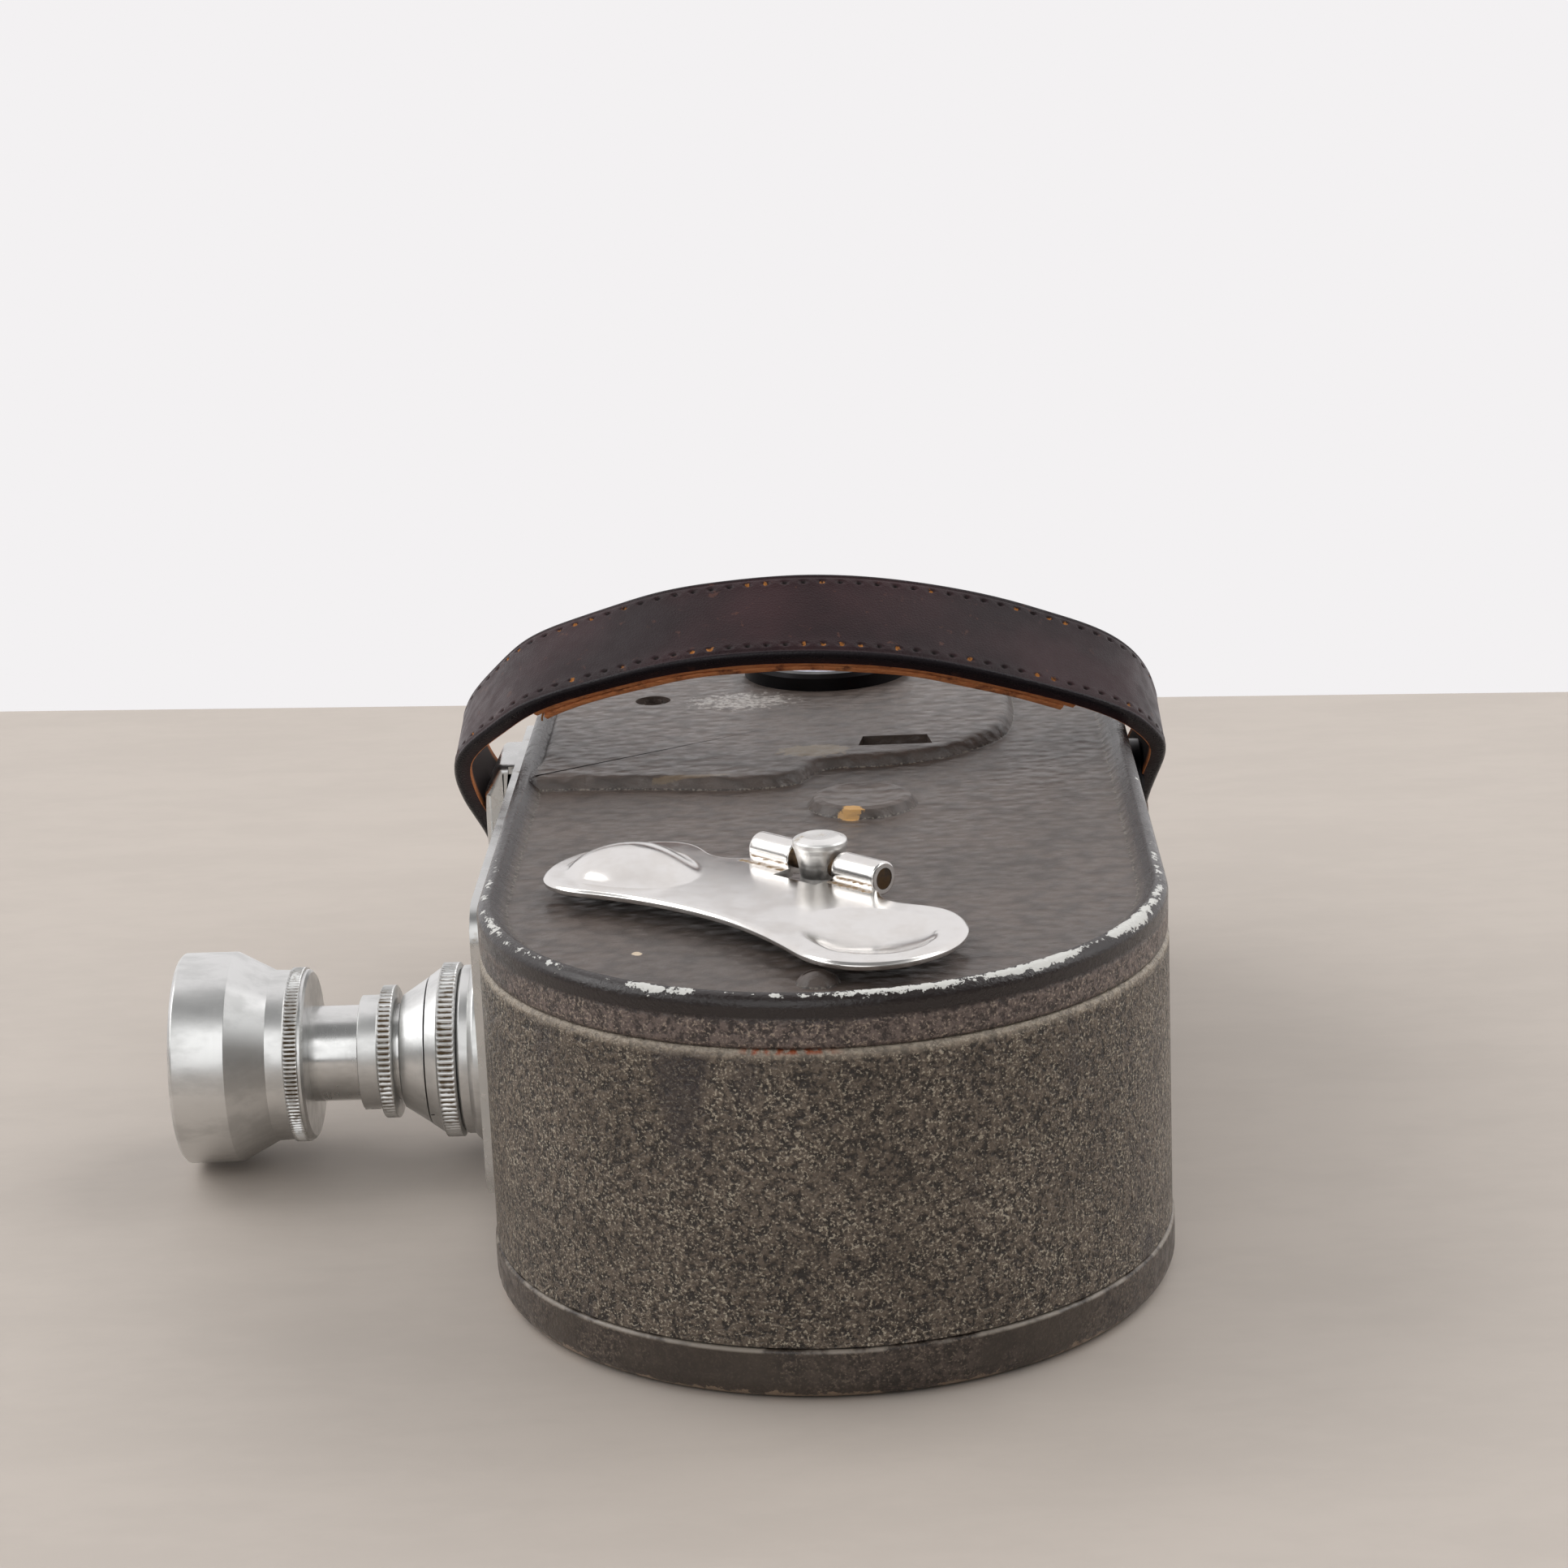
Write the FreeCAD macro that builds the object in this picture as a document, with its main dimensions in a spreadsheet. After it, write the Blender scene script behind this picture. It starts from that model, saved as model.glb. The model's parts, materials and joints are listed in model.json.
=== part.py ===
import FreeCAD, Part
import math
import os
import re

import Sketcher
from FreeCAD import Placement, Rotation, Vector

# A spring-driven 16 mm cine camera lying on its film door, winding key upwards.
# Origin: centre of the door's resting face.  +Z up, +Y towards the camera's top end,
# the lens points along -X.  Millimetres and degrees.

SIZES = [
    # casing: two half-round ends joined by straight sides
    ("body_radius", 52.0), ("arc_offset", 58.0), ("wall", 2.0),
    ("door_height", 8.0), ("door_proud", 0.3), ("door_floor", 2.0), ("door_round", 3.0),
    ("door_edge", 0.6), ("seam_gap", 0.3), ("lip_fit", 0.2), ("lip_thick", 1.2), ("lip_height", 2.2),
    ("band_top", 53.0), ("band_round", 1.0),
    ("cover_top", 60.8), ("rim_width", 3.8), ("panel_depth", 2.0), ("panel_thick", 1.6),
    ("rim_round", 2.4), ("rim_inner_round", 0.7),
    ("plateau_height", 2.1), ("plateau_slope", 38.0), ("plateau_left_y", 1.4), ("plateau_right_y", 10.7),
    ("plateau_step_x", -3.0), ("plateau_right_x", 32.8), ("plateau_corner", 9.0),
    ("boss_radius", 8.9), ("boss_height", 1.0), ("boss_x", 6.3), ("boss_y", 12.6),
    # door lock
    ("lock_y", 30.0), ("lock_radius", 12.7), ("lock_fit", 0.3), ("lock_recess", 3.2), ("lock_wall", 2.0),
    ("lock_disc", 1.2), ("lock_grip_width", 4.0), ("lock_grip_height", 1.2), ("lock_shaft_radius", 3.0),
    ("latch_thick", 1.2), ("latch_width", 8.0), ("latch_fit", 0.15), ("latch_lift", 0.2),
    # mechanism plate and its fasteners
    ("partition_low", 29.0), ("partition_thick", 2.0), ("partition_fit", 0.1),
    ("lug_y", 36.0), ("lug_deep", 6.0), ("lug_width", 7.0), ("lug_height", 6.0), ("lug_sink", 0.8),
    ("screw_radius", 1.45), ("screw_head_radius", 2.8), ("screw_head_height", 1.6), ("thread_fit", 0.05),
    # front plate, lens throat and mount
    ("front_thick", 2.0), ("front_near", 55.0), ("front_far", 58.0), ("front_low", 8.9), ("front_high", 57.0),
    ("front_corner", 6.0), ("front_screw_inset", 5.0), ("front_screw_radius", 1.7), ("front_screw_proud", 0.4),
    ("lens_y", 10.0), ("lens_z", 18.5), ("throat_radius", 9.0),
    ("mount_radius", 15.3), ("mount_length", 5.5), ("thread_radius", 12.7), ("spigot_fit", 0.1),
    ("spigot_length", 4.5), ("flange_radius", 14.0), ("flange_length", 1.9),
    # lens: lengths are measured outwards along the lens axis
    ("tube_radius", 7.93), ("tube_bore", 6.6), ("lens_fit", 0.06), ("sleeve_wall", 1.0), ("sleeve_length", 8.6),
    ("ring_gap", 0.1), ("focus_radius", 14.5), ("focus_knurl", 2.9), ("cone_radius", 13.7), ("cone_step", 0.4),
    ("focus_skirt", 2.0), ("cone_end_radius", 9.5), ("cone_length", 6.4), ("collar_web", 0.8),
    ("iris_gap", 1.1), ("iris_knurl", 2.5), ("iris_radius", 11.05), ("iris_scale", 3.5), ("iris_scale_radius", 9.5),
    ("neck_length", 8.8), ("front_radius", 14.5), ("front_ring", 6.1), ("flare_length", 7.0),
    ("hood_radius", 17.5), ("hood_length", 7.9), ("hood_edge", 0.5), ("hood_bore", 15.6), ("filter_depth", 4.5),
    ("front_back_wall", 2.0), ("front_inner_radius", 11.5), ("glass_fit", 0.1), ("glass_seat", 2.5),
    ("glass_dome", 60.0), ("rear_glass_thick", 2.0),
    # viewfinder
    ("finder_y", 38.0), ("finder_z", 46.5), ("finder_radius", 6.5), ("finder_wall", 0.6), ("finder_fit", 0.05),
    ("finder_hood_length", 6.0), ("finder_hood_width", 16.0), ("finder_hood_drop", 8.5), ("finder_hood_rise", 9.5),
    ("finder_face_drop", 5.0), ("finder_face_rise", 4.3), ("finder_brow", 3.4), ("finder_chin", 3.8),
    ("window_width", 11.0), ("window_height", 7.6), ("window_depth", 2.0),
    ("eyepiece_radius", 8.0), ("eyepiece_length", 3.2), ("finder_glass_thick", 1.6),
    # carrying strap
    ("strap_y", 58.0), ("strap_z", 33.0), ("strap_tilt", 130.0), ("strap_width", 19.0), ("strap_thick", 3.0),
    ("strap_reach", 68.5), ("strap_left_bow", 14.0), ("strap_right_bow", 9.2), ("strap_lean", 1.5),
    ("strap_left_stand", 7.4), ("strap_right_stand", 2.0), ("strap_tail", 9.0), ("strap_straight", 6.2),
    ("lining_thick", 3.0), ("lining_left", 53.0), ("lining_right", 46.0), ("lining_gap", 0.02),
    ("strap_gap", 0.12), ("strap_hole_fit", 0.08),
    ("post_radius", 4.0), ("strap_screw_radius", 1.6), ("strap_head_radius", 5.75), ("strap_head_thick", 1.8),
    # run button
    ("button_y", 54.0), ("button_z", 49.8), ("button_stem", 2.0), ("button_radius", 3.0), ("button_cap", 1.8),
    ("button_travel", 2.5), ("button_clear", 0.3), ("button_inside", 6.0), ("button_collar", 3.0),
    # winding key
    ("key_turn", -43.5), ("key_axis_z", 63.8), ("key_thick", 1.4), ("barrel_radius", 2.6), ("key_pin_radius", 1.6),
    ("running_fit", 0.05), ("hinge_half", 13.1), ("hub_gap", 0.2), ("lobe_along", 24.5), ("lobe_out", 15.5),
    ("lobe_radius", 14.0), ("key_waist", 24.6), ("dish_radius", 9.0), ("dish_depth", 1.3), ("dome_height", 3.2),
    ("hub_head_radius", 4.2), ("hub_waist_radius", 3.5), ("hub_top", 68.2), ("hub_neck_radius", 3.3),
    ("notch_deep", 5.8),
    # spring motor
    ("arbor_radius", 3.0), ("arbor_drum", 5.0), ("motor_low", 33.0), ("wheel_width", 2.5), ("wheel_teeth", 95),
    ("pinion_teeth", 19), ("wheel_gap", 1.5), ("motor_gap", 10.0), ("motor_wall", 1.6), ("motor_top", 49.0),
    ("lid_thick", 1.2), ("ribbon_thick", 0.6), ("ribbon_turns", 9), ("ribbon_gap", 0.8),
    ("ratchet_low", 50.9), ("ratchet_thick", 1.8), ("ratchet_radius", 9.0), ("ratchet_tooth", 1.0),
    ("ratchet_teeth", 24), ("pawl_pin_radius", 1.2), ("pawl_x", 12.0), ("pawl_y", 11.0), ("pawl_width", 2.6),
    ("pawl_gap", 0.12),
    # drive train
    ("sprocket_inset", 28.0), ("shaft_radius", 2.0), ("fine_module", 0.5), ("drive_teeth", 48), ("small_teeth", 12),
    ("pinion_width", 3.0), ("drive_gear_low", 41.0), ("drive_gear_width", 1.5), ("small_width", 2.1),
    ("pulley_low", 36.4), ("pulley_width", 3.0), ("pulley_radius", 7.0), ("belt_radius", 0.9), ("belt_line", 6.0),
    ("belt_gap", 0.1), ("sprocket_radius", 9.0), ("sprocket_core", 7.0), ("sprocket_rim", 2.4),
    ("sprocket_tooth", 1.0), ("sprocket_teeth", 8), ("film_width", 16.0),
    ("small_shaft_radius", 1.0), ("small_shaft_top", 43.4), ("shaft_foot", 0.3),
    ("governor_angle", 60.0), ("governor_top", 49.0), ("weight_reach", 6.0), ("weight_size", 3.0),
    # shutter and film gate
    ("shutter_z", 34.0), ("shutter_radius", 20.8), ("shutter_thick", 0.6), ("shutter_step", 1.9),
    ("shutter_open", 170.0), ("shutter_shaft_radius", 1.25), 
    ("shutter_pinion_width", 1.6), ("crown_teeth", 24), ("crown_depth", 0.55), ("crown_face", 0.8), ("crown_disc", 1.0),
    ("gate_step", 2.0), ("gate_thick", 1.5), ("gate_half", 18.0), ("gate_low", 10.0), ("frame_high", 7.5),
    ("frame_wide", 10.3), ("claw_offset", 14.0), ("claw_stroke", 7.62), ("claw_thick", 1.2), ("claw_z", 24.8),
    ("claw_gap", 0.5), ("claw_top", 33.0), ("pressure_gap", 0.3), ("pressure_thick", 1.0), ("pressure_half", 12.0),
    ("guide_pin_radius", 0.8), ("guide_pin_length", 5.5), ("guide_offset", 9.5), ("guide_z", 13.0),
    # film spools
    ("spool_gap", 4.0), ("spool_core", 16.0), ("spool_flange", 0.8), ("spool_width", 18.6),
    ("spindle_radius", 4.0), ("spindle_neck", 3.0), ("spindle_flange", 7.0),
    # footage counter and speed scale
    ("counter_y", 70.0), ("bezel_radius", 15.1), ("bezel_width", 2.2), ("bezel_height", 3.1), ("dial_thick", 0.6),
    ("glass_drop", 0.4), ("glass_thick", 0.8), ("hand_radius", 0.6), ("hand_width", 0.8), ("hand_thick", 0.4),
    ("scale_x", 12.0), ("scale_y", 28.0), ("scale_radius", 16.0), ("scale_thick", 0.8), ("scale_shaft", 1.5),
    ("scale_drop", 1.2), ("slot_y", 15.2), ("slot_near", 12.8), ("slot_far", 10.5), ("slot_deep", 5.3),
    # cover fasteners
    ("dome_x", 0.2), ("dome_y", 98.4), ("dome_radius", 3.2), ("dome_height_top", 1.9), ("dome_slot", 0.8),
    ("hole_x", 31.1), ("hole_y", 52.5), ("hole_radius", 3.15), ("hole_deep", 2.7), ("cover_post_radius", 4.2),
]

# Sizes that follow others: what runs inside the casing or arches over it keeps its clearance.
CROWN_REACH = "sqrt((fine_module * (drive_teeth + small_teeth) / 2)^2 - (sprocket_y + lens_y)^2)"
TIED = [
    ("gear_module", "2 * (body_radius - wall - wheel_gap) / (wheel_teeth + 2)"),
    ("motor_radius", "body_radius - wall - motor_gap"),
    ("spool_radius", "body_radius - wall - spool_gap"),
    ("sprocket_x", "body_radius - sprocket_inset"),
    ("sprocket_y", "sqrt((gear_module * (wheel_teeth + pinion_teeth) / 2)^2 - sprocket_x^2) - arc_offset"),
    ("shutter_pinion_x", "sprocket_x + " + CROWN_REACH + " + fine_module * crown_teeth / 2"),
    ("shutter_x", "shutter_pinion_x + shutter_step"),
    ("gate_x", "shutter_pinion_x - gate_step"),
    ("strap_left_span", "body_radius + front_thick + strap_left_bow"),
    ("strap_right_span", "body_radius + strap_right_bow"),
]

doc = FreeCAD.newDocument("cine_camera")
sheet = doc.addObject("Spreadsheet::Sheet", "Sizes")
for row, (alias, value) in enumerate(SIZES + [(alias, "=" + formula) for alias, formula in TIED], start=1):
    sheet.set("A%d" % row, alias)
    sheet.set("B%d" % row, str(value))
    sheet.setAlias("B%d" % row, alias)
doc.recompute()
SIZE = {alias: float(sheet.get(alias)) for alias, _ in SIZES + TIED}

# Levels and places used by several pieces, as formulas over the sheet.
BAND_LOW = "(door_height + seam_gap)"
INNER = "(body_radius - wall)"
LIP_OUTER = "(body_radius - wall - lip_fit)"
LIP_INNER = "(body_radius - wall - lip_fit - lip_thick)"
PANEL_TOP = "(cover_top - panel_depth)"
PANEL_UNDER = "(cover_top - panel_depth - panel_thick)"
PLATEAU_TOP = "(cover_top - panel_depth + plateau_height)"
PLATE_TOP = "(partition_low + partition_thick)"
FRONT = "(body_radius + front_thick)"
SMALL_REACH = "(fine_module * (drive_teeth + small_teeth) / 2)"
CROWN_X = "(-sprocket_x - " + CROWN_REACH + ")"
GOVERNOR_X = "(-sprocket_x + " + SMALL_REACH + " * cos(governor_angle))"
GOVERNOR_Y = "(sprocket_y + " + SMALL_REACH + " * sin(governor_angle))"
LEFT_STRAP = "(" + FRONT + " + strap_left_stand)"
RIGHT_STRAP = "(body_radius + strap_right_stand)"
SHAFT_LOW = "(partition_low + shaft_foot)"

TURN = {
    "Z": Rotation(),
    "X": Rotation(Vector(0, 0, 1), Vector(1, 0, 0)),
    "-X": Rotation(Vector(0, 1, 0), -90),
}


def bound(text):
    """Formula over the sheet: every alias in the text becomes a reference to its cell."""
    return re.sub(r"[a-z_]+", lambda m: "Sizes." + m.group() if m.group() in SIZE else m.group(), text)


def place(obj, at, axis="Z"):
    """Turns the object's Z axis to the named axis and binds its position."""
    obj.Placement = Placement(Vector(), TURN[axis])
    for letter, text in zip("xyz", at):
        obj.setExpression(".Placement.Base." + letter, bound(text))
    return obj


def cylinder(name, radius, height, at=("0", "0", "0"), axis="Z"):
    obj = doc.addObject("Part::Cylinder", name)
    obj.setExpression("Radius", bound(radius))
    obj.setExpression("Height", bound(height))
    return place(obj, at, axis)


def cone(name, radius, top_radius, height, at=("0", "0", "0"), axis="Z"):
    obj = doc.addObject("Part::Cone", name)
    obj.setExpression("Radius1", bound(radius))
    obj.setExpression("Radius2", bound(top_radius))
    obj.setExpression("Height", bound(height))
    return place(obj, at, axis)


def sphere(name, radius, at=("0", "0", "0")):
    obj = doc.addObject("Part::Sphere", name)
    obj.setExpression("Radius", bound(radius))
    return place(obj, at)


def box(name, lengths, at):
    """Box with its low corner at the given place."""
    obj = doc.addObject("Part::Box", name)
    for side, text in zip(("Length", "Width", "Height"), lengths):
        obj.setExpression(side, bound(text))
    return place(obj, at)


def fuse(name, parts):
    obj = doc.addObject("Part::MultiFuse", name)
    obj.Shapes = list(parts)
    return obj


def common(name, parts):
    obj = doc.addObject("Part::MultiCommon", name)
    obj.Shapes = list(parts)
    return obj


def cut(name, base, tools):
    obj = doc.addObject("Part::Cut", name)
    obj.Base = base
    obj.Tool = tools[0] if len(tools) == 1 else fuse(name + "_tools", tools)
    return obj


def group(name, parts):
    """Several separate solids that share a node."""
    obj = doc.addObject("Part::Compound", name)
    obj.Links = list(parts)
    return obj


def feature(name, shape, at=("0", "0", "0"), turn=None):
    """Solid worked out with Part's own functions, placed by formulas."""
    obj = doc.addObject("Part::Feature", name)
    obj.Shape = shape
    place(obj, at)
    if turn is not None:
        obj.Placement = Placement(obj.Placement.Base, turn)
    return obj


def sketch(body, name, role, lift="0"):
    """Sketch on one of the body's own origin planes, lifted along the plane's normal."""
    obj = body.newObject("Sketcher::SketchObject", name)
    plane = [item for item in body.Origin.OriginFeatures if item.Role == role][0]
    obj.AttachmentSupport = [(plane, "")]
    obj.MapMode = "FlatFace"
    obj.setExpression("AttachmentOffset.Base.z", bound(lift))
    return obj


def stadium(drawing, radius, half):
    """Two half circles joined by tangent straight sides, long way along Y."""
    near = 50.0
    drawing.addGeometry([
        Part.ArcOfCircle(Part.Circle(Vector(0, near, 0), Vector(0, 0, 1), near), 0, math.pi),
        Part.LineSegment(Vector(-near, near, 0), Vector(-near, -near, 0)),
        Part.ArcOfCircle(Part.Circle(Vector(0, -near, 0), Vector(0, 0, 1), near), math.pi, 2 * math.pi),
        Part.LineSegment(Vector(near, -near, 0), Vector(near, near, 0)),
    ], False)
    drawing.addConstraint([
        Sketcher.Constraint("Tangent", 0, 2, 1, 1), Sketcher.Constraint("Tangent", 1, 2, 2, 1),
        Sketcher.Constraint("Tangent", 2, 2, 3, 1), Sketcher.Constraint("Tangent", 3, 2, 0, 1),
        Sketcher.Constraint("PointOnObject", 0, 3, -2), Sketcher.Constraint("PointOnObject", 2, 3, -2),
        Sketcher.Constraint("Equal", 0, 2),
    ])
    size = drawing.addConstraint(Sketcher.Constraint("Radius", 0, near))
    up = drawing.addConstraint(Sketcher.Constraint("DistanceY", -1, 1, 0, 3, near))
    down = drawing.addConstraint(Sketcher.Constraint("DistanceY", 2, 3, -1, 1, near))
    drawing.setExpression("Constraints[%d]" % size, bound(radius))
    drawing.setExpression("Constraints[%d]" % up, bound(half))
    drawing.setExpression("Constraints[%d]" % down, bound(half))


def outline(drawing, points):
    """Closed polygon; each corner's two coordinates are formulas over the sheet."""
    count = len(points)
    ring = [Vector(5 + math.cos(2 * math.pi * i / count), 5 + math.sin(2 * math.pi * i / count), 0)
            for i in range(count)]
    drawing.addGeometry([Part.LineSegment(ring[i], ring[(i + 1) % count]) for i in range(count)], False)
    drawing.addConstraint([Sketcher.Constraint("Coincident", i, 2, (i + 1) % count, 1) for i in range(count)])
    for i, (across, along) in enumerate(points):
        for kind, axis, text in (("DistanceX", -2, across), ("DistanceY", -1, along)):
            if text == "0":
                drawing.addConstraint(Sketcher.Constraint("PointOnObject", i, 1, axis))
            else:
                index = drawing.addConstraint(Sketcher.Constraint(kind, -1, 1, i, 1, 1.0))
                drawing.setExpression("Constraints[%d]" % index, bound(text))


def disc(drawing, radius, across="0", along="0"):
    """Circle with its centre bound."""
    circle = drawing.addGeometry(Part.Circle(Vector(1, 1, 0), Vector(0, 0, 1), 5.0), False)
    index = drawing.addConstraint(Sketcher.Constraint("Radius", circle, 5.0))
    drawing.setExpression("Constraints[%d]" % index, bound(radius))
    for kind, axis, text in (("DistanceX", -2, across), ("DistanceY", -1, along)):
        if text == "0":
            drawing.addConstraint(Sketcher.Constraint("PointOnObject", circle, 3, axis))
        else:
            index = drawing.addConstraint(Sketcher.Constraint(kind, -1, 1, circle, 3, 1.0))
            drawing.setExpression("Constraints[%d]" % index, bound(text))


def pad(body, drawing, length, name):
    obj = body.newObject("PartDesign::Pad", name)
    obj.Profile = drawing
    obj.setExpression("Length", bound(length))
    return obj


def pocket(body, drawing, depth, name, upwards=False):
    """Removes material from the sketch downwards, or upwards when asked."""
    before = body.Tip.Shape.Volume
    obj = body.newObject("PartDesign::Pocket", name)
    obj.Profile = drawing
    obj.Reversed = upwards
    obj.setExpression("Length", bound(depth))
    doc.recompute()
    if obj.Shape.Volume > before - 1e-6:
        raise RuntimeError("pocket cuts nothing: " + name)
    return obj


def round_edges(body, radius, name, wanted):
    """Fillets the edges of the body that the test picks."""
    doc.recompute()
    tip = body.Tip
    names = ["Edge%d" % (i + 1) for i, edge in enumerate(tip.Shape.Edges) if wanted(edge)]
    obj = body.newObject("PartDesign::Fillet", name)
    obj.Base = (tip, names)
    obj.setExpression("Radius", bound(radius))
    doc.recompute()
    return obj


def level_edge(z, reach):
    """Test for edges of a stadium outline: all at height z and as far out in X as reach."""
    def wanted(edge):
        low, high = edge.BoundBox, edge.BoundBox
        flat = abs(low.ZMin - z) < 1e-4 and abs(high.ZMax - z) < 1e-4
        return flat and abs(max(abs(low.XMin), abs(high.XMax)) - reach) < 1e-3
    return wanted


def turned(name, stations, at=("0", "0", "0"), axis="Z"):
    """Lathe-turned piece: a closed profile of (radius, distance along the axis) corners."""
    body = doc.addObject("PartDesign::Body", name)
    profile = sketch(body, name + "_profile", "XZ_Plane")
    outline(profile, stations)
    obj = body.newObject("PartDesign::Revolution", name + "_turned")
    obj.Profile = profile
    obj.ReferenceAxis = (profile, ["V_Axis"])
    obj.Angle = 360.0
    return place(body, at, axis)


def involute_points(base, low, high, steps=4):
    """Radius and polar angle along an involute flank between two radii."""
    points = []
    for i in range(steps + 1):
        radius = low + (high - low) * i / steps
        lean = math.acos(min(1.0, base / radius)) if radius > base else 0.0
        points.append((radius, math.tan(lean) - lean))
    return points


def gear(teeth, module, width, bore, first=0.0, backlash=0.12):
    """Spur gear with 20 degree involute teeth; a tooth is centred at the angle first."""
    pitch = module * teeth / 2
    base = pitch * math.cos(math.radians(20))
    tip, root = pitch + 0.92 * module, pitch - 1.2 * module
    lean = math.tan(math.radians(20)) - math.radians(20)
    half = (math.pi * module / 2 - backlash) / 2 / pitch + lean
    flank = involute_points(base, max(root, base), tip)
    corners = []
    for k in range(int(teeth)):
        centre = first + 2 * math.pi * k / teeth
        side = [(root, half - flank[0][1])] + [(r, half - a) for r, a in flank]
        corners += [(r, centre - a) for r, a in side]
        corners += [(r, centre + a) for r, a in reversed(side)]
    ring = [Vector(r * math.cos(a), r * math.sin(a), 0) for r, a in corners]
    distinct = [p for i, p in enumerate(ring) if p.distanceToPoint(ring[i - 1]) > 1e-6]
    face = Part.Face(Part.makePolygon(distinct + [distinct[0]]))
    solid = face.extrude(Vector(0, 0, width))
    return solid.cut(Part.makeCylinder(bore, width)) if bore > 0 else solid


NODES = []


def node(obj, label):
    """Names a finished sub-part and puts it on the list of files to write."""
    obj.Label = label
    NODES.append(obj)
    return obj


def film_door():
    """Film-side door: a shallow tray with a lip that plugs into the band, and the lock's well."""
    body = doc.addObject("PartDesign::Body", "door_body")
    base = sketch(body, "door_outline", "XY_Plane")
    stadium(base, "body_radius + door_proud", "arc_offset")
    pad(body, base, "door_height", "door_block")
    lip = sketch(body, "door_lip_outline", "XY_Plane", "door_height")
    stadium(lip, LIP_OUTER, "arc_offset")
    pad(body, lip, "lip_height", "door_lip")
    doc.recompute()
    hollow = sketch(body, "door_hollow_outline", "XY_Plane", "door_height + lip_height")
    stadium(hollow, LIP_INNER, "arc_offset")
    pocket(body, hollow, "door_height + lip_height - door_floor", "door_hollow")
    reach = SIZE["body_radius"] + SIZE["door_proud"]
    round_edges(body, "door_round", "door_lower_round", level_edge(0.0, reach))
    round_edges(body, "door_edge", "door_upper_round", level_edge(SIZE["door_height"], reach))
    well = sketch(body, "lock_boss_outline", "XY_Plane")
    disc(well, "lock_radius + lock_fit + lock_wall", "0", "lock_y")
    pad(body, well, "lock_recess + lock_wall", "lock_boss")
    doc.recompute()
    recess = sketch(body, "lock_recess_outline", "XY_Plane")
    disc(recess, "lock_radius + lock_fit", "0", "lock_y")
    pocket(body, recess, "lock_recess", "lock_recess_cut", upwards=True)
    bearing = sketch(body, "lock_bearing_outline", "XY_Plane")
    disc(bearing, "lock_shaft_radius + running_fit", "0", "lock_y")
    pocket(body, bearing, "lock_recess + lock_wall + door_floor", "lock_bearing", upwards=True)
    node(body, "film_door")


def door_lock():
    """Recessed lock disc with a grip rib and a shaft, and the latch bar that wedges against the lip."""
    at = ("0", "lock_y", "lock_recess - lock_fit - lock_disc")
    plate = cylinder("lock_disc_plate", "lock_radius", "lock_disc", at)
    rib = common("lock_rib", [
        box("lock_rib_bar", ("2 * lock_radius", "lock_grip_width", "lock_grip_height"),
            ("-lock_radius", "lock_y - lock_grip_width / 2",
             "lock_recess - lock_fit - lock_disc - lock_grip_height")),
        cylinder("lock_rib_round", "lock_radius - lock_fit", "lock_grip_height",
                 ("0", "lock_y", "lock_recess - lock_fit - lock_disc - lock_grip_height"))])
    shaft = cylinder("lock_shaft", "lock_shaft_radius",
                     "lock_fit + lock_wall + latch_lift + latch_thick",
                     ("0", "lock_y", "lock_recess - lock_fit"))
    node(fuse("lock_knob", [plate, rib, shaft]), "door_lock_knob")
    level = "lock_recess + lock_wall + latch_lift"
    blank = common("latch_blank", [
        box("latch_strip", ("2 * body_radius", "latch_width", "latch_thick"),
            ("-body_radius", "lock_y - latch_width / 2", level)),
        cylinder("latch_round", LIP_INNER + " - latch_fit", "latch_thick", ("0", "lock_y", level))])
    eye = cylinder("latch_eye", "lock_shaft_radius", "latch_thick", ("0", "lock_y", level))
    node(cut("latch_bar", blank, [eye]), "door_latch_bar")


def side_bore(name, radius, y, z, side):
    """Round cut through one long side wall, and the front plate where that side has it."""
    start = "body_radius - wall - lug_deep / 2"
    length = "wall + front_thick + lug_deep / 2 + 1"
    if side < 0:
        return cylinder(name, radius, length, ("-(" + start + ")", y, z), "-X")
    return cylinder(name, radius, length, (start, y, z), "X")


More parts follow.
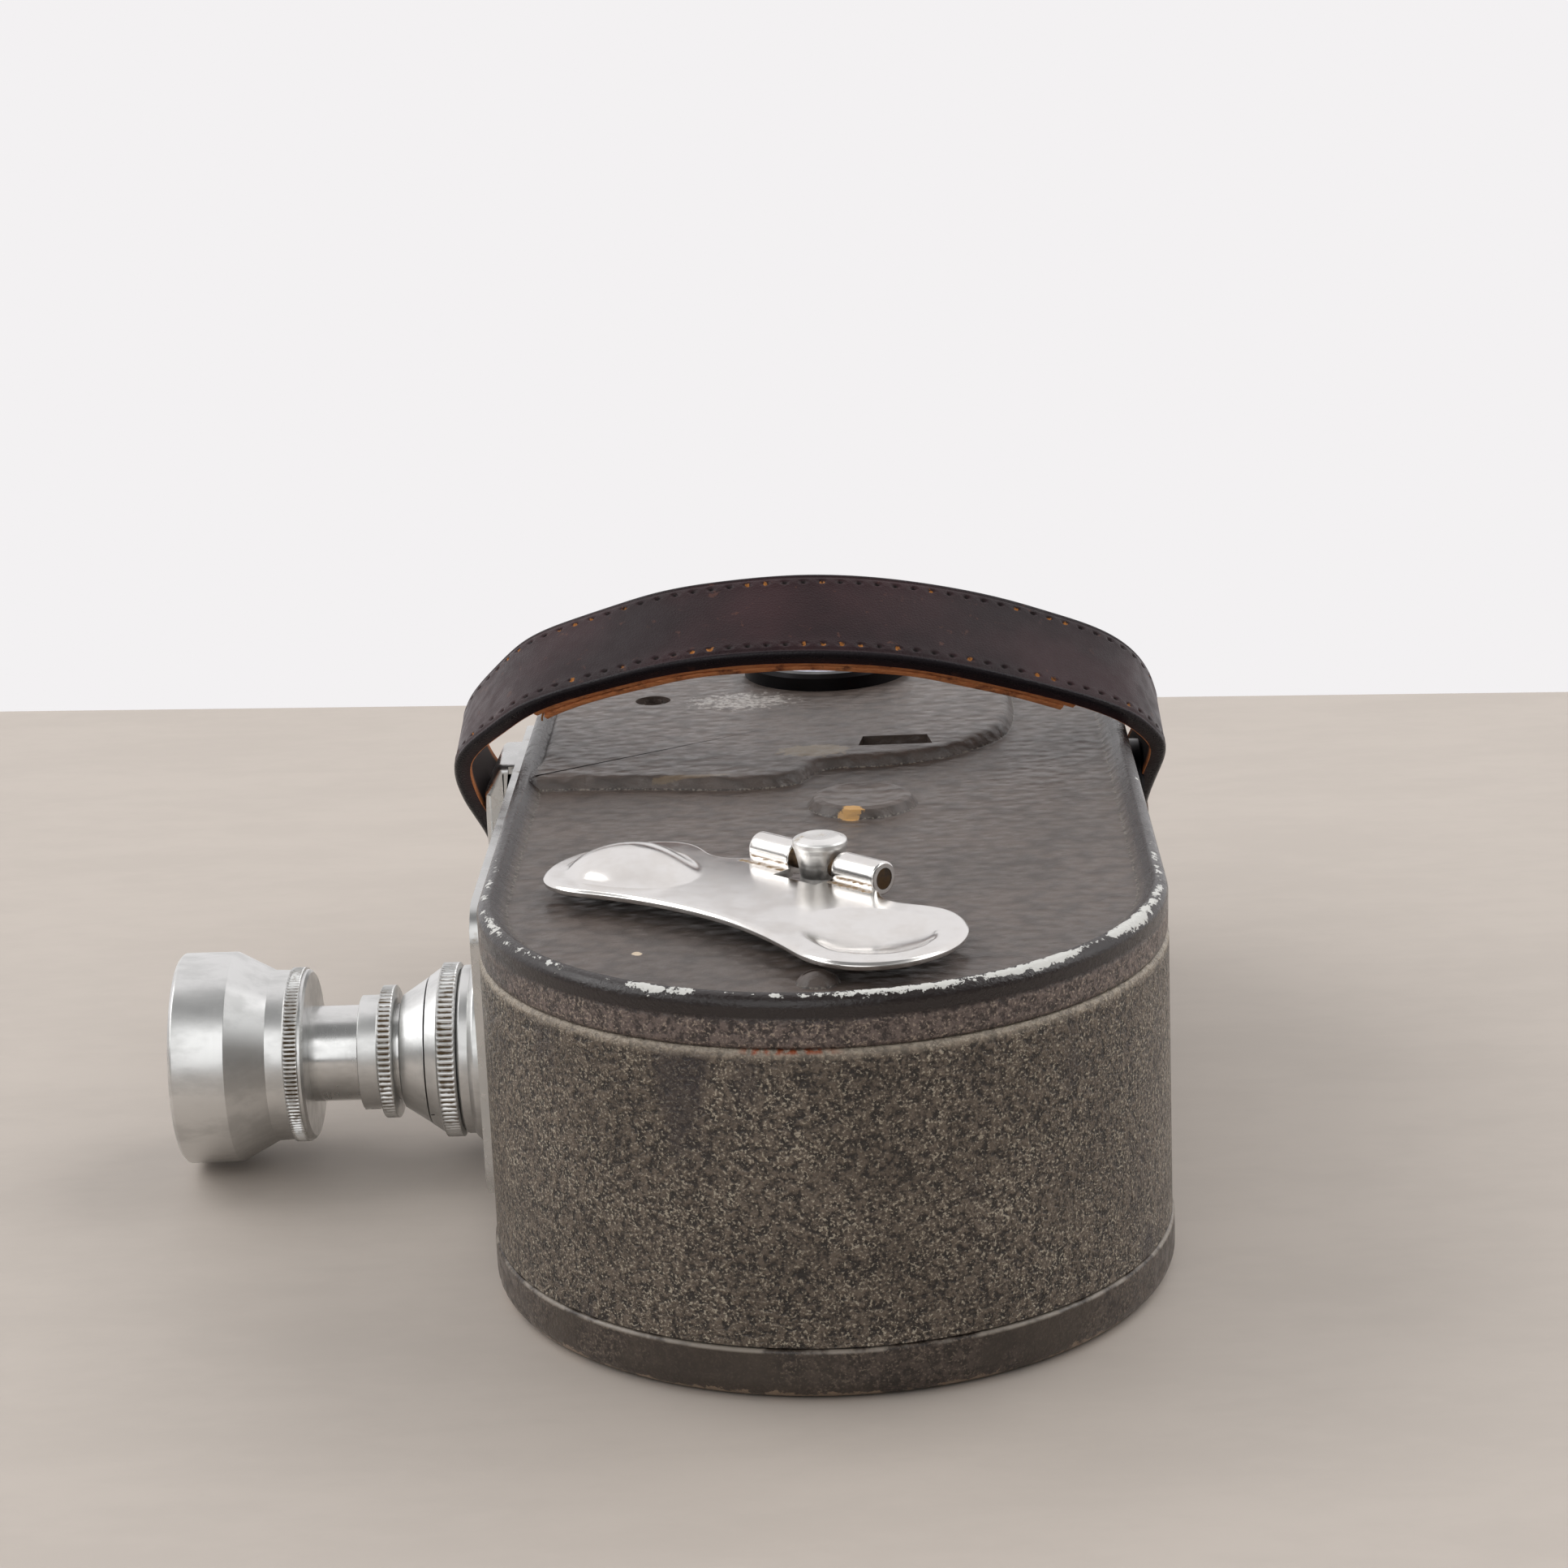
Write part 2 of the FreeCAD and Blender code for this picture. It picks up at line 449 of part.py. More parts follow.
def housing_band():
    """Main casing: a band around the whole outline, with lugs for the mechanism plate and the cover."""
    body = doc.addObject("PartDesign::Body", "band_body")
    outer = sketch(body, "band_outline", "XY_Plane", BAND_LOW)
    stadium(outer, "body_radius", "arc_offset")
    pad(body, outer, "band_top - " + BAND_LOW, "band_block")
    doc.recompute()
    inner = sketch(body, "band_hollow_outline", "XY_Plane", "band_top")
    stadium(inner, INNER, "arc_offset")
    pocket(body, inner, "band_top - " + BAND_LOW, "band_hollow")
    round_edges(body, "band_round", "band_upper_round", level_edge(SIZE["band_top"], SIZE["body_radius"]))
    lugs = []
    holes = []
    for i, (sx, sy) in enumerate(((-1, -1), (-1, 1), (1, -1), (1, 1))):
        low_x = INNER + " - lug_deep" if sx > 0 else "-(" + INNER + " + lug_sink)"
        lugs.append(box("plate_lug_%d" % i, ("lug_deep + lug_sink", "lug_width", "lug_height"),
                        (low_x, "%d * lug_y - lug_width / 2" % sy, "partition_low - lug_height")))
        holes.append(cylinder("plate_lug_hole_%d" % i, "screw_radius + thread_fit", "lug_height",
                              ("%d * (%s - lug_deep / 2)" % (sx, INNER), "%d * lug_y" % sy,
                               "partition_low - lug_height")))
    lugs.append(box("cover_lug", ("lug_width + 2", "arc_offset + body_radius - wall + lug_sink - dome_y + lug_deep / 2",
                                  "band_top - motor_top - lid_thick - 2 * shaft_foot"),
                    ("-dome_x - lug_width / 2 - 1", "-(arc_offset + body_radius - wall + lug_sink)",
                     "motor_top + lid_thick + 2 * shaft_foot")))
    holes.append(cylinder("cover_lug_hole", "screw_radius + thread_fit", "band_top", ("-dome_x", "-dome_y", "0")))
    holes.append(side_bore("band_throat", "throat_radius", "-lens_y", "lens_z", -1))
    holes.append(side_bore("band_finder_front", "finder_radius + finder_fit", "finder_y", "finder_z", -1))
    holes.append(side_bore("band_finder_rear", "finder_radius + finder_fit", "finder_y", "finder_z", 1))
    holes.append(side_bore("band_button", "button_stem + running_fit", "button_y", "button_z", -1))
    holes.append(side_bore("band_strap_left", "strap_screw_radius + thread_fit", "strap_y", "strap_z", -1))
    holes.append(side_bore("band_strap_right", "strap_screw_radius + thread_fit", "strap_y", "strap_z", 1))
    node(cut("band", fuse("band_with_lugs", [body] + lugs), holes), "housing_band")


def plateau():
    """Raised field at the camera's top end: a stepped outline with sloped sides, kept inside the rim."""
    body = doc.addObject("PartDesign::Body", "plateau_body")
    field = sketch(body, "plateau_outline", "XY_Plane", PANEL_UNDER)
    outline(field, [
        ("-body_radius - 20", "plateau_left_y"), ("plateau_step_x - plateau_corner / 2", "plateau_left_y"),
        ("plateau_step_x", "plateau_left_y + plateau_corner / 3"),
        ("plateau_step_x + plateau_corner / 3", "plateau_right_y - plateau_corner / 4"),
        ("plateau_step_x + plateau_corner", "plateau_right_y"),
        ("plateau_right_x - 1.6 * plateau_corner", "plateau_right_y + plateau_corner / 3"),
        ("plateau_right_x - 0.75 * plateau_corner", "plateau_right_y + plateau_corner"),
        ("plateau_right_x - plateau_corner / 9", "plateau_right_y + 2 * plateau_corner"),
        ("plateau_right_x", "arc_offset + body_radius + 20"),
        ("-body_radius - 20", "arc_offset + body_radius + 20")])
    block = pad(body, field, "panel_thick + plateau_height", "plateau_block")
    block.setExpression("TaperAngle", bound("-plateau_slope"))
    keep = doc.addObject("PartDesign::Body", "plateau_keep")
    inside = sketch(keep, "plateau_keep_outline", "XY_Plane", PANEL_UNDER)
    stadium(inside, INNER, "arc_offset")
    pad(keep, inside, "panel_thick + plateau_height", "plateau_keep_block")
    return common("plateau", [body, keep])


def key_side_cover():
    """Pressed cover with a raised rim, sunk panel, stepped plateau, round boss and the pawl's stud."""
    body = doc.addObject("PartDesign::Body", "cover_body")
    outer = sketch(body, "cover_outline", "XY_Plane", "band_top")
    stadium(outer, "body_radius", "arc_offset")
    pad(body, outer, "cover_top - band_top", "cover_block")
    doc.recompute()
    panel = sketch(body, "panel_outline", "XY_Plane", "cover_top")
    stadium(panel, "body_radius - rim_width", "arc_offset")
    pocket(body, panel, "panel_depth", "panel_sink")
    under = sketch(body, "cover_hollow_outline", "XY_Plane", "band_top")
    stadium(under, INNER, "arc_offset")
    pocket(body, under, PANEL_UNDER + " - band_top", "cover_hollow", upwards=True)
    round_edges(body, "rim_round", "rim_outer_round", level_edge(SIZE["cover_top"], SIZE["body_radius"]))
    round_edges(body, "rim_inner_round", "rim_inner_edge",
                level_edge(SIZE["cover_top"], SIZE["body_radius"] - SIZE["rim_width"]))
    boss = cone("cover_boss", "boss_radius", "boss_radius - boss_height / 2", "boss_height + panel_thick / 2",
                ("boss_x", "-boss_y", PANEL_TOP + " - panel_thick / 2"))
    stud = cylinder("pawl_stud", "pawl_pin_radius", PANEL_UNDER + " - ratchet_low + panel_thick / 2",
                    ("pawl_x", "pawl_y - arc_offset", "ratchet_low"))
    slot_body = doc.addObject("PartDesign::Body", "slot_body")
    slot = sketch(slot_body, "slot_outline", "XY_Plane", PANEL_UNDER + " - 1")
    outline(slot, [("scale_x - slot_near / 2", "slot_y - slot_deep / 2"),
                   ("scale_x + slot_near / 2", "slot_y - slot_deep / 2"),
                   ("scale_x + slot_far / 2", "slot_y + slot_deep / 2"),
                   ("scale_x - slot_far / 2", "slot_y + slot_deep / 2")])
    pad(slot_body, slot, "panel_thick + plateau_height + 2", "slot_block")
    low = PANEL_UNDER + " - 1"
    tall = "panel_thick + plateau_height + 2"
    holes = [
        slot_body,
        cylinder("cover_key_hole", "hub_neck_radius + running_fit", tall, ("0", "-arc_offset", low)),
        cylinder("cover_dome_hole", "screw_radius + thread_fit", tall, ("-dome_x", "-dome_y", low)),
        cylinder("cover_counter_hole", "hand_radius + running_fit", tall, ("0", "counter_y", low)),
        cylinder("cover_deep_hole", "hole_radius", "hole_deep + 1",
                 ("-hole_x", "hole_y", PLATEAU_TOP + " - hole_deep")),
        cylinder("cover_screw_hole", "screw_radius + thread_fit", tall, ("-hole_x", "hole_y", low)),
    ]
    node(cut("cover", fuse("cover_raised", [body, plateau(), boss, stud]), holes), "key_side_cover")


def mechanism_plate():
    """Partition between the film side and the motor side, with bearings and the rear cover post."""
    body = doc.addObject("PartDesign::Body", "plate_body")
    shape = sketch(body, "plate_outline", "XY_Plane", "partition_low")
    stadium(shape, INNER + " - partition_fit", "arc_offset")
    pad(body, shape, "partition_thick", "plate_block")
    post = cylinder("cover_post", "cover_post_radius", PANEL_UNDER + " - partition_low - partition_thick / 2",
                    ("-hole_x", "hole_y", "partition_low + partition_thick / 2"))
    low, tall = "partition_low - 1", "partition_thick + 2"
    holes = [
        cylinder("arbor_bearing", "arbor_radius + running_fit", tall, ("0", "-arc_offset", low)),
        cylinder("sprocket_bearing", "shaft_radius + running_fit", tall, ("-sprocket_x", "sprocket_y", low)),
        cylinder("crown_bearing", "small_shaft_radius + running_fit", tall, (CROWN_X, "-lens_y", low)),
        cylinder("governor_bearing", "small_shaft_radius + running_fit", tall, (GOVERNOR_X, GOVERNOR_Y, low)),
        cylinder("take_up_bearing", "spindle_neck + running_fit", tall, ("0", "arc_offset", low)),
        cylinder("scale_bearing", "scale_shaft + running_fit", tall, ("scale_x", "scale_y", low)),
        cylinder("cover_post_thread", "screw_radius + thread_fit", "cover_top", ("-hole_x", "hole_y", PLATE_TOP)),
        box("shutter_slot", ("shutter_x + shutter_thick + 1 - shutter_pinion_x + shutter_pinion_width / 2 + ring_gap",
                             "2 * shutter_radius + 2", tall),
            ("-(shutter_x + shutter_thick + 1)", "-lens_y - shutter_radius - 1", low)),
    ]
    for i, (sx, sy) in enumerate(((-1, -1), (-1, 1), (1, -1), (1, 1))):
        holes.append(cylinder("plate_screw_hole_%d" % i, "screw_radius + thread_fit", tall,
                              ("%d * (%s - lug_deep / 2)" % (sx, INNER), "%d * lug_y" % sy, low)))
    node(cut("plate", fuse("plate_with_post", [body, post]), holes), "mechanism_plate")


def slotted(name, parts, x, y, top, radius, axis_x=False):
    """Screw made of head and shank, with a straight driver slot across the head."""
    if axis_x:
        slot = box(name + "_slot", ("dome_slot", "2 * " + radius, "dome_slot"),
                   (top, y + " - " + radius, x + " - dome_slot / 2"))
    else:
        slot = box(name + "_slot", ("2 * " + radius, "dome_slot", "dome_slot"),
                   (x + " - " + radius, y + " - dome_slot / 2", top + " - dome_slot"))
    return cut(name, fuse(name + "_blank", parts), [slot])


def plate_screws():
    """Four cheese-head screws that hold the mechanism plate on its lugs."""
    screws = []
    for i, (sx, sy) in enumerate(((-1, -1), (-1, 1), (1, -1), (1, 1))):
        x, y = "%d * (%s - lug_deep / 2)" % (sx, INNER), "%d * lug_y" % sy
        head = cylinder("plate_screw_head_%d" % i, "screw_head_radius", "screw_head_height", (x, y, PLATE_TOP))
        shank = cylinder("plate_screw_shank_%d" % i, "screw_radius", "lug_height - 1 + partition_thick",
                         (x, y, "partition_low - lug_height + 1"))
        screws.append(slotted("plate_screw_%d" % i, [head, shank], x, y, PLATE_TOP + " + screw_head_height",
                              "screw_head_radius"))
    node(group("plate_screw_set", screws), "plate_screws")


def cover_screws():
    """Domed screw by the key and sunk screw at the bottom of the deep hole."""
    cap = common("dome_cap", [
        sphere("dome_ball", "(dome_radius^2 + dome_height_top^2) / (2 * dome_height_top)",
               ("-dome_x", "-dome_y", PANEL_TOP + " + dome_height_top"
                " - (dome_radius^2 + dome_height_top^2) / (2 * dome_height_top)")),
        cylinder("dome_stock", "dome_radius", "dome_height_top", ("-dome_x", "-dome_y", PANEL_TOP))])
    shank = cylinder("dome_shank", "screw_radius", PANEL_TOP + " - motor_top - lid_thick - 3 * shaft_foot",
                     ("-dome_x", "-dome_y", "motor_top + lid_thick + 3 * shaft_foot"))
    dome = slotted("dome_screw", [cap, shank], "-dome_x", "-dome_y", PANEL_TOP + " + dome_height_top", "dome_radius")
    floor = PLATEAU_TOP + " - hole_deep"
    head = cylinder("sunk_head", "hole_radius - 2 * pawl_gap", "screw_head_height", ("-hole_x", "hole_y", floor))
    stem = cylinder("sunk_shank", "screw_radius", floor + " - " + PLATE_TOP + " - lug_height",
                    ("-hole_x", "hole_y", PLATE_TOP + " + lug_height"))
    sunk = slotted("sunk_screw", [head, stem], "-hole_x", "hole_y", floor + " + screw_head_height", "hole_radius")
    node(group("cover_screw_set", [dome, sunk]), "cover_screws")


def front_plate():
    """Plated face on the lens side with rounded corners and its openings."""
    blank = box("front_blank", ("front_thick", "front_near + front_far", "front_high - front_low"),
                ("-" + FRONT, "-front_near", "front_low"))
    edges = doc.addObject("Part::Fillet", "front_corners")
    edges.Base = blank
    doc.recompute()
    upright = [i + 1 for i, edge in enumerate(blank.Shape.Edges)
               if abs(edge.BoundBox.XLength - SIZE["front_thick"]) < 1e-6]
    edges.Edges = [(i, SIZE["front_corner"], SIZE["front_corner"]) for i in upright]
    holes = [
        side_bore("front_throat", "throat_radius", "-lens_y", "lens_z", -1),
        side_bore("front_finder", "finder_radius + finder_fit", "finder_y", "finder_z", -1),
        side_bore("front_button", "button_stem + running_fit", "button_y", "button_z", -1),
        side_bore("front_strap", "strap_screw_radius + thread_fit", "strap_y", "strap_z", -1),
    ]
    screws = []
    low, high = "front_low + front_screw_inset", "front_high - front_screw_inset"
    near, far = "-front_near + front_screw_inset", "front_far - front_screw_inset"
    for i, (y, z) in enumerate(((near, low), (near, high), (far, low), ("0", high))):
        at = ("-(body_radius + thread_fit)", y, z)
        holes.append(cylinder("front_screw_hole_%d" % i, "front_screw_radius", "front_thick + 1", at, "-X"))
        head = cylinder("front_screw_%d" % i, "front_screw_radius - thread_fit",
                        "front_thick - thread_fit + front_screw_proud", at, "-X")
        slot = box("front_screw_slot_%d" % i, ("front_screw_proud", "2 * front_screw_radius", "front_screw_proud"),
                   ("-" + FRONT + " - front_screw_proud", y + " - front_screw_radius",
                    z + " - front_screw_proud / 2"))
        screws.append(cut("front_screw_cut_%d" % i, head, [slot]))
    node(cut("front_face", edges, holes), "front_plate")
    node(group("front_screw_set", screws), "front_plate_screws")


LENS_AT = ("-" + FRONT, "-lens_y", "lens_z")
FOCUS_BACK = "(mount_length + flange_length + ring_gap)"
CONE_BACK = "(" + FOCUS_BACK + " + focus_knurl + cone_step)"
SPLIT = "(" + CONE_BACK + " + focus_skirt)"
SPLIT_RADIUS = "(cone_radius - (cone_radius - cone_end_radius) * focus_skirt / cone_length)"
CONE_END = "(" + CONE_BACK + " + cone_length)"
IRIS_BACK = "(" + CONE_END + " + iris_gap)"
IRIS_END = "(" + IRIS_BACK + " + iris_knurl + iris_scale)"
HOUSING_BACK = "(" + IRIS_END + " + neck_length)"
FLARE_BACK = "(" + HOUSING_BACK + " + front_ring)"
FLARE_END = "(" + FLARE_BACK + " + flare_length)"
HOOD_END = "(" + FLARE_END + " + hood_length)"
GLASS_FRONT = "(" + HOOD_END + " - filter_depth)"
SLEEVE_RADIUS = "(tube_radius + lens_fit + sleeve_wall)"
SLEEVE_END = "(mount_length + flange_length + sleeve_length)"


def lens():
    """Screw-mount lens: fixed flange with guide sleeve, focusing ring, sliding barrel, iris ring, front."""
    node(turned("mount_ring", [("thread_radius", "0"), ("mount_radius", "0"), ("mount_radius", "mount_length"),
                               ("thread_radius", "mount_length")], LENS_AT, "-X"), "lens_mount_ring")
    spigot_back = "mount_length - spigot_length"
    flange_front = "mount_length + flange_length"
    bore = "tube_radius + lens_fit"
    node(turned("flange", [
        (bore, spigot_back), ("thread_radius - spigot_fit", spigot_back), ("thread_radius - spigot_fit", "mount_length"),
        ("flange_radius", "mount_length"), ("flange_radius", flange_front), (SLEEVE_RADIUS, flange_front),
        (SLEEVE_RADIUS, SLEEVE_END), (bore, SLEEVE_END)], LENS_AT, "-X"), "lens_flange")
    ring_bore = SLEEVE_RADIUS + " + running_fit"
    knurl_front = FOCUS_BACK + " + focus_knurl"
    node(turned("focus", [
        (ring_bore, FOCUS_BACK), ("focus_radius", FOCUS_BACK), ("focus_radius", knurl_front),
        ("cone_radius", CONE_BACK), (SPLIT_RADIUS, SPLIT), (ring_bore, SPLIT)], LENS_AT, "-X"), "focus_ring")
    collar = SPLIT + " + ring_gap"
    collar_radius = "(" + SPLIT_RADIUS + " - ring_gap)"
    barrel_back = "mount_length"
    node(turned("lens_tube", [
        ("tube_bore", barrel_back), ("tube_radius", barrel_back), ("tube_radius", SLEEVE_END + " + collar_web / 2"),
        (ring_bore, SLEEVE_END + " + collar_web / 2"), (ring_bore, collar), (collar_radius, collar),
        ("cone_end_radius", CONE_END), ("tube_radius", CONE_END),
        ("tube_radius", HOUSING_BACK + " + front_back_wall"), ("tube_bore", HOUSING_BACK + " + front_back_wall")],
        LENS_AT, "-X"), "lens_barrel")
    iris_bore = "tube_radius + running_fit"
    iris_step = IRIS_BACK + " + iris_knurl"
    node(turned("iris", [
        (iris_bore, IRIS_BACK), ("iris_radius", IRIS_BACK), ("iris_radius", iris_step),
        ("iris_scale_radius", iris_step), ("iris_scale_radius", IRIS_END), (iris_bore, IRIS_END)],
        LENS_AT, "-X"), "iris_ring")
    seat = "hood_bore - glass_seat / 2"
    node(turned("front_cell", [
        ("tube_radius", HOUSING_BACK), ("front_radius", HOUSING_BACK), ("front_radius", FLARE_BACK),
        ("hood_radius", FLARE_END), ("hood_radius", HOOD_END + " - hood_edge"), ("hood_radius - hood_edge", HOOD_END),
        ("hood_bore", HOOD_END), ("hood_bore", GLASS_FRONT), (seat, GLASS_FRONT),
        (seat, GLASS_FRONT + " - glass_seat"), ("front_inner_radius", FLARE_BACK),
        ("front_inner_radius", HOUSING_BACK + " + front_back_wall"), ("tube_radius", HOUSING_BACK + " + front_back_wall")],
        LENS_AT, "-X"), "lens_front_housing")
    glass_back = "-" + FRONT + " - " + GLASS_FRONT + " + glass_seat"
    front = common("front_glass", [
        cylinder("front_glass_stock", seat + " - glass_fit", "glass_seat - glass_fit",
                 (glass_back, "-lens_y", "lens_z"), "-X"),
        sphere("front_glass_ball", "glass_dome",
               (glass_back + " - glass_seat + glass_fit + glass_dome", "-lens_y", "lens_z"))])
    rear = cylinder("rear_glass", "tube_bore - glass_fit", "rear_glass_thick",
                    ("-" + FRONT + " - mount_length - ring_gap", "-lens_y", "lens_z"), "-X")
    node(group("lens_glass_set", [front, rear]), "lens_glasses")


def finder():
    """Straight-through viewfinder: chromed hood in front, tube through the casing, eyepiece behind."""
    hood_body = doc.addObject("PartDesign::Body", "hood_body")
    side = sketch(hood_body, "hood_profile", "XZ_Plane", "-finder_y - finder_hood_width / 2")
    top, low = "finder_z + finder_hood_rise", "finder_z - finder_hood_drop"
    outline(side, [
        ("-" + FRONT, low), ("-" + FRONT, top), ("-" + FRONT + " - finder_brow", top),
        ("-" + FRONT + " - finder_hood_length", "finder_z + finder_face_rise"),
        ("-" + FRONT + " - finder_hood_length", "finder_z - finder_face_drop"),
        ("-" + FRONT + " - finder_chin", low)])
    pad(hood_body, side, "finder_hood_width", "hood_block")
    window = box("hood_window", ("window_depth + 1", "window_width", "window_height"),
                 ("-" + FRONT + " - finder_hood_length - 1", "finder_y - window_width / 2",
                  "finder_z - window_height / 2"))
    bore = side_bore("hood_bore_cut", "finder_radius - finder_wall - finder_fit", "finder_y", "finder_z", -1)
    bore.setExpression("Height", bound("lug_deep + wall + front_thick + finder_hood_length"))
    node(cut("hood", hood_body, [window, bore]), "finder_hood")
    tube_start = "-" + FRONT
    tube_length = "2 * body_radius + front_thick"
    at = (tube_start, "finder_y", "finder_z")
    node(cut("finder_pipe", cylinder("finder_pipe_outer", "finder_radius", tube_length, at, "X"),
             [cylinder("finder_pipe_inner", "finder_radius - finder_wall", tube_length, at, "X")]), "finder_tube")
    end = ("body_radius", "finder_y", "finder_z")
    node(turned("eyepiece", [
        ("finder_radius - finder_wall", "0"), ("eyepiece_radius", "0"), ("eyepiece_radius", "eyepiece_length - hood_edge"),
        ("eyepiece_radius - hood_edge", "eyepiece_length"), ("finder_radius - finder_wall", "eyepiece_length")],
        end, "X"), "finder_eyepiece")
    front = cylinder("finder_front_glass", "finder_radius - finder_wall - 2 * finder_fit", "finder_glass_thick",
                     ("-" + FRONT + " - finder_hood_length + window_depth + finder_fit", "finder_y", "finder_z"), "X")
    rear = cylinder("finder_rear_glass", "finder_radius - finder_wall - 2 * finder_fit", "finder_glass_thick",
                    ("body_radius + eyepiece_length - 2 * finder_glass_thick", "finder_y", "finder_z"), "X")
    node(group("finder_glass_set", [front, rear]), "finder_glasses")


# The strap's outer curve from its low end up to the crown: shares of the side span and of the reach.
STRAP_LEFT = [(0.985, 0.17), (1.0, 0.28), (0.985, 0.42), (0.92, 0.57), (0.80, 0.72), (0.64, 0.855), (0.43, 0.95),
              (0.22, 0.99)]
STRAP_RIGHT = [(0.985, 0.17), (1.0, 0.28), (0.99, 0.41), (0.97, 0.52), (0.928, 0.62), (0.84, 0.71),
               (0.662, 0.812), (0.43, 0.905), (0.2, 0.972)]


def strap_curve(inset, across):
    """Points of the strap's curve at a place across its width, moved inwards by inset.

    Each side starts with a straight tail at the pivot and follows its list of shares to the crown;
    the edge nearer the key stands a little higher than the other, by the lean."""
    reach = SIZE["strap_reach"]
    left_end = SIZE["body_radius"] + SIZE["front_thick"] + SIZE["strap_left_stand"] + SIZE["strap_thick"]
    right_end = SIZE["body_radius"] + SIZE["strap_right_stand"] + SIZE["strap_thick"]
    lean = 2 * across / SIZE["strap_width"] * SIZE["strap_lean"]
    tails = [Vector(-left_end, -SIZE["strap_tail"], 0), Vector(-left_end, SIZE["strap_straight"], 0),
             Vector(right_end, SIZE["strap_straight"], 0), Vector(right_end, -SIZE["strap_tail"], 0)]
    left = [Vector(-SIZE["strap_left_span"] * u, reach * v + lean * v * v, 0) for u, v in STRAP_LEFT]
    right = [Vector(SIZE["strap_right_span"] * u, reach * v + lean * v * v, 0) for u, v in STRAP_RIGHT]
    bow = tails[1:2] + left + [Vector(0, reach + lean, 0)] + right[::-1] + tails[2:3]
    moved = []
    for i, point in enumerate(bow):
        along = bow[min(i + 1, len(bow) - 1)] - bow[max(i - 1, 0)]
        if i in (0, len(bow) - 1):
            along = Vector(0, 1 if i == 0 else -1, 0)
        along.normalize()
        moved.append(point + Vector(along.y, -along.x, 0) * inset + Vector(0, 0, across))
    step = Vector(0, -SIZE["strap_tail"] - SIZE["strap_straight"], 0)
    return moved[0] + step, moved, moved[-1] + step


def smooth(points):
    """Curve through the points."""
    curve = Part.BSplineCurve()
    curve.interpolate(points)
    return curve.toShape()


def strap_wire(inset, thick, across):
    """Closed outline of the strap's section along its length."""
    low, bow, end = strap_curve(inset, across)
    under_low, under, under_end = strap_curve(inset + thick, across)
    return Part.Wire([
        Part.makeLine(low, bow[0]), smooth(bow), Part.makeLine(bow[-1], end), Part.makeLine(end, under_end),
        Part.makeLine(under_end, under[-1]), smooth(under),
        Part.makeLine(under[0], under_low), Part.makeLine(under_low, low)])


def lining_edge(inset, across):
    """The part of the strap's inward curve that lies between the lining's two cut ends."""
    bow = strap_curve(inset, across)[1]
    curve = Part.BSplineCurve()
    curve.interpolate(bow)
    crown = [i for i, point in enumerate(bow) if -SIZE["lining_left"] < point.x < SIZE["lining_right"]
             and point.y > SIZE["strap_reach"] / 2]
    return curve.toShape(curve.parameter(bow[crown[0]]), curve.parameter(bow[crown[-1]]))


def lining_wire(inset, thick, across):
    """Closed outline of the lining along its length."""
    top, under = lining_edge(inset, across), lining_edge(inset + thick, across)
    return Part.Wire([top, Part.makeLine(top.lastVertex().Point, under.lastVertex().Point), under,
                      Part.makeLine(under.firstVertex().Point, top.firstVertex().Point)])


def strap():
    """Leather carrying strap arched over the casing, its lining, and the pivots it hangs on."""
    tilt = Rotation(Vector(1, 0, 0), SIZE["strap_tilt"])
    hinge = ("0", "strap_y", "strap_z")
    half = SIZE["strap_width"] / 2
    thick = SIZE["strap_thick"]
    band = Part.makeLoft([strap_wire(0.0, thick, -half), strap_wire(0.0, thick, half)], True, True)
    reach = 2 * (SIZE["strap_left_span"] + SIZE["strap_right_span"])
    hole = Part.makeCylinder(SIZE["strap_screw_radius"] + SIZE["strap_hole_fit"], reach,
                             Vector(-reach / 2, 0, 0), Vector(1, 0, 0))
    node(feature("strap_leather", band.cut(hole), hinge, tilt), "strap_handle")
    lining = Part.makeLoft([lining_wire(thick + SIZE["lining_gap"], SIZE["lining_thick"], -half + SIZE["lining_gap"]),
                            lining_wire(thick + SIZE["lining_gap"], SIZE["lining_thick"], half - SIZE["lining_gap"])],
                           True, True)
    node(feature("strap_inner", lining, hinge, tilt), "strap_lining")
    posts = []
    for side, axis, face, start, stand in (("left", "-X", FRONT, "-", "strap_left_stand"),
                                           ("right", "X", "body_radius", "", "strap_right_stand")):
        at = (start + face, "strap_y", "strap_z")
        posts.append(cut(side + "_post", cylinder(side + "_post_stock", "post_radius", stand + " - strap_gap", at, axis),
                         [cylinder(side + "_post_bore", "strap_screw_radius", stand, at, axis)]))
    node(group("strap_post_set", posts), "strap_posts")
    screws = []
    for side, axis, face, start in (("left", "-X", LEFT_STRAP, "-"), ("right", "X", RIGHT_STRAP, "")):
        outside = face + " + strap_thick + strap_gap"
        inside = "(body_radius - wall / 2)"
        head = cylinder(side + "_strap_head", "strap_head_radius", "strap_head_thick",
                        (start + "(" + outside + ")", "strap_y", "strap_z"), axis)
        shank = cylinder(side + "_strap_shank", "strap_screw_radius", outside + " - " + inside,
                         (start + inside, "strap_y", "strap_z"), axis)
        deep = "strap_head_thick / 2"
        x = start + "(" + outside + " + strap_head_thick" + (")" if side == "left" else " - " + deep + ")")
        slot = box(side + "_strap_slot", (deep, "2 * strap_head_radius", "dome_slot"),
                   (x, "strap_y - strap_head_radius", "strap_z - dome_slot / 2"))
        screws.append(cut(side + "_strap_screw", fuse(side + "_strap_blank", [head, shank]), [slot]))
    node(group("strap_screw_set", screws), "strap_screws")


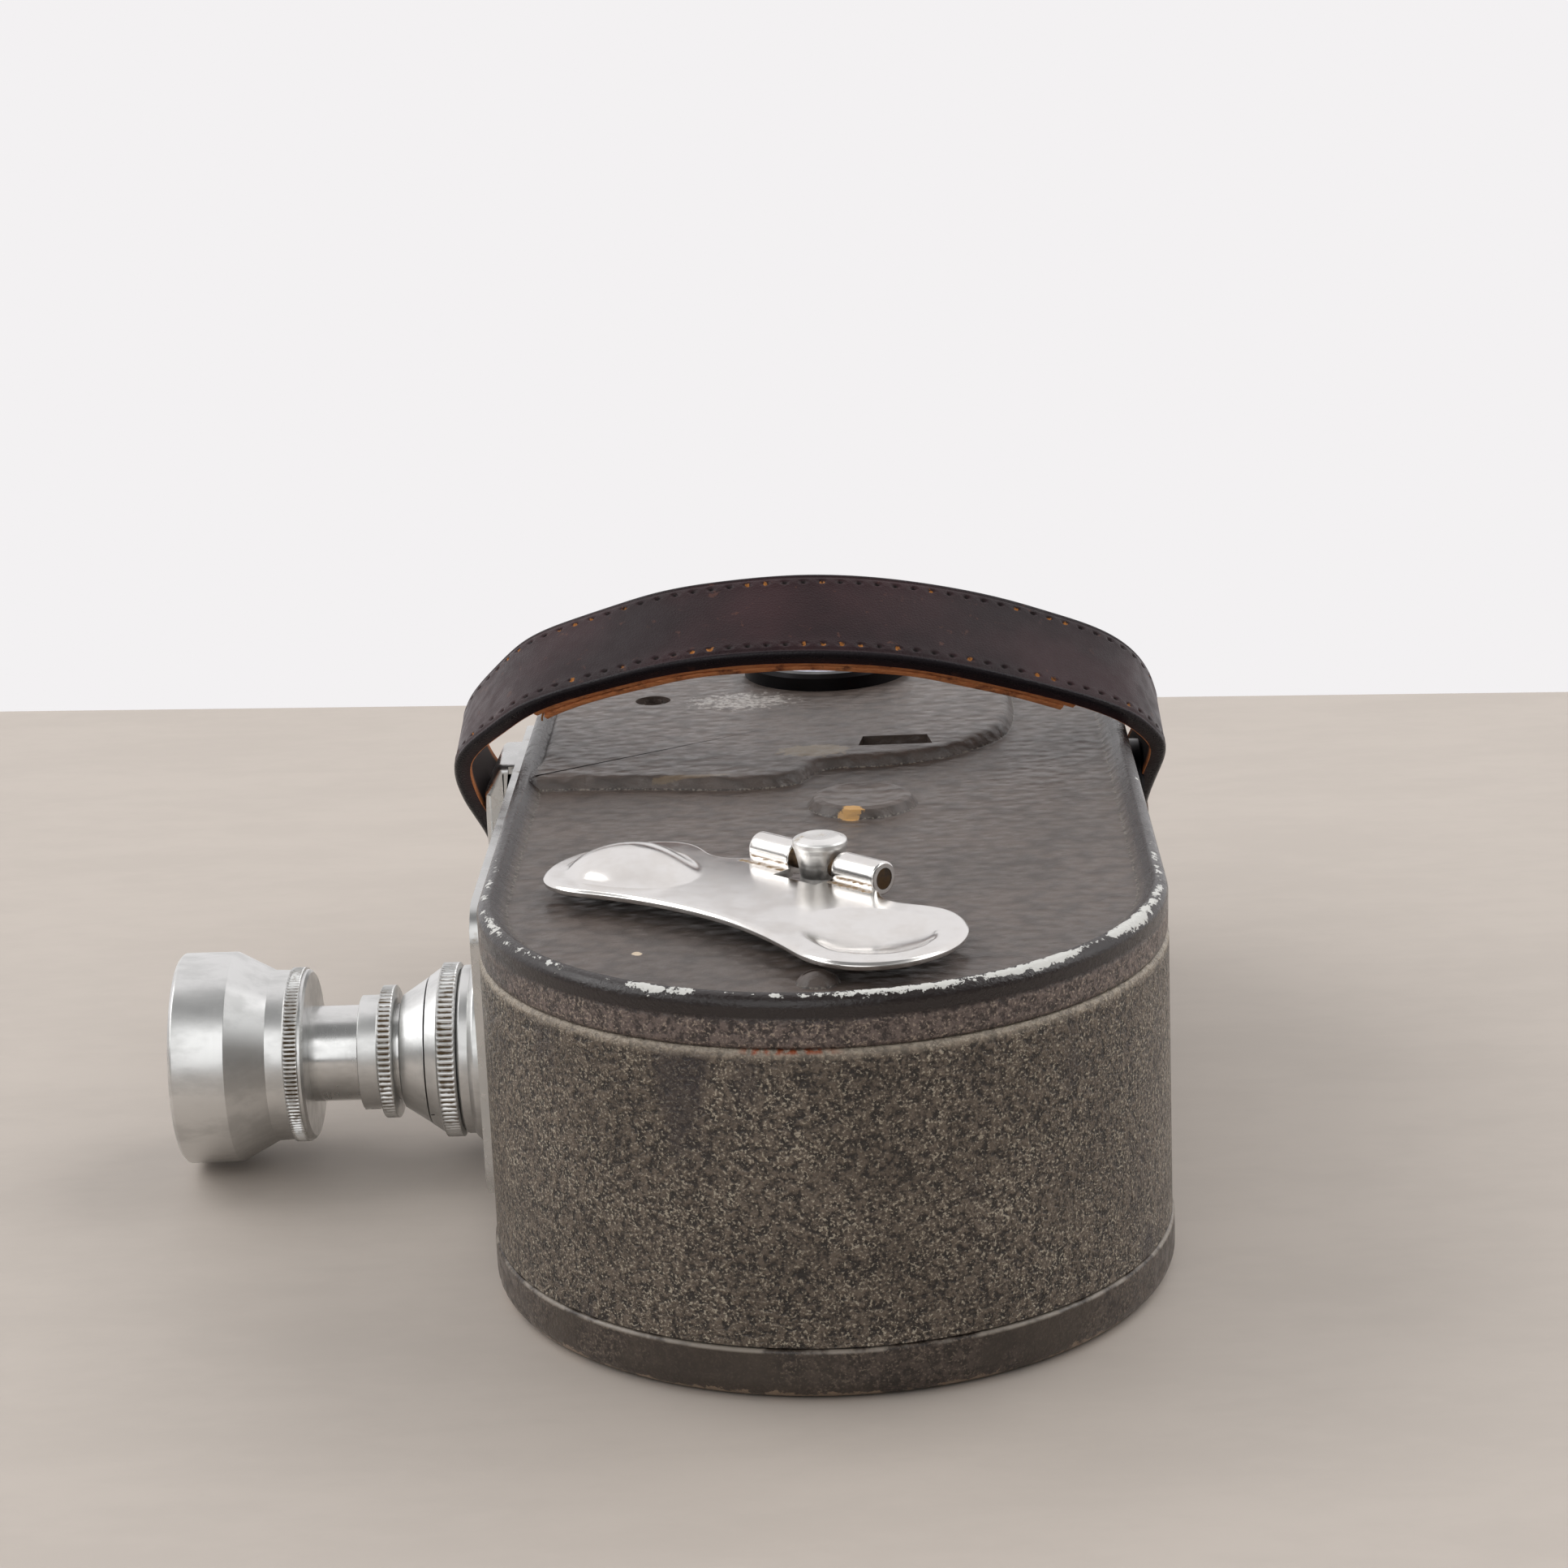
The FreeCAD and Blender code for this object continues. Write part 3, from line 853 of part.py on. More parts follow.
def run_button():
    """Push button on the front plate: cap, stem through the wall and a stop collar inside."""
    cap_back = FRONT + " + button_travel + button_clear"
    cap = cylinder("button_cap_disc", "button_radius", "button_cap", ("-(" + cap_back + ")", "button_y", "button_z"), "-X")
    start = "(body_radius - wall - button_inside)"
    stem = cylinder("button_stem_rod", "button_stem", cap_back + " - " + start, ("-" + start, "button_y", "button_z"), "-X")
    collar = cylinder("button_stop", "button_collar", "button_cap / 2",
                      ("-(body_radius - wall - button_clear - button_cap / 2)", "button_y", "button_z"), "-X")
    node(fuse("button", [cap, stem, collar]), "run_button")


def winding_key():
    """Folding wing key: hub on the winding arbor, hinge pin and the stamped plate with two lobes."""
    centre = ("0", "-arc_offset", "0")
    turn = Rotation(Vector(0, 0, 1), SIZE["key_turn"])
    foot = PANEL_UNDER + " - panel_thick / 2"
    hub = turned("hub", [
        ("0", foot), ("hub_neck_radius", foot), ("hub_neck_radius", PANEL_TOP + " + panel_thick"),
        ("hub_head_radius", "key_axis_z - barrel_radius"), ("hub_head_radius", "key_axis_z - barrel_radius / 2"),
        ("hub_waist_radius", "key_axis_z + barrel_radius / 4"),
        ("hub_head_radius", "key_axis_z + barrel_radius"), ("hub_head_radius", "hub_top - 3 * hub_gap"),
        ("hub_head_radius / 2", "hub_top"), ("0", "hub_top")], centre)
    eye = cylinder("hub_eye", "key_pin_radius", "4 * hub_head_radius",
                   ("-2 * hub_head_radius", "0", "key_axis_z"), "X")
    carrier = group("hub_eye_carrier", [eye])
    carrier.Placement = Placement(Vector(0, -SIZE["arc_offset"], 0), turn)
    carrier.setExpression(".Placement.Base.y", bound("-arc_offset"))
    node(cut("key_hub_drilled", hub, [carrier]), "key_hub")
    pin = group("key_pin_carrier", [cylinder("pin", "key_pin_radius", "2 * hinge_half - hub_gap",
                                             ("-hinge_half + hub_gap / 2", "0", "key_axis_z"), "X")])
    pin.Placement = Placement(Vector(0, -SIZE["arc_offset"], 0), turn)
    pin.setExpression(".Placement.Base.y", bound("-arc_offset"))
    node(pin, "key_pin")
    low = "key_axis_z - barrel_radius"
    away = "(key_waist - lobe_out)"
    scoop = "((lobe_along^2 + " + away + "^2 - lobe_radius^2) / (2 * (lobe_radius - " + away + ")))"
    touch = "(lobe_along - lobe_radius * lobe_along / (" + scoop + " + lobe_radius))"
    back = "(lobe_out - lobe_radius)"
    solids = []
    for side in (-1, 1):
        solids.append(cylinder("lobe_%d" % side, "lobe_radius", "key_thick", ("%d * lobe_along" % side, "-lobe_out", low)))
        start = "hub_head_radius + hub_gap" if side > 0 else "-hinge_half"
        solids.append(cylinder("hinge_barrel_%d" % side, "barrel_radius", "hinge_half - hub_head_radius - hub_gap",
                               (start, "0", "key_axis_z"), "X"))
    solids.append(box("key_bridge", ("2 * " + touch, "lobe_out", "key_thick"), ("-" + touch, "-lobe_out - lobe_radius", low)))
    solids.append(box("key_back", ("2 * lobe_along", "lobe_radius", "key_thick"), ("-lobe_along", "-lobe_out", low)))
    solids.append(box("key_tongue", ("2 * hinge_half", back, "key_thick"), ("-hinge_half", "-" + back, low)))
    solids.append(cylinder("dish_under", "dish_radius + key_thick / 2", "dish_depth", ("lobe_along", "-lobe_out", low + " - dish_depth")))
    ball = "((dish_radius^2 + dome_height^2) / (2 * dome_height))"
    dome = common("key_dome", [
        sphere("dome_ball_outer", ball, ("-lobe_along", "-lobe_out", low + " + key_thick + dome_height - " + ball)),
        cylinder("dome_limit", "dish_radius", "dome_height + key_thick / 2", ("-lobe_along", "-lobe_out", low + " + key_thick / 2"))])
    solids.append(dome)
    cup = "(((dish_radius)^2 + dish_depth^2) / (2 * dish_depth))"
    cuts = [
        cylinder("key_scoop", scoop, "4 * key_thick", ("0", "-key_waist - " + scoop, low + " - key_thick")),
        sphere("dish_ball", cup, ("lobe_along", "-lobe_out", low + " + key_thick - dish_depth + " + cup)),
        sphere("dome_ball_inner", ball, ("-lobe_along", "-lobe_out", low + " + dome_height - " + ball)),
        box("key_notch", ("2 * (hub_head_radius + hub_gap)", "notch_deep + barrel_radius", "4 * barrel_radius"),
            ("-(hub_head_radius + hub_gap)", "-notch_deep", "key_axis_z - 2 * barrel_radius")),
        cylinder("hinge_bore", "key_pin_radius + running_fit", "2 * hinge_half + 2",
                 ("-hinge_half - 1", "0", "key_axis_z"), "X"),
    ]
    wings = cut("key_wings", fuse("key_blank", solids), cuts)
    wings.Placement = Placement(Vector(0, -SIZE["arc_offset"], 0), turn)
    wings.setExpression(".Placement.Base.y", bound("-arc_offset"))
    node(wings, "key_plate")


def ratchet_profile():
    """Saw-tooth disc: each tooth has a radial face and slopes back to the next one's root."""
    teeth = int(SIZE["ratchet_teeth"])
    tip = SIZE["ratchet_radius"]
    root = tip - SIZE["ratchet_tooth"]
    corners = []
    for k in range(teeth):
        face = 2 * math.pi * k / teeth
        corners += [Vector(root * math.cos(face), root * math.sin(face), 0),
                    Vector(tip * math.cos(face), tip * math.sin(face), 0)]
    return Part.Face(Part.makePolygon(corners + [corners[0]]))


def spring_motor():
    """Winding arbor with its ratchet and pawl, the spring barrel with its great wheel, and the ribbon."""
    centre = ("0", "-arc_offset", "0")
    foot = PANEL_UNDER + " - panel_thick / 2"
    node(turned("arbor", [
        ("0", SHAFT_LOW), ("arbor_radius", SHAFT_LOW), ("arbor_radius", "motor_low + wheel_width + ribbon_gap"),
        ("arbor_drum", "motor_low + wheel_width + ribbon_gap"), ("arbor_drum", "motor_top - ribbon_gap"),
        ("arbor_radius", "motor_top - ribbon_gap"), ("arbor_radius", foot), ("0", foot)], centre), "winding_arbor")
    wheel = ratchet_profile().extrude(Vector(0, 0, SIZE["ratchet_thick"]))
    bore = Part.makeCylinder(SIZE["arbor_radius"], SIZE["ratchet_thick"])
    node(feature("ratchet", wheel.cut(bore), ("0", "-arc_offset", "ratchet_low")), "ratchet_wheel")
    node(feature("pawl", pawl_solid(), ("0", "-arc_offset", "ratchet_low")), "ratchet_pawl")
    teeth = gear(SIZE["wheel_teeth"], SIZE["gear_module"], SIZE["wheel_width"],
                 SIZE["arbor_radius"] + SIZE["running_fit"], first=drive_direction())
    drum_height = SIZE["motor_top"] - SIZE["motor_low"]
    drum = Part.makeCylinder(SIZE["motor_radius"], drum_height).cut(
        Part.makeCylinder(SIZE["motor_radius"] - SIZE["motor_wall"], drum_height))
    node(feature("motor_drum", teeth.fuse(drum), ("0", "-arc_offset", "motor_low")), "spring_barrel")
    lid = cylinder("lid_disc", "motor_radius", "lid_thick", ("0", "-arc_offset", "motor_top"))
    eye = cylinder("lid_eye", "arbor_radius + running_fit", "lid_thick", ("0", "-arc_offset", "motor_top"))
    node(cut("motor_lid", lid, [eye]), "barrel_lid")
    node(feature("ribbon", ribbon_solid(), ("0", "-arc_offset", "motor_low + wheel_width + ribbon_gap")), "mainspring")


def pawl_solid():
    """Flat pawl: round eye on the stud and an arm whose tip lies against a ratchet tooth's radial face."""
    root = SIZE["ratchet_radius"] - SIZE["ratchet_tooth"]
    gap, wide, thick = SIZE["pawl_gap"], SIZE["pawl_width"], SIZE["ratchet_thick"]
    step = 2 * math.pi / SIZE["ratchet_teeth"]
    pivot = Vector(SIZE["pawl_x"], SIZE["pawl_y"], 0)
    clear = SIZE["ratchet_radius"] + 3 * gap
    tip = Vector(root + 2 * gap, -gap, 0)
    heel = Vector(clear * math.cos(step / 2), -clear * math.sin(step / 2), 0)
    arm = Part.Face(Part.makePolygon([tip, heel, heel + Vector(wide / 2, 0, 0), pivot + Vector(wide / 2, 0, 0),
                                      pivot - Vector(wide / 2, 0, 0), Vector(clear + gap, wide, 0),
                                      Vector(clear, -gap, 0), tip]))
    solid = arm.extrude(Vector(0, 0, thick)).fuse(Part.makeCylinder(wide / 2 + gap, thick, pivot))
    return solid.cut(Part.makeCylinder(SIZE["pawl_pin_radius"] + SIZE["running_fit"], thick, pivot))


def ribbon_solid():
    """Mainspring: an evenly wound ribbon from near the arbor's drum to near the barrel's wall."""
    inner = SIZE["arbor_drum"] + SIZE["ribbon_gap"]
    outer = SIZE["motor_radius"] - SIZE["motor_wall"] - SIZE["ribbon_gap"] - SIZE["ribbon_thick"]
    tall = SIZE["motor_top"] - SIZE["motor_low"] - SIZE["wheel_width"] - 2 * SIZE["ribbon_gap"]
    turns, per_turn = int(SIZE["ribbon_turns"]), 12
    sides = []
    for offset in (0.0, SIZE["ribbon_thick"]):
        points = []
        for i in range(turns * per_turn + 1):
            angle = 2 * math.pi * i / per_turn
            radius = inner + (outer - inner) * i / (turns * per_turn) + offset
            points.append(Vector(radius * math.cos(angle), radius * math.sin(angle), 0))
        curve = Part.BSplineCurve()
        curve.interpolate(points)
        sides.append((curve.toShape(), points))
    (inside, low), (outside, high) = sides
    ends = [Part.makeLine(low[0], high[0]), Part.makeLine(low[-1], high[-1])]
    face = Part.Face(Part.Wire(Part.__sortEdges__([inside, outside] + ends)))
    return face.extrude(Vector(0, 0, tall))


def drive_direction():
    """Angle from the motor's axis to the sprocket shaft's axis."""
    reach = SIZE["gear_module"] * (SIZE["wheel_teeth"] + SIZE["pinion_teeth"]) / 2
    return math.pi - math.acos(SIZE["sprocket_x"] / reach)


def small_direction():
    """Angle from the sprocket shaft's axis to the crown wheel's axis, which lies over the shutter shaft."""
    reach = SIZE["fine_module"] * (SIZE["drive_teeth"] + SIZE["small_teeth"]) / 2
    return math.pi + math.asin((SIZE["lens_y"] + SIZE["sprocket_y"]) / reach)


def grooved(name, low, bore, at):
    """Pulley with a square groove for the round belt."""
    floor = "belt_line - belt_radius - belt_gap"
    groove_low = low + " + pulley_width / 2 - belt_radius - belt_gap"
    groove_top = low + " + pulley_width / 2 + belt_radius + belt_gap"
    return turned(name, [
        (bore, low), ("pulley_radius", low), ("pulley_radius", groove_low), (floor, groove_low), (floor, groove_top),
        ("pulley_radius", groove_top), ("pulley_radius", low + " + pulley_width"), (bore, low + " + pulley_width")], at)


def film_drive():
    """Sprocket shaft with its pinion, gear, belt pulley and the toothed film sprocket."""
    at = ("-sprocket_x", "sprocket_y", "0")
    film_low = "lens_z - film_width / 2"
    node(cylinder("drive_shaft", "shaft_radius", "small_shaft_top - (" + film_low + ")",
                  ("-sprocket_x", "sprocket_y", film_low)), "sprocket_shaft")
    facing = drive_direction() + math.pi + math.pi / SIZE["pinion_teeth"]
    node(feature("pinion", gear(SIZE["pinion_teeth"], SIZE["gear_module"], SIZE["pinion_width"], SIZE["shaft_radius"],
                                first=facing), ("-sprocket_x", "sprocket_y", "motor_low")), "drive_pinion")
    node(feature("second_wheel", gear(SIZE["drive_teeth"], SIZE["fine_module"], SIZE["drive_gear_width"],
                                      SIZE["shaft_radius"], first=small_direction()),
                 ("-sprocket_x", "sprocket_y", "drive_gear_low")), "drive_gear")
    node(grooved("shaft_pulley", "pulley_low", "shaft_radius", at), "drive_pulley")
    core = Part.makeCylinder(SIZE["sprocket_core"], SIZE["film_width"])
    solids = []
    for low in (0.0, SIZE["film_width"] - SIZE["sprocket_rim"]):
        solids.append(Part.makeCylinder(SIZE["sprocket_radius"], SIZE["sprocket_rim"], Vector(0, 0, low)))
        for k in range(int(SIZE["sprocket_teeth"])):
            tooth = Part.makeBox(SIZE["sprocket_tooth"] + SIZE["sprocket_rim"], SIZE["sprocket_tooth"],
                                 SIZE["sprocket_tooth"])
            tooth.translate(Vector(SIZE["sprocket_radius"] - SIZE["sprocket_rim"], -SIZE["sprocket_tooth"] / 2,
                                   low + (SIZE["sprocket_rim"] - SIZE["sprocket_tooth"]) / 2))
            tooth.rotate(Vector(), Vector(0, 0, 1), 360.0 * k / int(SIZE["sprocket_teeth"]))
            solids.append(tooth)
    wheel = core.multiFuse(solids).cut(Part.makeCylinder(SIZE["shaft_radius"], SIZE["film_width"]))
    node(feature("sprocket", wheel, ("-sprocket_x", "sprocket_y", film_low)), "film_sprocket")
    node(feature("belt", belt_solid(), ("-sprocket_x", "sprocket_y", "pulley_low + pulley_width / 2"),
                 Rotation(Vector(0, 1, 0), belt_run())), "take_up_belt")


def belt_run():
    """Straight line from the sprocket shaft's axis to the take-up spindle's axis."""
    return Vector(SIZE["sprocket_x"], SIZE["arc_offset"] - SIZE["sprocket_y"], 0)


def belt_solid():
    """Round belt: a tube along two half circles and the two straight runs between them."""
    line, run = SIZE["belt_line"], belt_run().Length
    rods = [Part.makeCylinder(SIZE["belt_radius"], run, Vector(side * line, 0, 0), Vector(0, 1, 0)) for side in (-1, 1)]
    bends = [Part.makeTorus(line, SIZE["belt_radius"], Vector(0, y, 0), Vector(0, 0, 1), -180, 180, 180)
             for y in (0.0, run)]
    bends[0].rotate(Vector(0, 0, 0), Vector(0, 0, 1), 180)
    return rods[0].multiFuse([rods[1]] + bends)


def shutter_drive():
    """Crown shaft, crown wheel, shutter shaft in its two bearings and the disc shutter."""
    shaft = Part.makeCylinder(SIZE["small_shaft_radius"], SIZE["small_shaft_top"] - SIZE["partition_low"] - SIZE["shaft_foot"],
                              Vector(0, 0, SIZE["partition_low"] + SIZE["shaft_foot"]))
    facing = small_direction() + math.pi + math.pi / SIZE["small_teeth"]
    pinion = gear(SIZE["small_teeth"], SIZE["fine_module"], SIZE["small_width"], 0.0, first=facing)
    pinion.translate(Vector(0, 0, SIZE["drive_gear_low"] - SIZE["shaft_foot"]))
    node(feature("crown_rod", shaft.fuse(pinion), (CROWN_X, "-lens_y", "0")), "crown_shaft")
    node(feature("crown", crown_solid(), (CROWN_X, "-lens_y", "shutter_z")), "crown_wheel")
    at = ("-shutter_pinion_x", "-lens_y", "shutter_z")
    small = gear(SIZE["small_teeth"], SIZE["fine_module"], SIZE["shutter_pinion_width"], 0.0,
                 first=math.pi / SIZE["small_teeth"])
    small.translate(Vector(0, 0, -SIZE["shutter_pinion_width"] / 2))
    ahead = SIZE["body_radius"] - SIZE["wall"] - SIZE["shaft_foot"] - SIZE["shutter_pinion_x"]
    behind = SIZE["shutter_pinion_x"] - SIZE["gate_x"] + SIZE["shaft_foot"]
    rod = small.fuse(Part.makeCylinder(SIZE["shutter_shaft_radius"], ahead + behind, Vector(0, 0, -behind)))
    node(feature("shutter_rod", rod, at, TURN["-X"]), "shutter_shaft")
    blade = cylinder("shutter_blade", "shutter_radius", "shutter_thick", ("-shutter_x", "-lens_y", "shutter_z"), "-X")
    blade.setExpression("Angle", bound("360 - shutter_open"))
    hub = cylinder("shutter_hub", "2 * shutter_shaft_radius", "2 * shutter_thick",
                   ("-shutter_x", "-lens_y", "shutter_z"), "-X")
    eye = cylinder("shutter_eye", "shutter_shaft_radius", "4 * shutter_thick",
                   ("-shutter_x + shutter_thick", "-lens_y", "shutter_z"), "-X")
    node(cut("shutter", fuse("shutter_blank", [blade, hub]), [eye]), "shutter_disc")
    wall_bush = cylinder("front_bearing", "2.4 * shutter_shaft_radius", "wall - shaft_foot",
                         ("-" + INNER, "-lens_y", "shutter_z"), "X")
    lug_low, lug_wide = PLATE_TOP, "4.8 * shutter_shaft_radius"
    lug = box("rear_bearing", ("claw_thick", lug_wide, "shutter_z + 1.9 * shutter_shaft_radius - " + PLATE_TOP),
              ("-(gate_x + ring_gap + claw_thick / 2)", "-lens_y - " + lug_wide + " / 2", lug_low))
    tunnel = [cylinder("bearing_bore_%d" % i, "shutter_shaft_radius + running_fit", INNER,
                       ("-" + INNER + " - 1", "-lens_y", "shutter_z"), "X") for i in range(2)]
    node(group("shutter_bearing_set", [cut("front_bush", wall_bush, [tunnel[0]]),
                                       cut("rear_lug", lug, [tunnel[1]])]), "shutter_bearings")


def crown_solid():
    """Crown wheel: a disc above the shutter pinion with square teeth pointing down into it."""
    pitch = SIZE["fine_module"] * SIZE["crown_teeth"] / 2
    tip = SIZE["fine_module"] * SIZE["small_teeth"] / 2 + 0.92 * SIZE["fine_module"]
    under = tip + SIZE["ring_gap"]
    outer = pitch + SIZE["crown_face"] / 2
    inner = pitch - SIZE["crown_face"] / 2
    disc_solid = Part.makeCylinder(outer, SIZE["crown_disc"], Vector(0, 0, under))
    teeth = []
    wide = math.pi * SIZE["fine_module"] / 4.2
    for k in range(int(SIZE["crown_teeth"])):
        tooth = Part.makeBox(outer - inner - SIZE["ring_gap"], wide, SIZE["crown_depth"] + 0.2)
        tooth.translate(Vector(inner, -wide / 2, under - SIZE["crown_depth"]))
        tooth.rotate(Vector(), Vector(0, 0, 1), 360.0 * k / int(SIZE["crown_teeth"]))
        teeth.append(tooth)
    bore = Part.makeCylinder(SIZE["small_shaft_radius"], SIZE["crown_disc"], Vector(0, 0, under))
    return disc_solid.multiFuse(teeth).cut(bore)


def governor():
    """Speed governor: pinion shaft and a cross bar with two weights."""
    low = SIZE["partition_low"] + SIZE["shaft_foot"]
    shaft = Part.makeCylinder(SIZE["small_shaft_radius"], SIZE["governor_top"] - low, Vector(0, 0, low))
    facing = math.radians(SIZE["governor_angle"]) + math.pi
    centre_gap = small_direction() - math.radians(SIZE["governor_angle"])
    tooth_angle = 2 * math.pi / SIZE["drive_teeth"]
    slip = (centre_gap % tooth_angle) * SIZE["drive_teeth"] / SIZE["small_teeth"]
    pinion = gear(SIZE["small_teeth"], SIZE["fine_module"], SIZE["small_width"], 0.0,
                  first=facing + math.pi / SIZE["small_teeth"] - slip)
    pinion.translate(Vector(0, 0, SIZE["drive_gear_low"] - SIZE["shaft_foot"]))
    node(feature("governor_rod", shaft.fuse(pinion), (GOVERNOR_X, GOVERNOR_Y, "0")), "governor_shaft")
    mid = "(drive_gear_low + small_width + governor_top) / 2"
    bar = box("governor_bar", ("2 * weight_reach", "weight_size / 2", "weight_size / 2"),
              (GOVERNOR_X + " - weight_reach", GOVERNOR_Y + " - weight_size / 4", mid + " - weight_size / 4"))
    bobs = [cylinder("governor_%s_bob" % side, "weight_size / 2", "0.8 * weight_size",
                     (GOVERNOR_X + " " + sign + " (weight_reach - weight_size / 4)", GOVERNOR_Y,
                      mid + " - 0.4 * weight_size")) for side, sign in (("left", "-"), ("right", "+"))]
    hub = cylinder("governor_hub", "weight_size / 2 + running_fit", "weight_size", (GOVERNOR_X, GOVERNOR_Y, mid + " - weight_size / 2"))
    eye = cylinder("governor_eye", "small_shaft_radius", "governor_top", (GOVERNOR_X, GOVERNOR_Y, "0"))
    node(cut("governor_bob", fuse("governor_blank", [bar, hub] + bobs), [eye]), "governor_weights")


def film_gate():
    """Aperture plate with guide pins, sprung pressure plate and the pull-down claw."""
    back = "-(gate_x + gate_thick)"
    blank = box("gate_blank", ("gate_thick", "2 * gate_half", "partition_low - gate_low"),
                (back, "-lens_y - gate_half", "gate_low"))
    frame = box("gate_frame", ("2 * gate_thick", "frame_high", "frame_wide"),
                (back + " - gate_thick / 2", "-lens_y - frame_high / 2", "lens_z - frame_wide / 2"))
    slot = box("claw_slot", ("2 * gate_thick", "claw_stroke + 2 * claw_thick", "2 * claw_thick"),
               (back + " - gate_thick / 2", "-lens_y - claw_offset - claw_thick", "claw_z - claw_thick / 2"))
    pins = [cylinder("guide_pin_%d" % side, "guide_pin_radius", "guide_pin_length + gate_thick / 2",
                     ("-(gate_x + gate_thick / 2)", "-lens_y + %d * guide_offset" % side, "guide_z"), "X") for side in (-1, 1)]
    node(fuse("gate", [cut("gate_cut", blank, [frame, slot])] + pins), "film_gate")
    face = "-(gate_x - pressure_gap)"
    shoe = box("pressure_blank", ("pressure_thick", "2 * pressure_half", "film_width"),
               (face, "-lens_y - pressure_half", "lens_z - film_width / 2"))
    eyes = [cylinder("guide_eye_%d" % side, "guide_pin_radius + running_fit", "2 * guide_pin_length",
                     ("-(gate_x + gate_thick / 2)", "-lens_y + %d * guide_offset" % side, "guide_z"), "X") for side in (-1, 1)]
    relief = box("claw_relief", ("3 * pressure_thick", "pressure_half", "3 * claw_thick"),
                 (face + " - pressure_thick", "-lens_y - claw_offset - claw_thick", "claw_z - claw_thick"))
    node(cut("pressure", shoe, eyes + [relief]), "pressure_plate")
    arm_x = "-(gate_x + gate_thick + claw_gap + claw_thick)"
    arm_y = "-lens_y - claw_offset - claw_thick / 2"
    arm = box("claw_arm", ("claw_thick", "claw_thick", "claw_top - claw_z"), (arm_x, arm_y, "claw_z"))
    tip = box("claw_tip", ("2 * claw_thick + claw_gap + gate_thick - pressure_gap", "claw_thick", "claw_thick"),
              (arm_x, arm_y, "claw_z"))
    node(fuse("claw", [arm, tip]), "film_claw")


def spools():
    """Supply spool on its fixed spindle and take-up spool on its driven spindle."""
    low = "lens_z - spool_width / 2"
    high = "lens_z + spool_width / 2"
    bore = "spindle_radius + running_fit"
    profile = [
        (bore, low), ("spool_radius", low), ("spool_radius", low + " + spool_flange"), ("spool_core", low + " + spool_flange"),
        ("spool_core", high + " - spool_flange"), ("spool_radius", high + " - spool_flange"), ("spool_radius", high), (bore, high)]
    node(turned("supply_reel", profile, ("0", "-arc_offset", "0")), "supply_spool")
    node(turned("take_up_reel", profile, ("0", "arc_offset", "0")), "take_up_spool")
    tip = low + " + spool_flange / 2"
    shoulder = high + " + ring_gap"
    node(turned("supply_stud", [
        ("0", tip), ("spindle_radius", tip), ("spindle_radius", shoulder), ("spindle_flange", shoulder),
        ("spindle_flange", "partition_low"), ("0", "partition_low")], ("0", "-arc_offset", "0")), "supply_spindle")
    floor = "belt_line - belt_radius - belt_gap"
    groove_low = "pulley_low + pulley_width / 2 - belt_radius - belt_gap"
    groove_top = "pulley_low + pulley_width / 2 + belt_radius + belt_gap"
    node(turned("take_up_rod", [
        ("0", tip), ("spindle_radius", tip), ("spindle_radius", "partition_low - ring_gap"),
        ("spindle_neck", "partition_low - ring_gap"), ("spindle_neck", "pulley_low"), ("pulley_radius", "pulley_low"),
        ("pulley_radius", groove_low), (floor, groove_low), (floor, groove_top), ("pulley_radius", groove_top),
        ("pulley_radius", "pulley_low + pulley_width"), ("0", "pulley_low + pulley_width")],
        ("0", "arc_offset", "0")), "take_up_spindle")


def counter_and_scale():
    """Footage counter under its glass, and the speed scale that shows through the cover's slot."""
    at = ("0", "counter_y", PLATEAU_TOP)
    node(turned("bezel", [
        ("bezel_radius - bezel_width", "0"), ("bezel_radius", "0"), ("bezel_radius", "bezel_height - 2 * glass_drop"),
        ("bezel_radius - glass_drop", "bezel_height"), ("bezel_radius - bezel_width", "bezel_height")], at), "counter_bezel")
    inner = "bezel_radius - bezel_width"
    node(cut("dial", cylinder("dial_disc", inner, "dial_thick", at),
             [cylinder("dial_eye", "hand_radius + running_fit", "dial_thick", at)]), "counter_dial")
    node(cylinder("watch_glass", inner, "glass_thick",
                  ("0", "counter_y", PLATEAU_TOP + " + bezel_height - glass_drop - glass_thick")), "counter_glass")
    level = PLATEAU_TOP + " + dial_thick + hand_thick"
    stem = cylinder("hand_stem", "hand_radius", level + " + hand_thick - " + PANEL_UNDER + " + scale_drop",
                    ("0", "counter_y", PANEL_UNDER + " - scale_drop"))
    pointer = box("hand_pointer", ("hand_width", "(" + inner + ") * 1.1", "hand_thick"),
                  ("-hand_width / 2", "counter_y - (" + inner + ") * 0.25", level))
    node(fuse("hand", [stem, pointer]), "counter_hand")
    node(turned("scale_disc", [
        ("0", SHAFT_LOW), ("scale_shaft", SHAFT_LOW), ("scale_shaft", PANEL_UNDER + " - scale_drop - scale_thick"),
        ("scale_radius", PANEL_UNDER + " - scale_drop - scale_thick"), ("scale_radius", PANEL_UNDER + " - scale_drop"),
        ("0", PANEL_UNDER + " - scale_drop")], ("scale_x", "scale_y", "0")), "speed_scale")


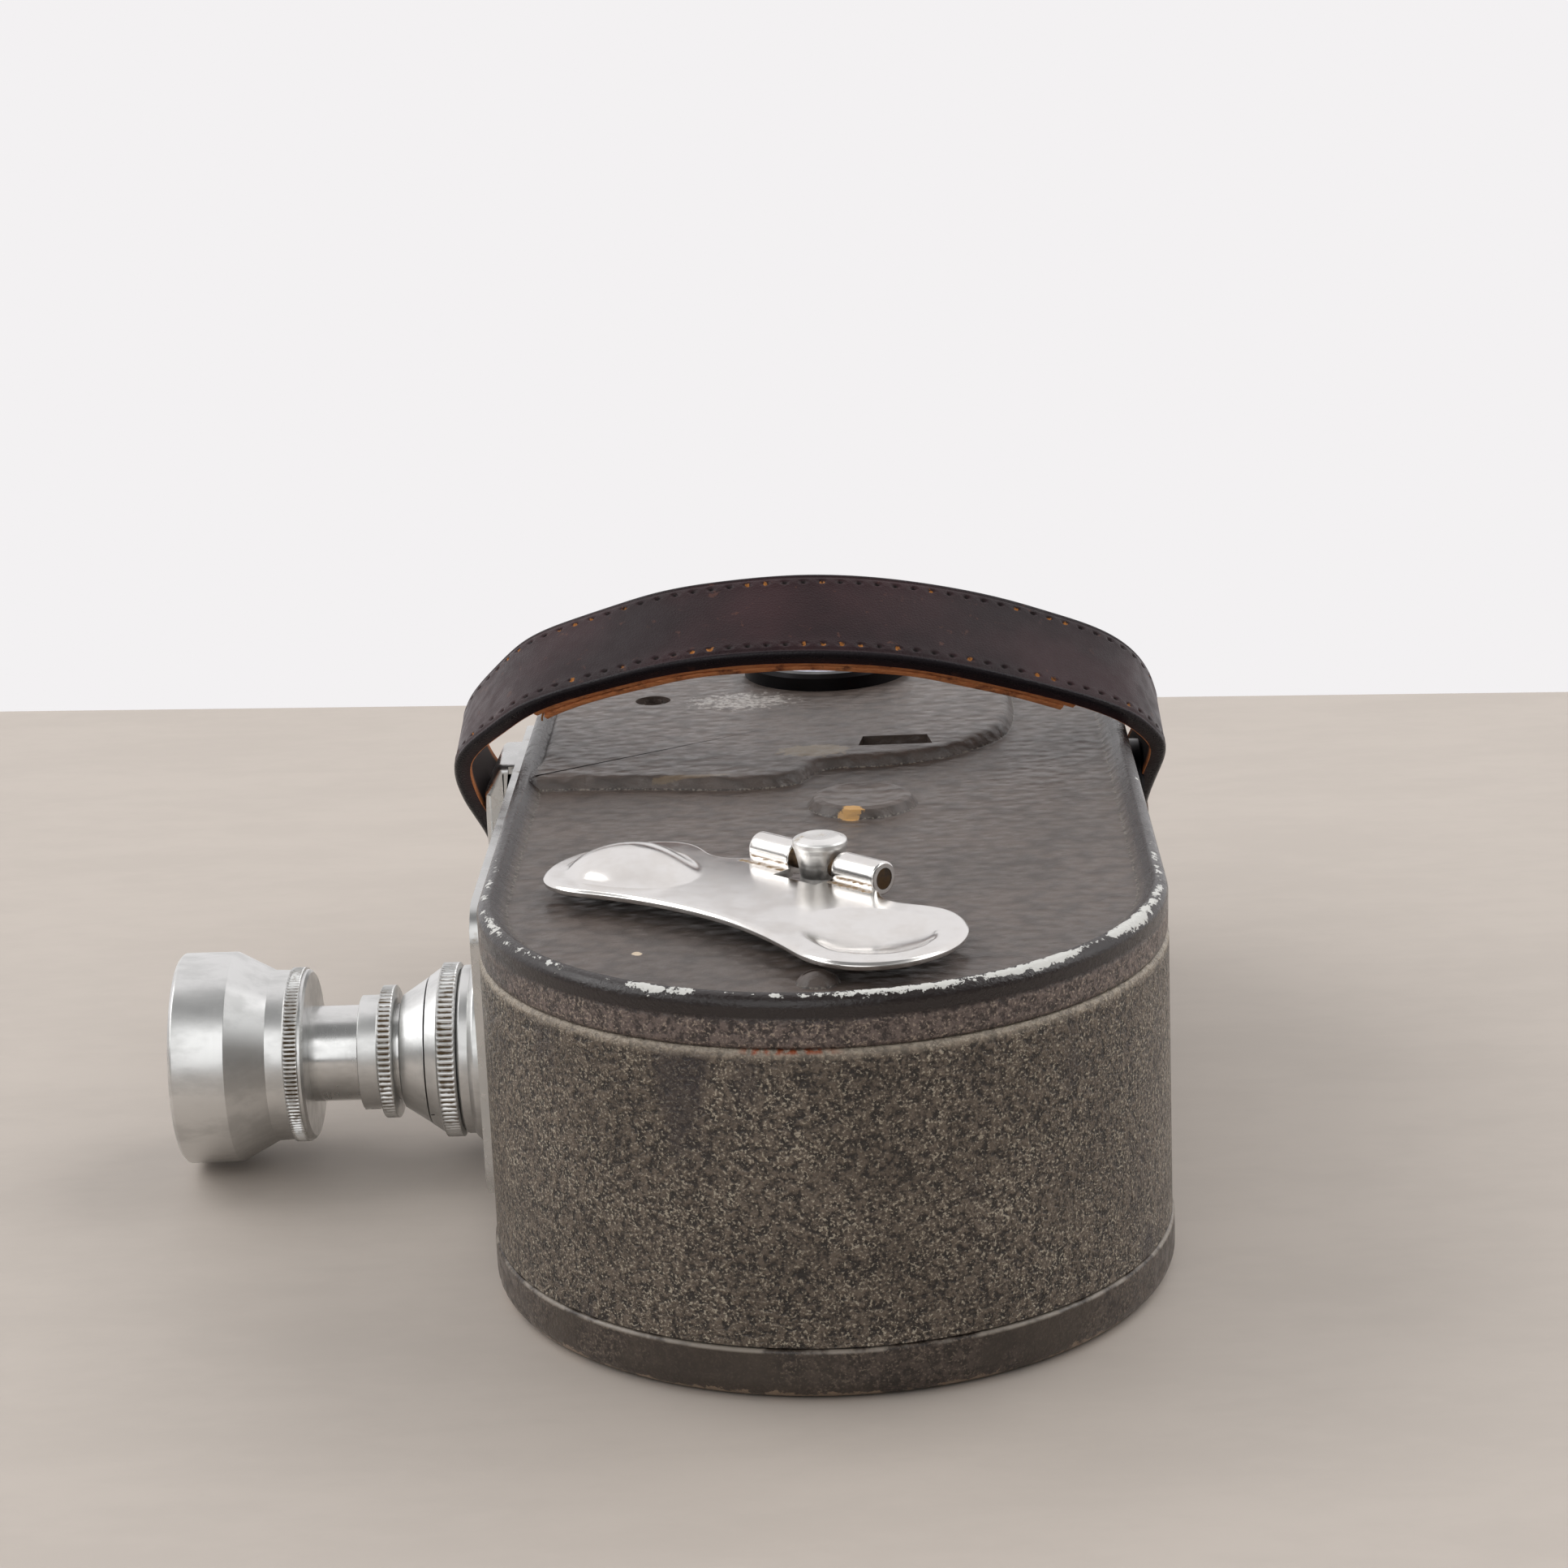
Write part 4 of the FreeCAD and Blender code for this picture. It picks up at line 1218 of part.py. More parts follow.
def main():
    film_door()
    door_lock()
    housing_band()
    key_side_cover()
    mechanism_plate()
    plate_screws()
    cover_screws()
    front_plate()
    lens()
    finder()
    strap()
    run_button()
    winding_key()
    spring_motor()
    film_drive()
    shutter_drive()
    governor()
    film_gate()
    spools()
    counter_and_scale()
    doc.recompute()
    for obj in doc.Objects:
        if "Invalid" in obj.State or "Error" in obj.State:
            raise RuntimeError("failed object: " + obj.Label)
    os.makedirs("parts", exist_ok=True)
    for obj in NODES:
        if obj.Shape.isNull() or not obj.Shape.isValid() or not obj.Shape.Solids:
            raise RuntimeError("bad shape: " + obj.Label)
    for obj in NODES:
        obj.Shape.exportStep("parts/" + obj.Label + ".step")
    print(len(NODES), "sub-parts written")


main()
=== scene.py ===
"""Looks of the cine camera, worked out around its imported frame.

Each new piece is a surface of two parameters, computed in millimetres as whole arrays and
written to its mesh in metres. Places come from the frame's boxes and from the sizes below.
"""

import json
import math
from types import SimpleNamespace

import bmesh
import bpy
import numpy as np
from mathutils import Matrix, Vector


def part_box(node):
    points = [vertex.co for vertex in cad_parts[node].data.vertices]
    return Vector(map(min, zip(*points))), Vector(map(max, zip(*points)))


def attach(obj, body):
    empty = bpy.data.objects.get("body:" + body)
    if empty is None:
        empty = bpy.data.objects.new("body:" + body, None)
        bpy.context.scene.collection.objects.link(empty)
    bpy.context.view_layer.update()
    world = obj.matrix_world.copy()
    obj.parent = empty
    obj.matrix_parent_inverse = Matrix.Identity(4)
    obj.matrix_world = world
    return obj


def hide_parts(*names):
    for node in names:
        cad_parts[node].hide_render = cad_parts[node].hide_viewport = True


bl_info = {
    "name": "Cine camera",
    "version": (1, 0, 0),
    "blender": (4, 5, 0),
    "location": "View3D > Sidebar > Cine camera",
    "description": "Builds the finished look of a spring-driven cine camera around its CAD frame",
    "category": "Object",
}

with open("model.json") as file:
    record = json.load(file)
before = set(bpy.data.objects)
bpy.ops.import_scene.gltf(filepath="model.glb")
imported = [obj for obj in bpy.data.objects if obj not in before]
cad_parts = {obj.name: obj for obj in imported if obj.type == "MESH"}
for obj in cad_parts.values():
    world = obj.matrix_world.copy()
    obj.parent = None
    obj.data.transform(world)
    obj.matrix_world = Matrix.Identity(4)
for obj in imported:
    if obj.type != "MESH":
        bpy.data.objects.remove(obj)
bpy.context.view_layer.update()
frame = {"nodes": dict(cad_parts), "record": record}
NODES = frame["nodes"]
MM = 0.001


# ---------------------------------------------------------------- sizes and colours


def box_mm(node):
    """Lowest and highest corner of a CAD node in millimetres."""
    low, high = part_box(node)
    return np.array(low) / MM, np.array(high) / MM


def linear(red, green, blue):
    """Linear colour of three display values from 0 to 255."""
    c = np.array([red, green, blue]) / 255
    return tuple(float(v) for v in np.where(c <= 0.04045, c / 12.92, ((c + 0.055) / 1.055) ** 2.4))


def opaque(*display):
    """Opaque linear colour of a display colour in 0 to 255."""
    return linear(*display) + (1,)


def length(name, text, millimetres):
    return bpy.props.FloatProperty(name=name, description=text, default=float(millimetres) * MM,
                                   unit="LENGTH", precision=5)


def number(name, text, value, **limits):
    return bpy.props.FloatProperty(name=name, description=text, default=value, precision=3, **limits)


def count(name, text, value):
    return bpy.props.IntProperty(name=name, description=text, default=value, min=1)


def angle(name, text, degrees):
    return bpy.props.FloatProperty(name=name, description=text, default=math.radians(degrees), unit="ROTATION",
                                   subtype="ANGLE")


def colour(name, text, *display):
    return bpy.props.FloatVectorProperty(name=name, description=text, default=linear(*display), subtype="COLOR",
                                         size=3, min=0, max=1)


BAND_HIGH = box_mm("housing_band")[1]
COVER_HIGH = box_mm("key_side_cover")[1]
COUNTER_LOW = box_mm("counter_bezel")[0]
MOUNT_LOW, MOUNT_HIGH = box_mm("lens_mount_ring")
HOUSING_HIGH = box_mm("lens_front_housing")[1]
HOOD_LOW, HOOD_HIGH = box_mm("finder_hood")


class CineCaseSettings(bpy.types.PropertyGroup):
    radius: length("End radius", "Radius of the casing's two half-round ends", BAND_HIGH[0])
    straight: length("Arc offset", "Distance of the end arcs' centres from the middle", BAND_HIGH[1] - BAND_HIGH[0])
    skirt: length("Skirt level", "Height of the cover's lower edge", BAND_HIGH[2])
    rim_top: length("Rim level", "Height of the cover's rim", COVER_HIGH[2] - 0.1)
    rim_width: length("Rim width", "Width of the raised rim round the cover", 3.8)
    rim_round: length("Rim rounding", "Radius of the rim's outer edge", 1.9)
    panel_depth: length("Panel depth", "How far the panel lies under the rim", 2.0)
    plateau: length("Plateau height", "Height of the raised field over the panel", 2.1)
    plateau_near: length("Plateau near edge", "Where the raised field starts on the lens side", 0.0)
    plateau_far: length("Plateau far edge", "Where the raised field starts on the other side", 10.7)
    plateau_step: length("Plateau step", "Where its edge steps back", -2.6)
    plateau_side: length("Plateau side", "Where its side edge lies", 33.4)
    plateau_corner: length("Plateau corner", "Size of its corners", 9.0)
    boss_radius: length("Boss radius", "Radius of the round boss on the panel", 8.9)
    boss_x: length("Boss across", "Boss centre across the cover", 6.3)
    boss_y: length("Boss along", "Boss centre along the cover", -10.6)
    hole_radius: length("Deep hole radius", "Radius of the deep screw hole", 3.15)
    hole_x: length("Deep hole across", "Deep hole across the cover", -31.1)
    hole_y: length("Deep hole along", "Deep hole along the cover", 52.5)
    slot_x: length("Slot across", "Middle of the speed window", 12.0)
    slot_y: length("Slot along", "Middle of the speed window along the cover", 20.6)
    slot_near: length("Slot near width", "Width of the window's near side", 12.6)
    slot_far: length("Slot far width", "Width of the window's far side", 11.0)
    slot_deep: length("Slot depth", "Size of the window along the cover", 5.8)


class CineKeySettings(bpy.types.PropertyGroup):
    turn: angle("Turn", "Angle of the key round the motor's axis", -43.5)
    axis: length("Hinge level", "Height of the hinge pin", 63.8)
    thick: length("Thickness", "Thickness of the stamped plate", 1.4)
    barrel: length("Knuckle radius", "Outer radius of the rolled knuckles", 2.6)
    bore: length("Knuckle bore", "Bore radius of the knuckles", 1.65)
    inner: length("Knuckle inner end", "Where a knuckle starts from the middle", 4.4)
    outer: length("Knuckle outer end", "Where a knuckle ends", 13.1)
    notch: length("Notch depth", "Depth of the notch round the hub", 5.8)
    dome: length("Dome height", "Height of the raised thumb rest", 3.2)
    dish: length("Dish depth", "Depth of the sunk thumb rest", 1.4)


class CineLensSettings(bpy.types.PropertyGroup):
    throat: length("Mount face", "Where the lens axis leaves the front plate", MOUNT_HIGH[0])
    axis_y: length("Axis along", "Lens axis along the casing", (MOUNT_LOW[1] + MOUNT_HIGH[1]) / 2)
    axis_z: length("Axis height", "Lens axis over the floor", (MOUNT_LOW[2] + MOUNT_HIGH[2]) / 2)
    tube: length("Tube radius", "Radius of the sliding tube", 7.93)
    focus: length("Focus ring radius", "Radius over the focusing ring's knurl", 14.5)
    cone: length("Cone radius", "Radius at the wide end of the cone", 13.7)
    cone_end: length("Cone end radius", "Radius at the narrow end of the cone", 9.5)
    iris: length("Iris ring radius", "Radius over the iris ring's knurl", 11.05)
    iris_scale: length("Iris scale radius", "Radius of the iris ring's scale", 9.5)
    front: length("Front cell radius", "Radius over the front cell's knurl", 14.5)
    hood: length("Hood radius", "Radius of the flared hood", HOUSING_HIGH[2] - 18.5)
    bore: length("Hood bore", "Bore of the hood", 15.6)
    focus_teeth: count("Focus knurl", "Ridges round the focusing ring", 92)
    iris_teeth: count("Iris knurl", "Ridges round the iris ring", 72)
    front_teeth: count("Front knurl", "Ridges round the front cell", 124)


class CineStrapSettings(bpy.types.PropertyGroup):
    pivot_y: length("Pivot along", "Strap pivot along the casing", 58.0)
    pivot_z: length("Pivot height", "Strap pivot over the floor", 33.0)
    tilt: angle("Tilt", "How far the strap leans over the cover at rest", 130.0)
    width: length("Width", "Width of the leather", 19.0)
    thick: length("Thickness", "Thickness of the leather", 3.0)
    reach: length("Reach", "Height of the crown over the pivots", 68.5)
    left_span: length("Left span", "Half width of the arch on the lens side", 64.8)
    right_span: length("Right span", "Half width of the arch on the other side", 58.8)
    left_end: length("Left end", "Outer face of the left end", 60.8)
    right_end: length("Right end", "Outer face of the right end", 55.9)
    pitch: length("Stitch pitch", "Distance between the stitch holes", 3.15)
    border: length("Stitch inset", "Distance of the stitch rows from the edges", 2.2)


class CineColourSettings(bpy.types.PropertyGroup):
    band: colour("Band", "Tint of the band's darker clouds", 226, 224, 222)
    cover: colour("Cover", "Hammered paint of the cover", 80, 71, 66)
    door: colour("Door", "Paint of the film door", 58, 50, 44)
    leather: colour("Leather", "Grain side of the strap", 36, 22, 25)
    raw: colour("Raw leather", "Cut edge and flesh side of the strap", 228, 152, 98)
    metal: colour("Bare metal", "Paint worn through to the metal", 206, 205, 200)
    brass: colour("Brass", "Gears", 176, 140, 76)


class CineStageSettings(bpy.types.PropertyGroup):
    floor: colour("Floor", "Floor that the camera stands on", 186, 176, 167)
    wall: colour("Wall", "Backdrop", 243, 241, 242)
    daylight: number("Daylight", "Strength of the white surroundings", 0.75, min=0, max=3)
    overhead: number("Overhead lamp", "Power of the two large lamps overhead in watts", 15.0, min=0)
    side: number("Side lamps", "Power of the two lamps at the sides in watts", 3.8, min=0)
    front: number("Front lamp", "Power of the lamp above the camera in watts", 5.2, min=0)


SETTINGS = {"case": CineCaseSettings, "key": CineKeySettings, "lens": CineLensSettings, "strap": CineStrapSettings,
            "colours": CineColourSettings, "stage": CineStageSettings}


def settings(context, group):
    """The group's values, lengths in millimetres and angles in radians."""
    owner = getattr(context.scene, "cine_" + group)
    values = {}
    for key in SETTINGS[group].__annotations__:
        value = getattr(owner, key)
        unit = owner.bl_rna.properties[key].unit
        values[key] = value / MM if unit == "LENGTH" else (*value, 1.0) if hasattr(value, "__len__") else value
    return SimpleNamespace(**values)


# ---------------------------------------------------------------- shapes


def rounded(corners, steps=6):
    """Polyline whose corners (x, y, r) become arcs: centre on the bisector at r / sin(half angle)."""
    path = []
    for i, (x, y, r) in enumerate(corners):
        here = np.array([x, y], float)
        if not r or i in (0, len(corners) - 1):
            path.append(here[None])
            continue
        back = np.array(corners[i - 1][:2]) - here
        ahead = np.array(corners[i + 1][:2]) - here
        back, ahead = back / np.linalg.norm(back), ahead / np.linalg.norm(ahead)
        half = 0.5 * math.acos(max(-1.0, min(1.0, float(back @ ahead))))
        middle = (back + ahead) / np.linalg.norm(back + ahead)
        centre = here + middle * r / math.sin(half)
        first, last = (here + side * r / math.tan(half) - centre for side in (back, ahead))
        start = math.atan2(first[1], first[0])
        turn = (math.atan2(last[1], last[0]) - start + math.pi) % (2 * math.pi) - math.pi
        swept = start + turn * np.linspace(0, 1, steps)
        path.append(centre + r * np.stack([np.cos(swept), np.sin(swept)], -1))
    return np.concatenate(path)


def spline(knots, samples, closed=False):
    """Natural or periodic cubic through knots, with the distance between them as its parameter."""
    knots = np.asarray(knots, float)
    if closed:
        knots = np.concatenate([knots, knots[:1]])
    gaps = np.linalg.norm(np.diff(knots, axis=0), axis=1)
    at = np.concatenate([[0], np.cumsum(gaps)])
    n = len(knots)
    system, right = np.zeros((n, n)), np.zeros_like(knots)
    i = np.arange(1, n - 1)
    system[i, i - 1], system[i, i], system[i, i + 1] = gaps[:-1], 2 * (gaps[:-1] + gaps[1:]), gaps[1:]
    slopes = np.diff(knots, axis=0) / gaps[:, None]
    right[1:-1] = 6 * np.diff(slopes, axis=0)
    if closed:
        system[0, 0], system[0, -1] = 1, -1
        system[-1, 0], system[-1, 1] = 2 * gaps[0], gaps[0]
        system[-1, -1], system[-1, -2] = 2 * gaps[-1], gaps[-1]
        right[-1] = 6 * (slopes[0] - slopes[-1])
    else:
        system[0, 0] = system[-1, -1] = 1
    bend = np.linalg.solve(system, right)
    where = np.asarray(samples, float) * at[-1]
    k = np.clip(np.searchsorted(at, where, side="right") - 1, 0, n - 2)
    h, a, b = gaps[k][:, None], (at[k + 1] - where)[:, None], (where - at[k])[:, None]
    return ((bend[k] * a ** 3 + bend[k + 1] * b ** 3) / (6 * h)
            + (knots[k] / h - bend[k] * h / 6) * a + (knots[k + 1] / h - bend[k + 1] * h / 6) * b)


def shell(points, around=False, along=False, finish=0, **attributes):
    """A grid of points with the finish of its faces; around and along say which way it joins up."""
    points = np.asarray(points, float)
    n, m = points.shape[:2]
    i, j = np.meshgrid(np.arange(n if along else n - 1), np.arange(m if around else m - 1), indexing="ij")
    ii, jj = (i + 1) % n, (j + 1) % m
    faces = np.stack([i * m + j, ii * m + j, ii * m + jj, i * m + jj], -1).reshape(-1, 4)
    finish = np.broadcast_to(np.asarray(finish), i.shape).reshape(-1)
    return SimpleNamespace(points=points.reshape(-1, 3), faces=faces, finish=finish,
                           attributes={k: np.broadcast_to(v, (n, m)).reshape(-1) for k, v in attributes.items()})


def mesh_of(name, shells, sharp=40):
    """Joins closed shells in one mesh: doubles merged, normals outwards, smooth but for sharp edges."""
    points = np.concatenate([s.points for s in shells]) * MM
    starts = np.cumsum([0] + [len(s.points) for s in shells])
    faces = np.concatenate([s.faces + start for s, start in zip(shells, starts)])
    finish = np.concatenate([s.finish for s in shells])
    mesh = bpy.data.meshes.new(name)
    mesh.from_pydata(points, [], faces)
    mesh.polygons.foreach_set("material_index", finish.astype(np.int32))
    for key in sorted({k for s in shells for k in s.attributes}):
        values = np.concatenate([s.attributes.get(key, np.zeros(len(s.points))) for s in shells])
        mesh.attributes.new(key, "FLOAT", "POINT").data.foreach_set("value", values.astype(np.float32))
    solid = bmesh.new()
    solid.from_mesh(mesh)
    bmesh.ops.remove_doubles(solid, verts=solid.verts, dist=1e-7)
    bmesh.ops.dissolve_degenerate(solid, edges=solid.edges, dist=1e-8)
    bmesh.ops.recalc_face_normals(solid, faces=solid.faces)
    solid.to_mesh(mesh)
    solid.free()
    mesh.shade_smooth()
    mesh.set_sharp_from_angle(angle=math.radians(sharp))
    return mesh


def make(name, shells, sharp=40):
    made = bpy.data.objects.new(name, mesh_of(name, shells, sharp))
    bpy.context.scene.collection.objects.link(made)
    return made


def apply_boolean(target, tool, operation):
    """Cuts or joins tool into target and drops the tool."""
    change = target.modifiers.new("join", "BOOLEAN")
    change.operation, change.object, change.solver = operation, tool, "EXACT"
    bpy.context.view_layer.update()
    shaped = bpy.data.meshes.new_from_object(target.evaluated_get(bpy.context.evaluated_depsgraph_get()))
    target.modifiers.clear()
    target.data = shaped
    bpy.data.objects.remove(tool)
    if not len(shaped.polygons):
        raise RuntimeError("the boolean left nothing of " + target.name)


def sharpen(target, sharp=40):
    """Smooth but for sharp edges, with normals that follow the large faces."""
    target.data.shade_smooth()
    target.data.set_sharp_from_angle(angle=math.radians(sharp))
    target.modifiers.new("normals", "WEIGHTED_NORMAL").keep_sharp = True


def install(made, body, materials, replaces=()):
    """Gives a piece its materials and its body, and hides the CAD nodes that it stands for."""
    while len(made.data.materials) < len(materials):
        made.data.materials.append(None)
    for i, material in enumerate(materials):
        made.data.materials[i] = material
    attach(made, body)
    if replaces:
        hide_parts(*replaces)
    return made


def frame_of(axis):
    """Unit vectors along an axis and across it."""
    along = np.array(axis, float)
    side = np.cross(along, [0, 0, 1.0]) if abs(along[2]) < 0.9 else np.array([1.0, 0, 0])
    side /= np.linalg.norm(side)
    return along, side, np.cross(along, side)


def lathe(profile, centre, axis, steps=144, relief=0.0, ring=False, finish=0):
    """Profile of (s, r) turned round an axis: centre + s * axis + (r + relief) * (side cos a + up sin a)."""
    profile = np.asarray(profile, float)
    a = np.arange(steps) * 2 * math.pi / steps
    along, side, up = frame_of(axis)
    r = profile[:, 1:2] + np.broadcast_to(relief, (len(profile), steps)) * (profile[:, 1:2] > 0)
    points = (np.asarray(centre, float) + profile[:, None, :1] * along
              + r[..., None] * (np.cos(a)[None, :, None] * side + np.sin(a)[None, :, None] * up))
    if np.ndim(finish):
        finish = np.asarray(finish)[:, None]
    return shell(points, around=True, along=ring, finish=finish)


def knurl(profile, steps, teeth, low, high, deep):
    """Ridges along the axis: depth falls as (1 + cos(teeth a)) / 2 to a power, between two stations."""
    a = np.arange(steps) * 2 * math.pi / steps
    s = np.asarray(profile, float)[:, :1]
    inside = np.clip((s - low) / 0.25, 0, 1) * np.clip((high - s) / 0.25, 0, 1)
    return -deep * inside * (0.5 - 0.5 * np.cos(teeth * a)[None]) ** 1.6


def stadium(radius, straight, columns):
    """Points and outward directions of a stadium's spine, even along its outline."""
    whole = 2 * math.pi * radius + 4 * straight
    s = (np.arange(columns) + 0.5) / columns * whole
    arc, side = math.pi * radius, 2 * straight
    k = [s < side, (s >= side) & (s < side + arc), (s >= side + arc) & (s < 2 * side + arc)]
    turn = np.select(k, [0 * s, (s - side) / radius, 0 * s + math.pi], math.pi + (s - 2 * side - arc) / radius)
    y = np.select(k, [s - straight, 0 * s + straight, straight - (s - side - arc)], -straight)
    return np.stack([0 * y, y], -1), np.stack([np.cos(turn), np.sin(turn)], -1)


def extruded(outline, levels, centre):
    """Closed outline carried through (inset, z) levels and drawn together at its middle at both ends."""
    outline = np.asarray(outline, float)
    step = np.roll(outline, -1, 0) - np.roll(outline, 1, 0)
    inward = np.stack([-step[:, 1], step[:, 0]], -1) / np.linalg.norm(step, axis=1)[:, None]
    area = np.sum(outline[:, 0] * np.roll(outline[:, 1], -1) - outline[:, 1] * np.roll(outline[:, 0], -1))
    inward *= math.copysign(1, area)
    rings = [np.column_stack([outline + inward * inset, np.full(len(outline), z)]) for inset, z in levels]
    ends = [np.column_stack([np.tile(centre, (len(outline), 1)), np.full(len(outline), z)])
            for z in (levels[0][1], levels[-1][1])]
    return shell([ends[0]] + rings + [ends[1]], around=True)


def block(low, high):
    """Box between two corners, as a four-sided outline carried up."""
    corners = [(low[0], low[1]), (high[0], low[1]), (high[0], high[1]), (low[0], high[1])]
    return extruded(corners, [(0, low[2]), (0, high[2])], ((low[0] + high[0]) / 2, (low[1] + high[1]) / 2))


# ---------------------------------------------------------------- shader nodes


class Shade:
    """Adds nodes to a shader tree and hands back their sockets."""

    def __init__(self, tree):
        self.tree = tree
        self.place = None

    def add(self, kind, out=0, ins=None, **options):
        node = self.tree.nodes.new(kind)
        for key, value in options.items():
            setattr(node, key, value)
        for key, value in (ins or {}).items():
            if isinstance(value, bpy.types.NodeSocket):
                self.tree.links.new(value, node.inputs[key])
            else:
                node.inputs[key].default_value = value
        return node.outputs if out is None else node.outputs[out]

    def where(self, turn=(0, 0, 0), scale=(1, 1, 1)):
        """Object coordinates, turned and stretched."""
        if self.place is None:
            self.place = self.add("ShaderNodeTexCoord", "Object")
        if turn == (0, 0, 0) and scale == (1, 1, 1):
            return self.place
        return self.add("ShaderNodeMapping", ins={"Vector": self.place, "Rotation": turn, "Scale": scale})

    def math(self, operation, a, b=0.0, c=0.0, clamp=False):
        return self.add("ShaderNodeMath", ins={0: a, 1: b, 2: c}, operation=operation, use_clamp=clamp)

    def times(self, a, b):
        return self.math("MULTIPLY", a, b)

    def plus(self, a, b):
        return self.math("ADD", a, b)

    def minus(self, a, b):
        return self.math("SUBTRACT", a, b)

    def noise(self, vector, size, detail=2.0, rough=0.5, twist=0.0):
        """Noise with features of a size in millimetres."""
        return self.add("ShaderNodeTexNoise", ins={"Vector": vector, "Scale": 1 / (size * MM), "Detail": detail,
                                                   "Roughness": rough, "Distortion": twist})

    def cells(self, vector, size, feature="F1", out="Distance", loose=1.0):
        return self.add("ShaderNodeTexVoronoi", out, ins={"Vector": vector, "Scale": 1 / (size * MM),
                                                          "Randomness": loose}, feature=feature)

    def ramp(self, value, low, high, start=0.0, end=1.0):
        """Smooth step of value from low to high, put out between start and end."""
        return self.add("ShaderNodeMapRange", ins={0: value, 1: low, 2: high, 3: start, 4: end},
                        interpolation_type="SMOOTHSTEP")

    def mix(self, share, a, b, blend="MIX"):
        return self.add("ShaderNodeMix", 2, ins={0: share, 6: a, 7: b}, data_type="RGBA", blend_type=blend)

    def attribute(self, name):
        return self.add("ShaderNodeAttribute", "Fac", attribute_name=name)

    def bump(self, height, distance, strength=1.0, normal=None):
        ins = {"Height": height, "Distance": distance * MM, "Strength": strength}
        if normal is not None:
            ins["Normal"] = normal
        return self.add("ShaderNodeBump", ins=ins)

    def use(self, group, out=0, **ins):
        return self.add("ShaderNodeGroup", out, ins={k.replace("_", " "): v for k, v in ins.items()},
                        node_tree=EFFECTS[group])


EFFECTS = {}


def effect(name, inputs, build):
    """Shader node group: build(shade, inputs) hands back its outputs by name."""
    tree = bpy.data.node_groups.new(name, "ShaderNodeTree")
    for label, value in inputs.items():
        kind = "NodeSocketVector" if label == "Place" else "NodeSocketFloat"
        socket = tree.interface.new_socket(label, in_out="INPUT", socket_type=kind)
        if kind == "NodeSocketFloat":
            socket.default_value = value
    shade = Shade(tree)
    source = tree.nodes.new("NodeGroupInput").outputs
    results = build(shade, source)
    for label in results:
        tree.interface.new_socket(label, in_out="OUTPUT", socket_type="NodeSocketFloat")
    sink = tree.nodes.new("NodeGroupOutput").inputs
    for label, socket in results.items():
        tree.links.new(socket, sink[label])
    EFFECTS[name] = tree


def patina(shade, source):
    """Slow change of tone over the surface, from 0 to 1."""
    scaled = shade.add("ShaderNodeVectorMath", ins={0: source["Place"], 3: source["Scale"]}, operation="SCALE")
    return {"Tone": shade.ramp(shade.add("ShaderNodeTexNoise", ins={"Vector": scaled, "Scale": 1.0, "Detail": 4.0}),
                               0.33, 0.67)}


def worn_edge(shade, source):
    """Paint chipped from an edge: ragged where closeness to the edge and two noises add up."""
    coarse = shade.noise(source["Place"], 11.0, 2.0, 0.5)
    fine = shade.noise(source["Place"], 1.5, 5.0, 0.72)
    total = shade.plus(shade.times(coarse, 1.2), shade.times(fine, 1.3))
    total = shade.plus(total, source["Edge"])
    return {"Mask": shade.math("GREATER_THAN", total, source["Limit"])}


def scratches(shade, source):
    """Fine straight marks: the crests of noise that is drawn out along one direction, twice."""
    marks = []
    for turn, stretch in ((0.35, 40.0), (-0.9, 55.0)):
        drawn = shade.add("ShaderNodeMapping", ins={"Vector": source["Place"], "Rotation": (0, 0, turn),
                                                    "Scale": (40.0, 40.0 * stretch, 40.0 * stretch)})
        marks.append(shade.ramp(shade.add("ShaderNodeTexNoise", ins={"Vector": drawn, "Scale": 1.0, "Detail": 1.0}),
                                0.68, 0.74))
    both = shade.math("MAXIMUM", marks[0], marks[1])
    return {"Mask": shade.times(both, source["Amount"])}


def grime(shade, source):
    """Dirt that lies in patches, from 0 to 1."""
    noise = shade.noise(source["Place"], 3.0, 5.0, 0.6)
    return {"Mask": shade.ramp(noise, source["Start"], source["End"])}


def build_effects():
    effect("patina", {"Place": None, "Scale": 60.0}, patina)
    effect("worn edge", {"Place": None, "Edge": 0.0, "Limit": 1.6}, worn_edge)
    effect("scratches", {"Place": None, "Amount": 1.0}, scratches)
    effect("grime", {"Place": None, "Start": 0.45, "End": 0.7}, grime)


def material(name, build):
    """Material whose Principled shader gets the constants and links that build hands back."""
    made = bpy.data.materials.new(name)
    made.use_nodes = True
    tree = made.node_tree
    tree.nodes.clear()
    shade = Shade(tree)
    surface = shade.add("ShaderNodeBsdfPrincipled", ins=build(shade))
    tree.links.new(surface, tree.nodes.new("ShaderNodeOutputMaterial").inputs["Surface"])
    MATERIALS[name] = made
    return made


MATERIALS = {}


def separate(shade, vector):
    return shade.add("ShaderNodeSeparateXYZ", None, ins={0: vector})


def stadium_distance(shade, straight):
    """Distance from the casing's spine in metres: the length of (x, how far y lies beyond the arcs)."""
    xyz = separate(shade, shade.where())
    beyond = shade.math("MAXIMUM", shade.minus(shade.math("ABSOLUTE", xyz["Y"]), straight * MM), 0.0)
    square = shade.plus(shade.times(xyz["X"], xyz["X"]), shade.times(beyond, beyond))
    return shade.math("SQRT", square), xyz


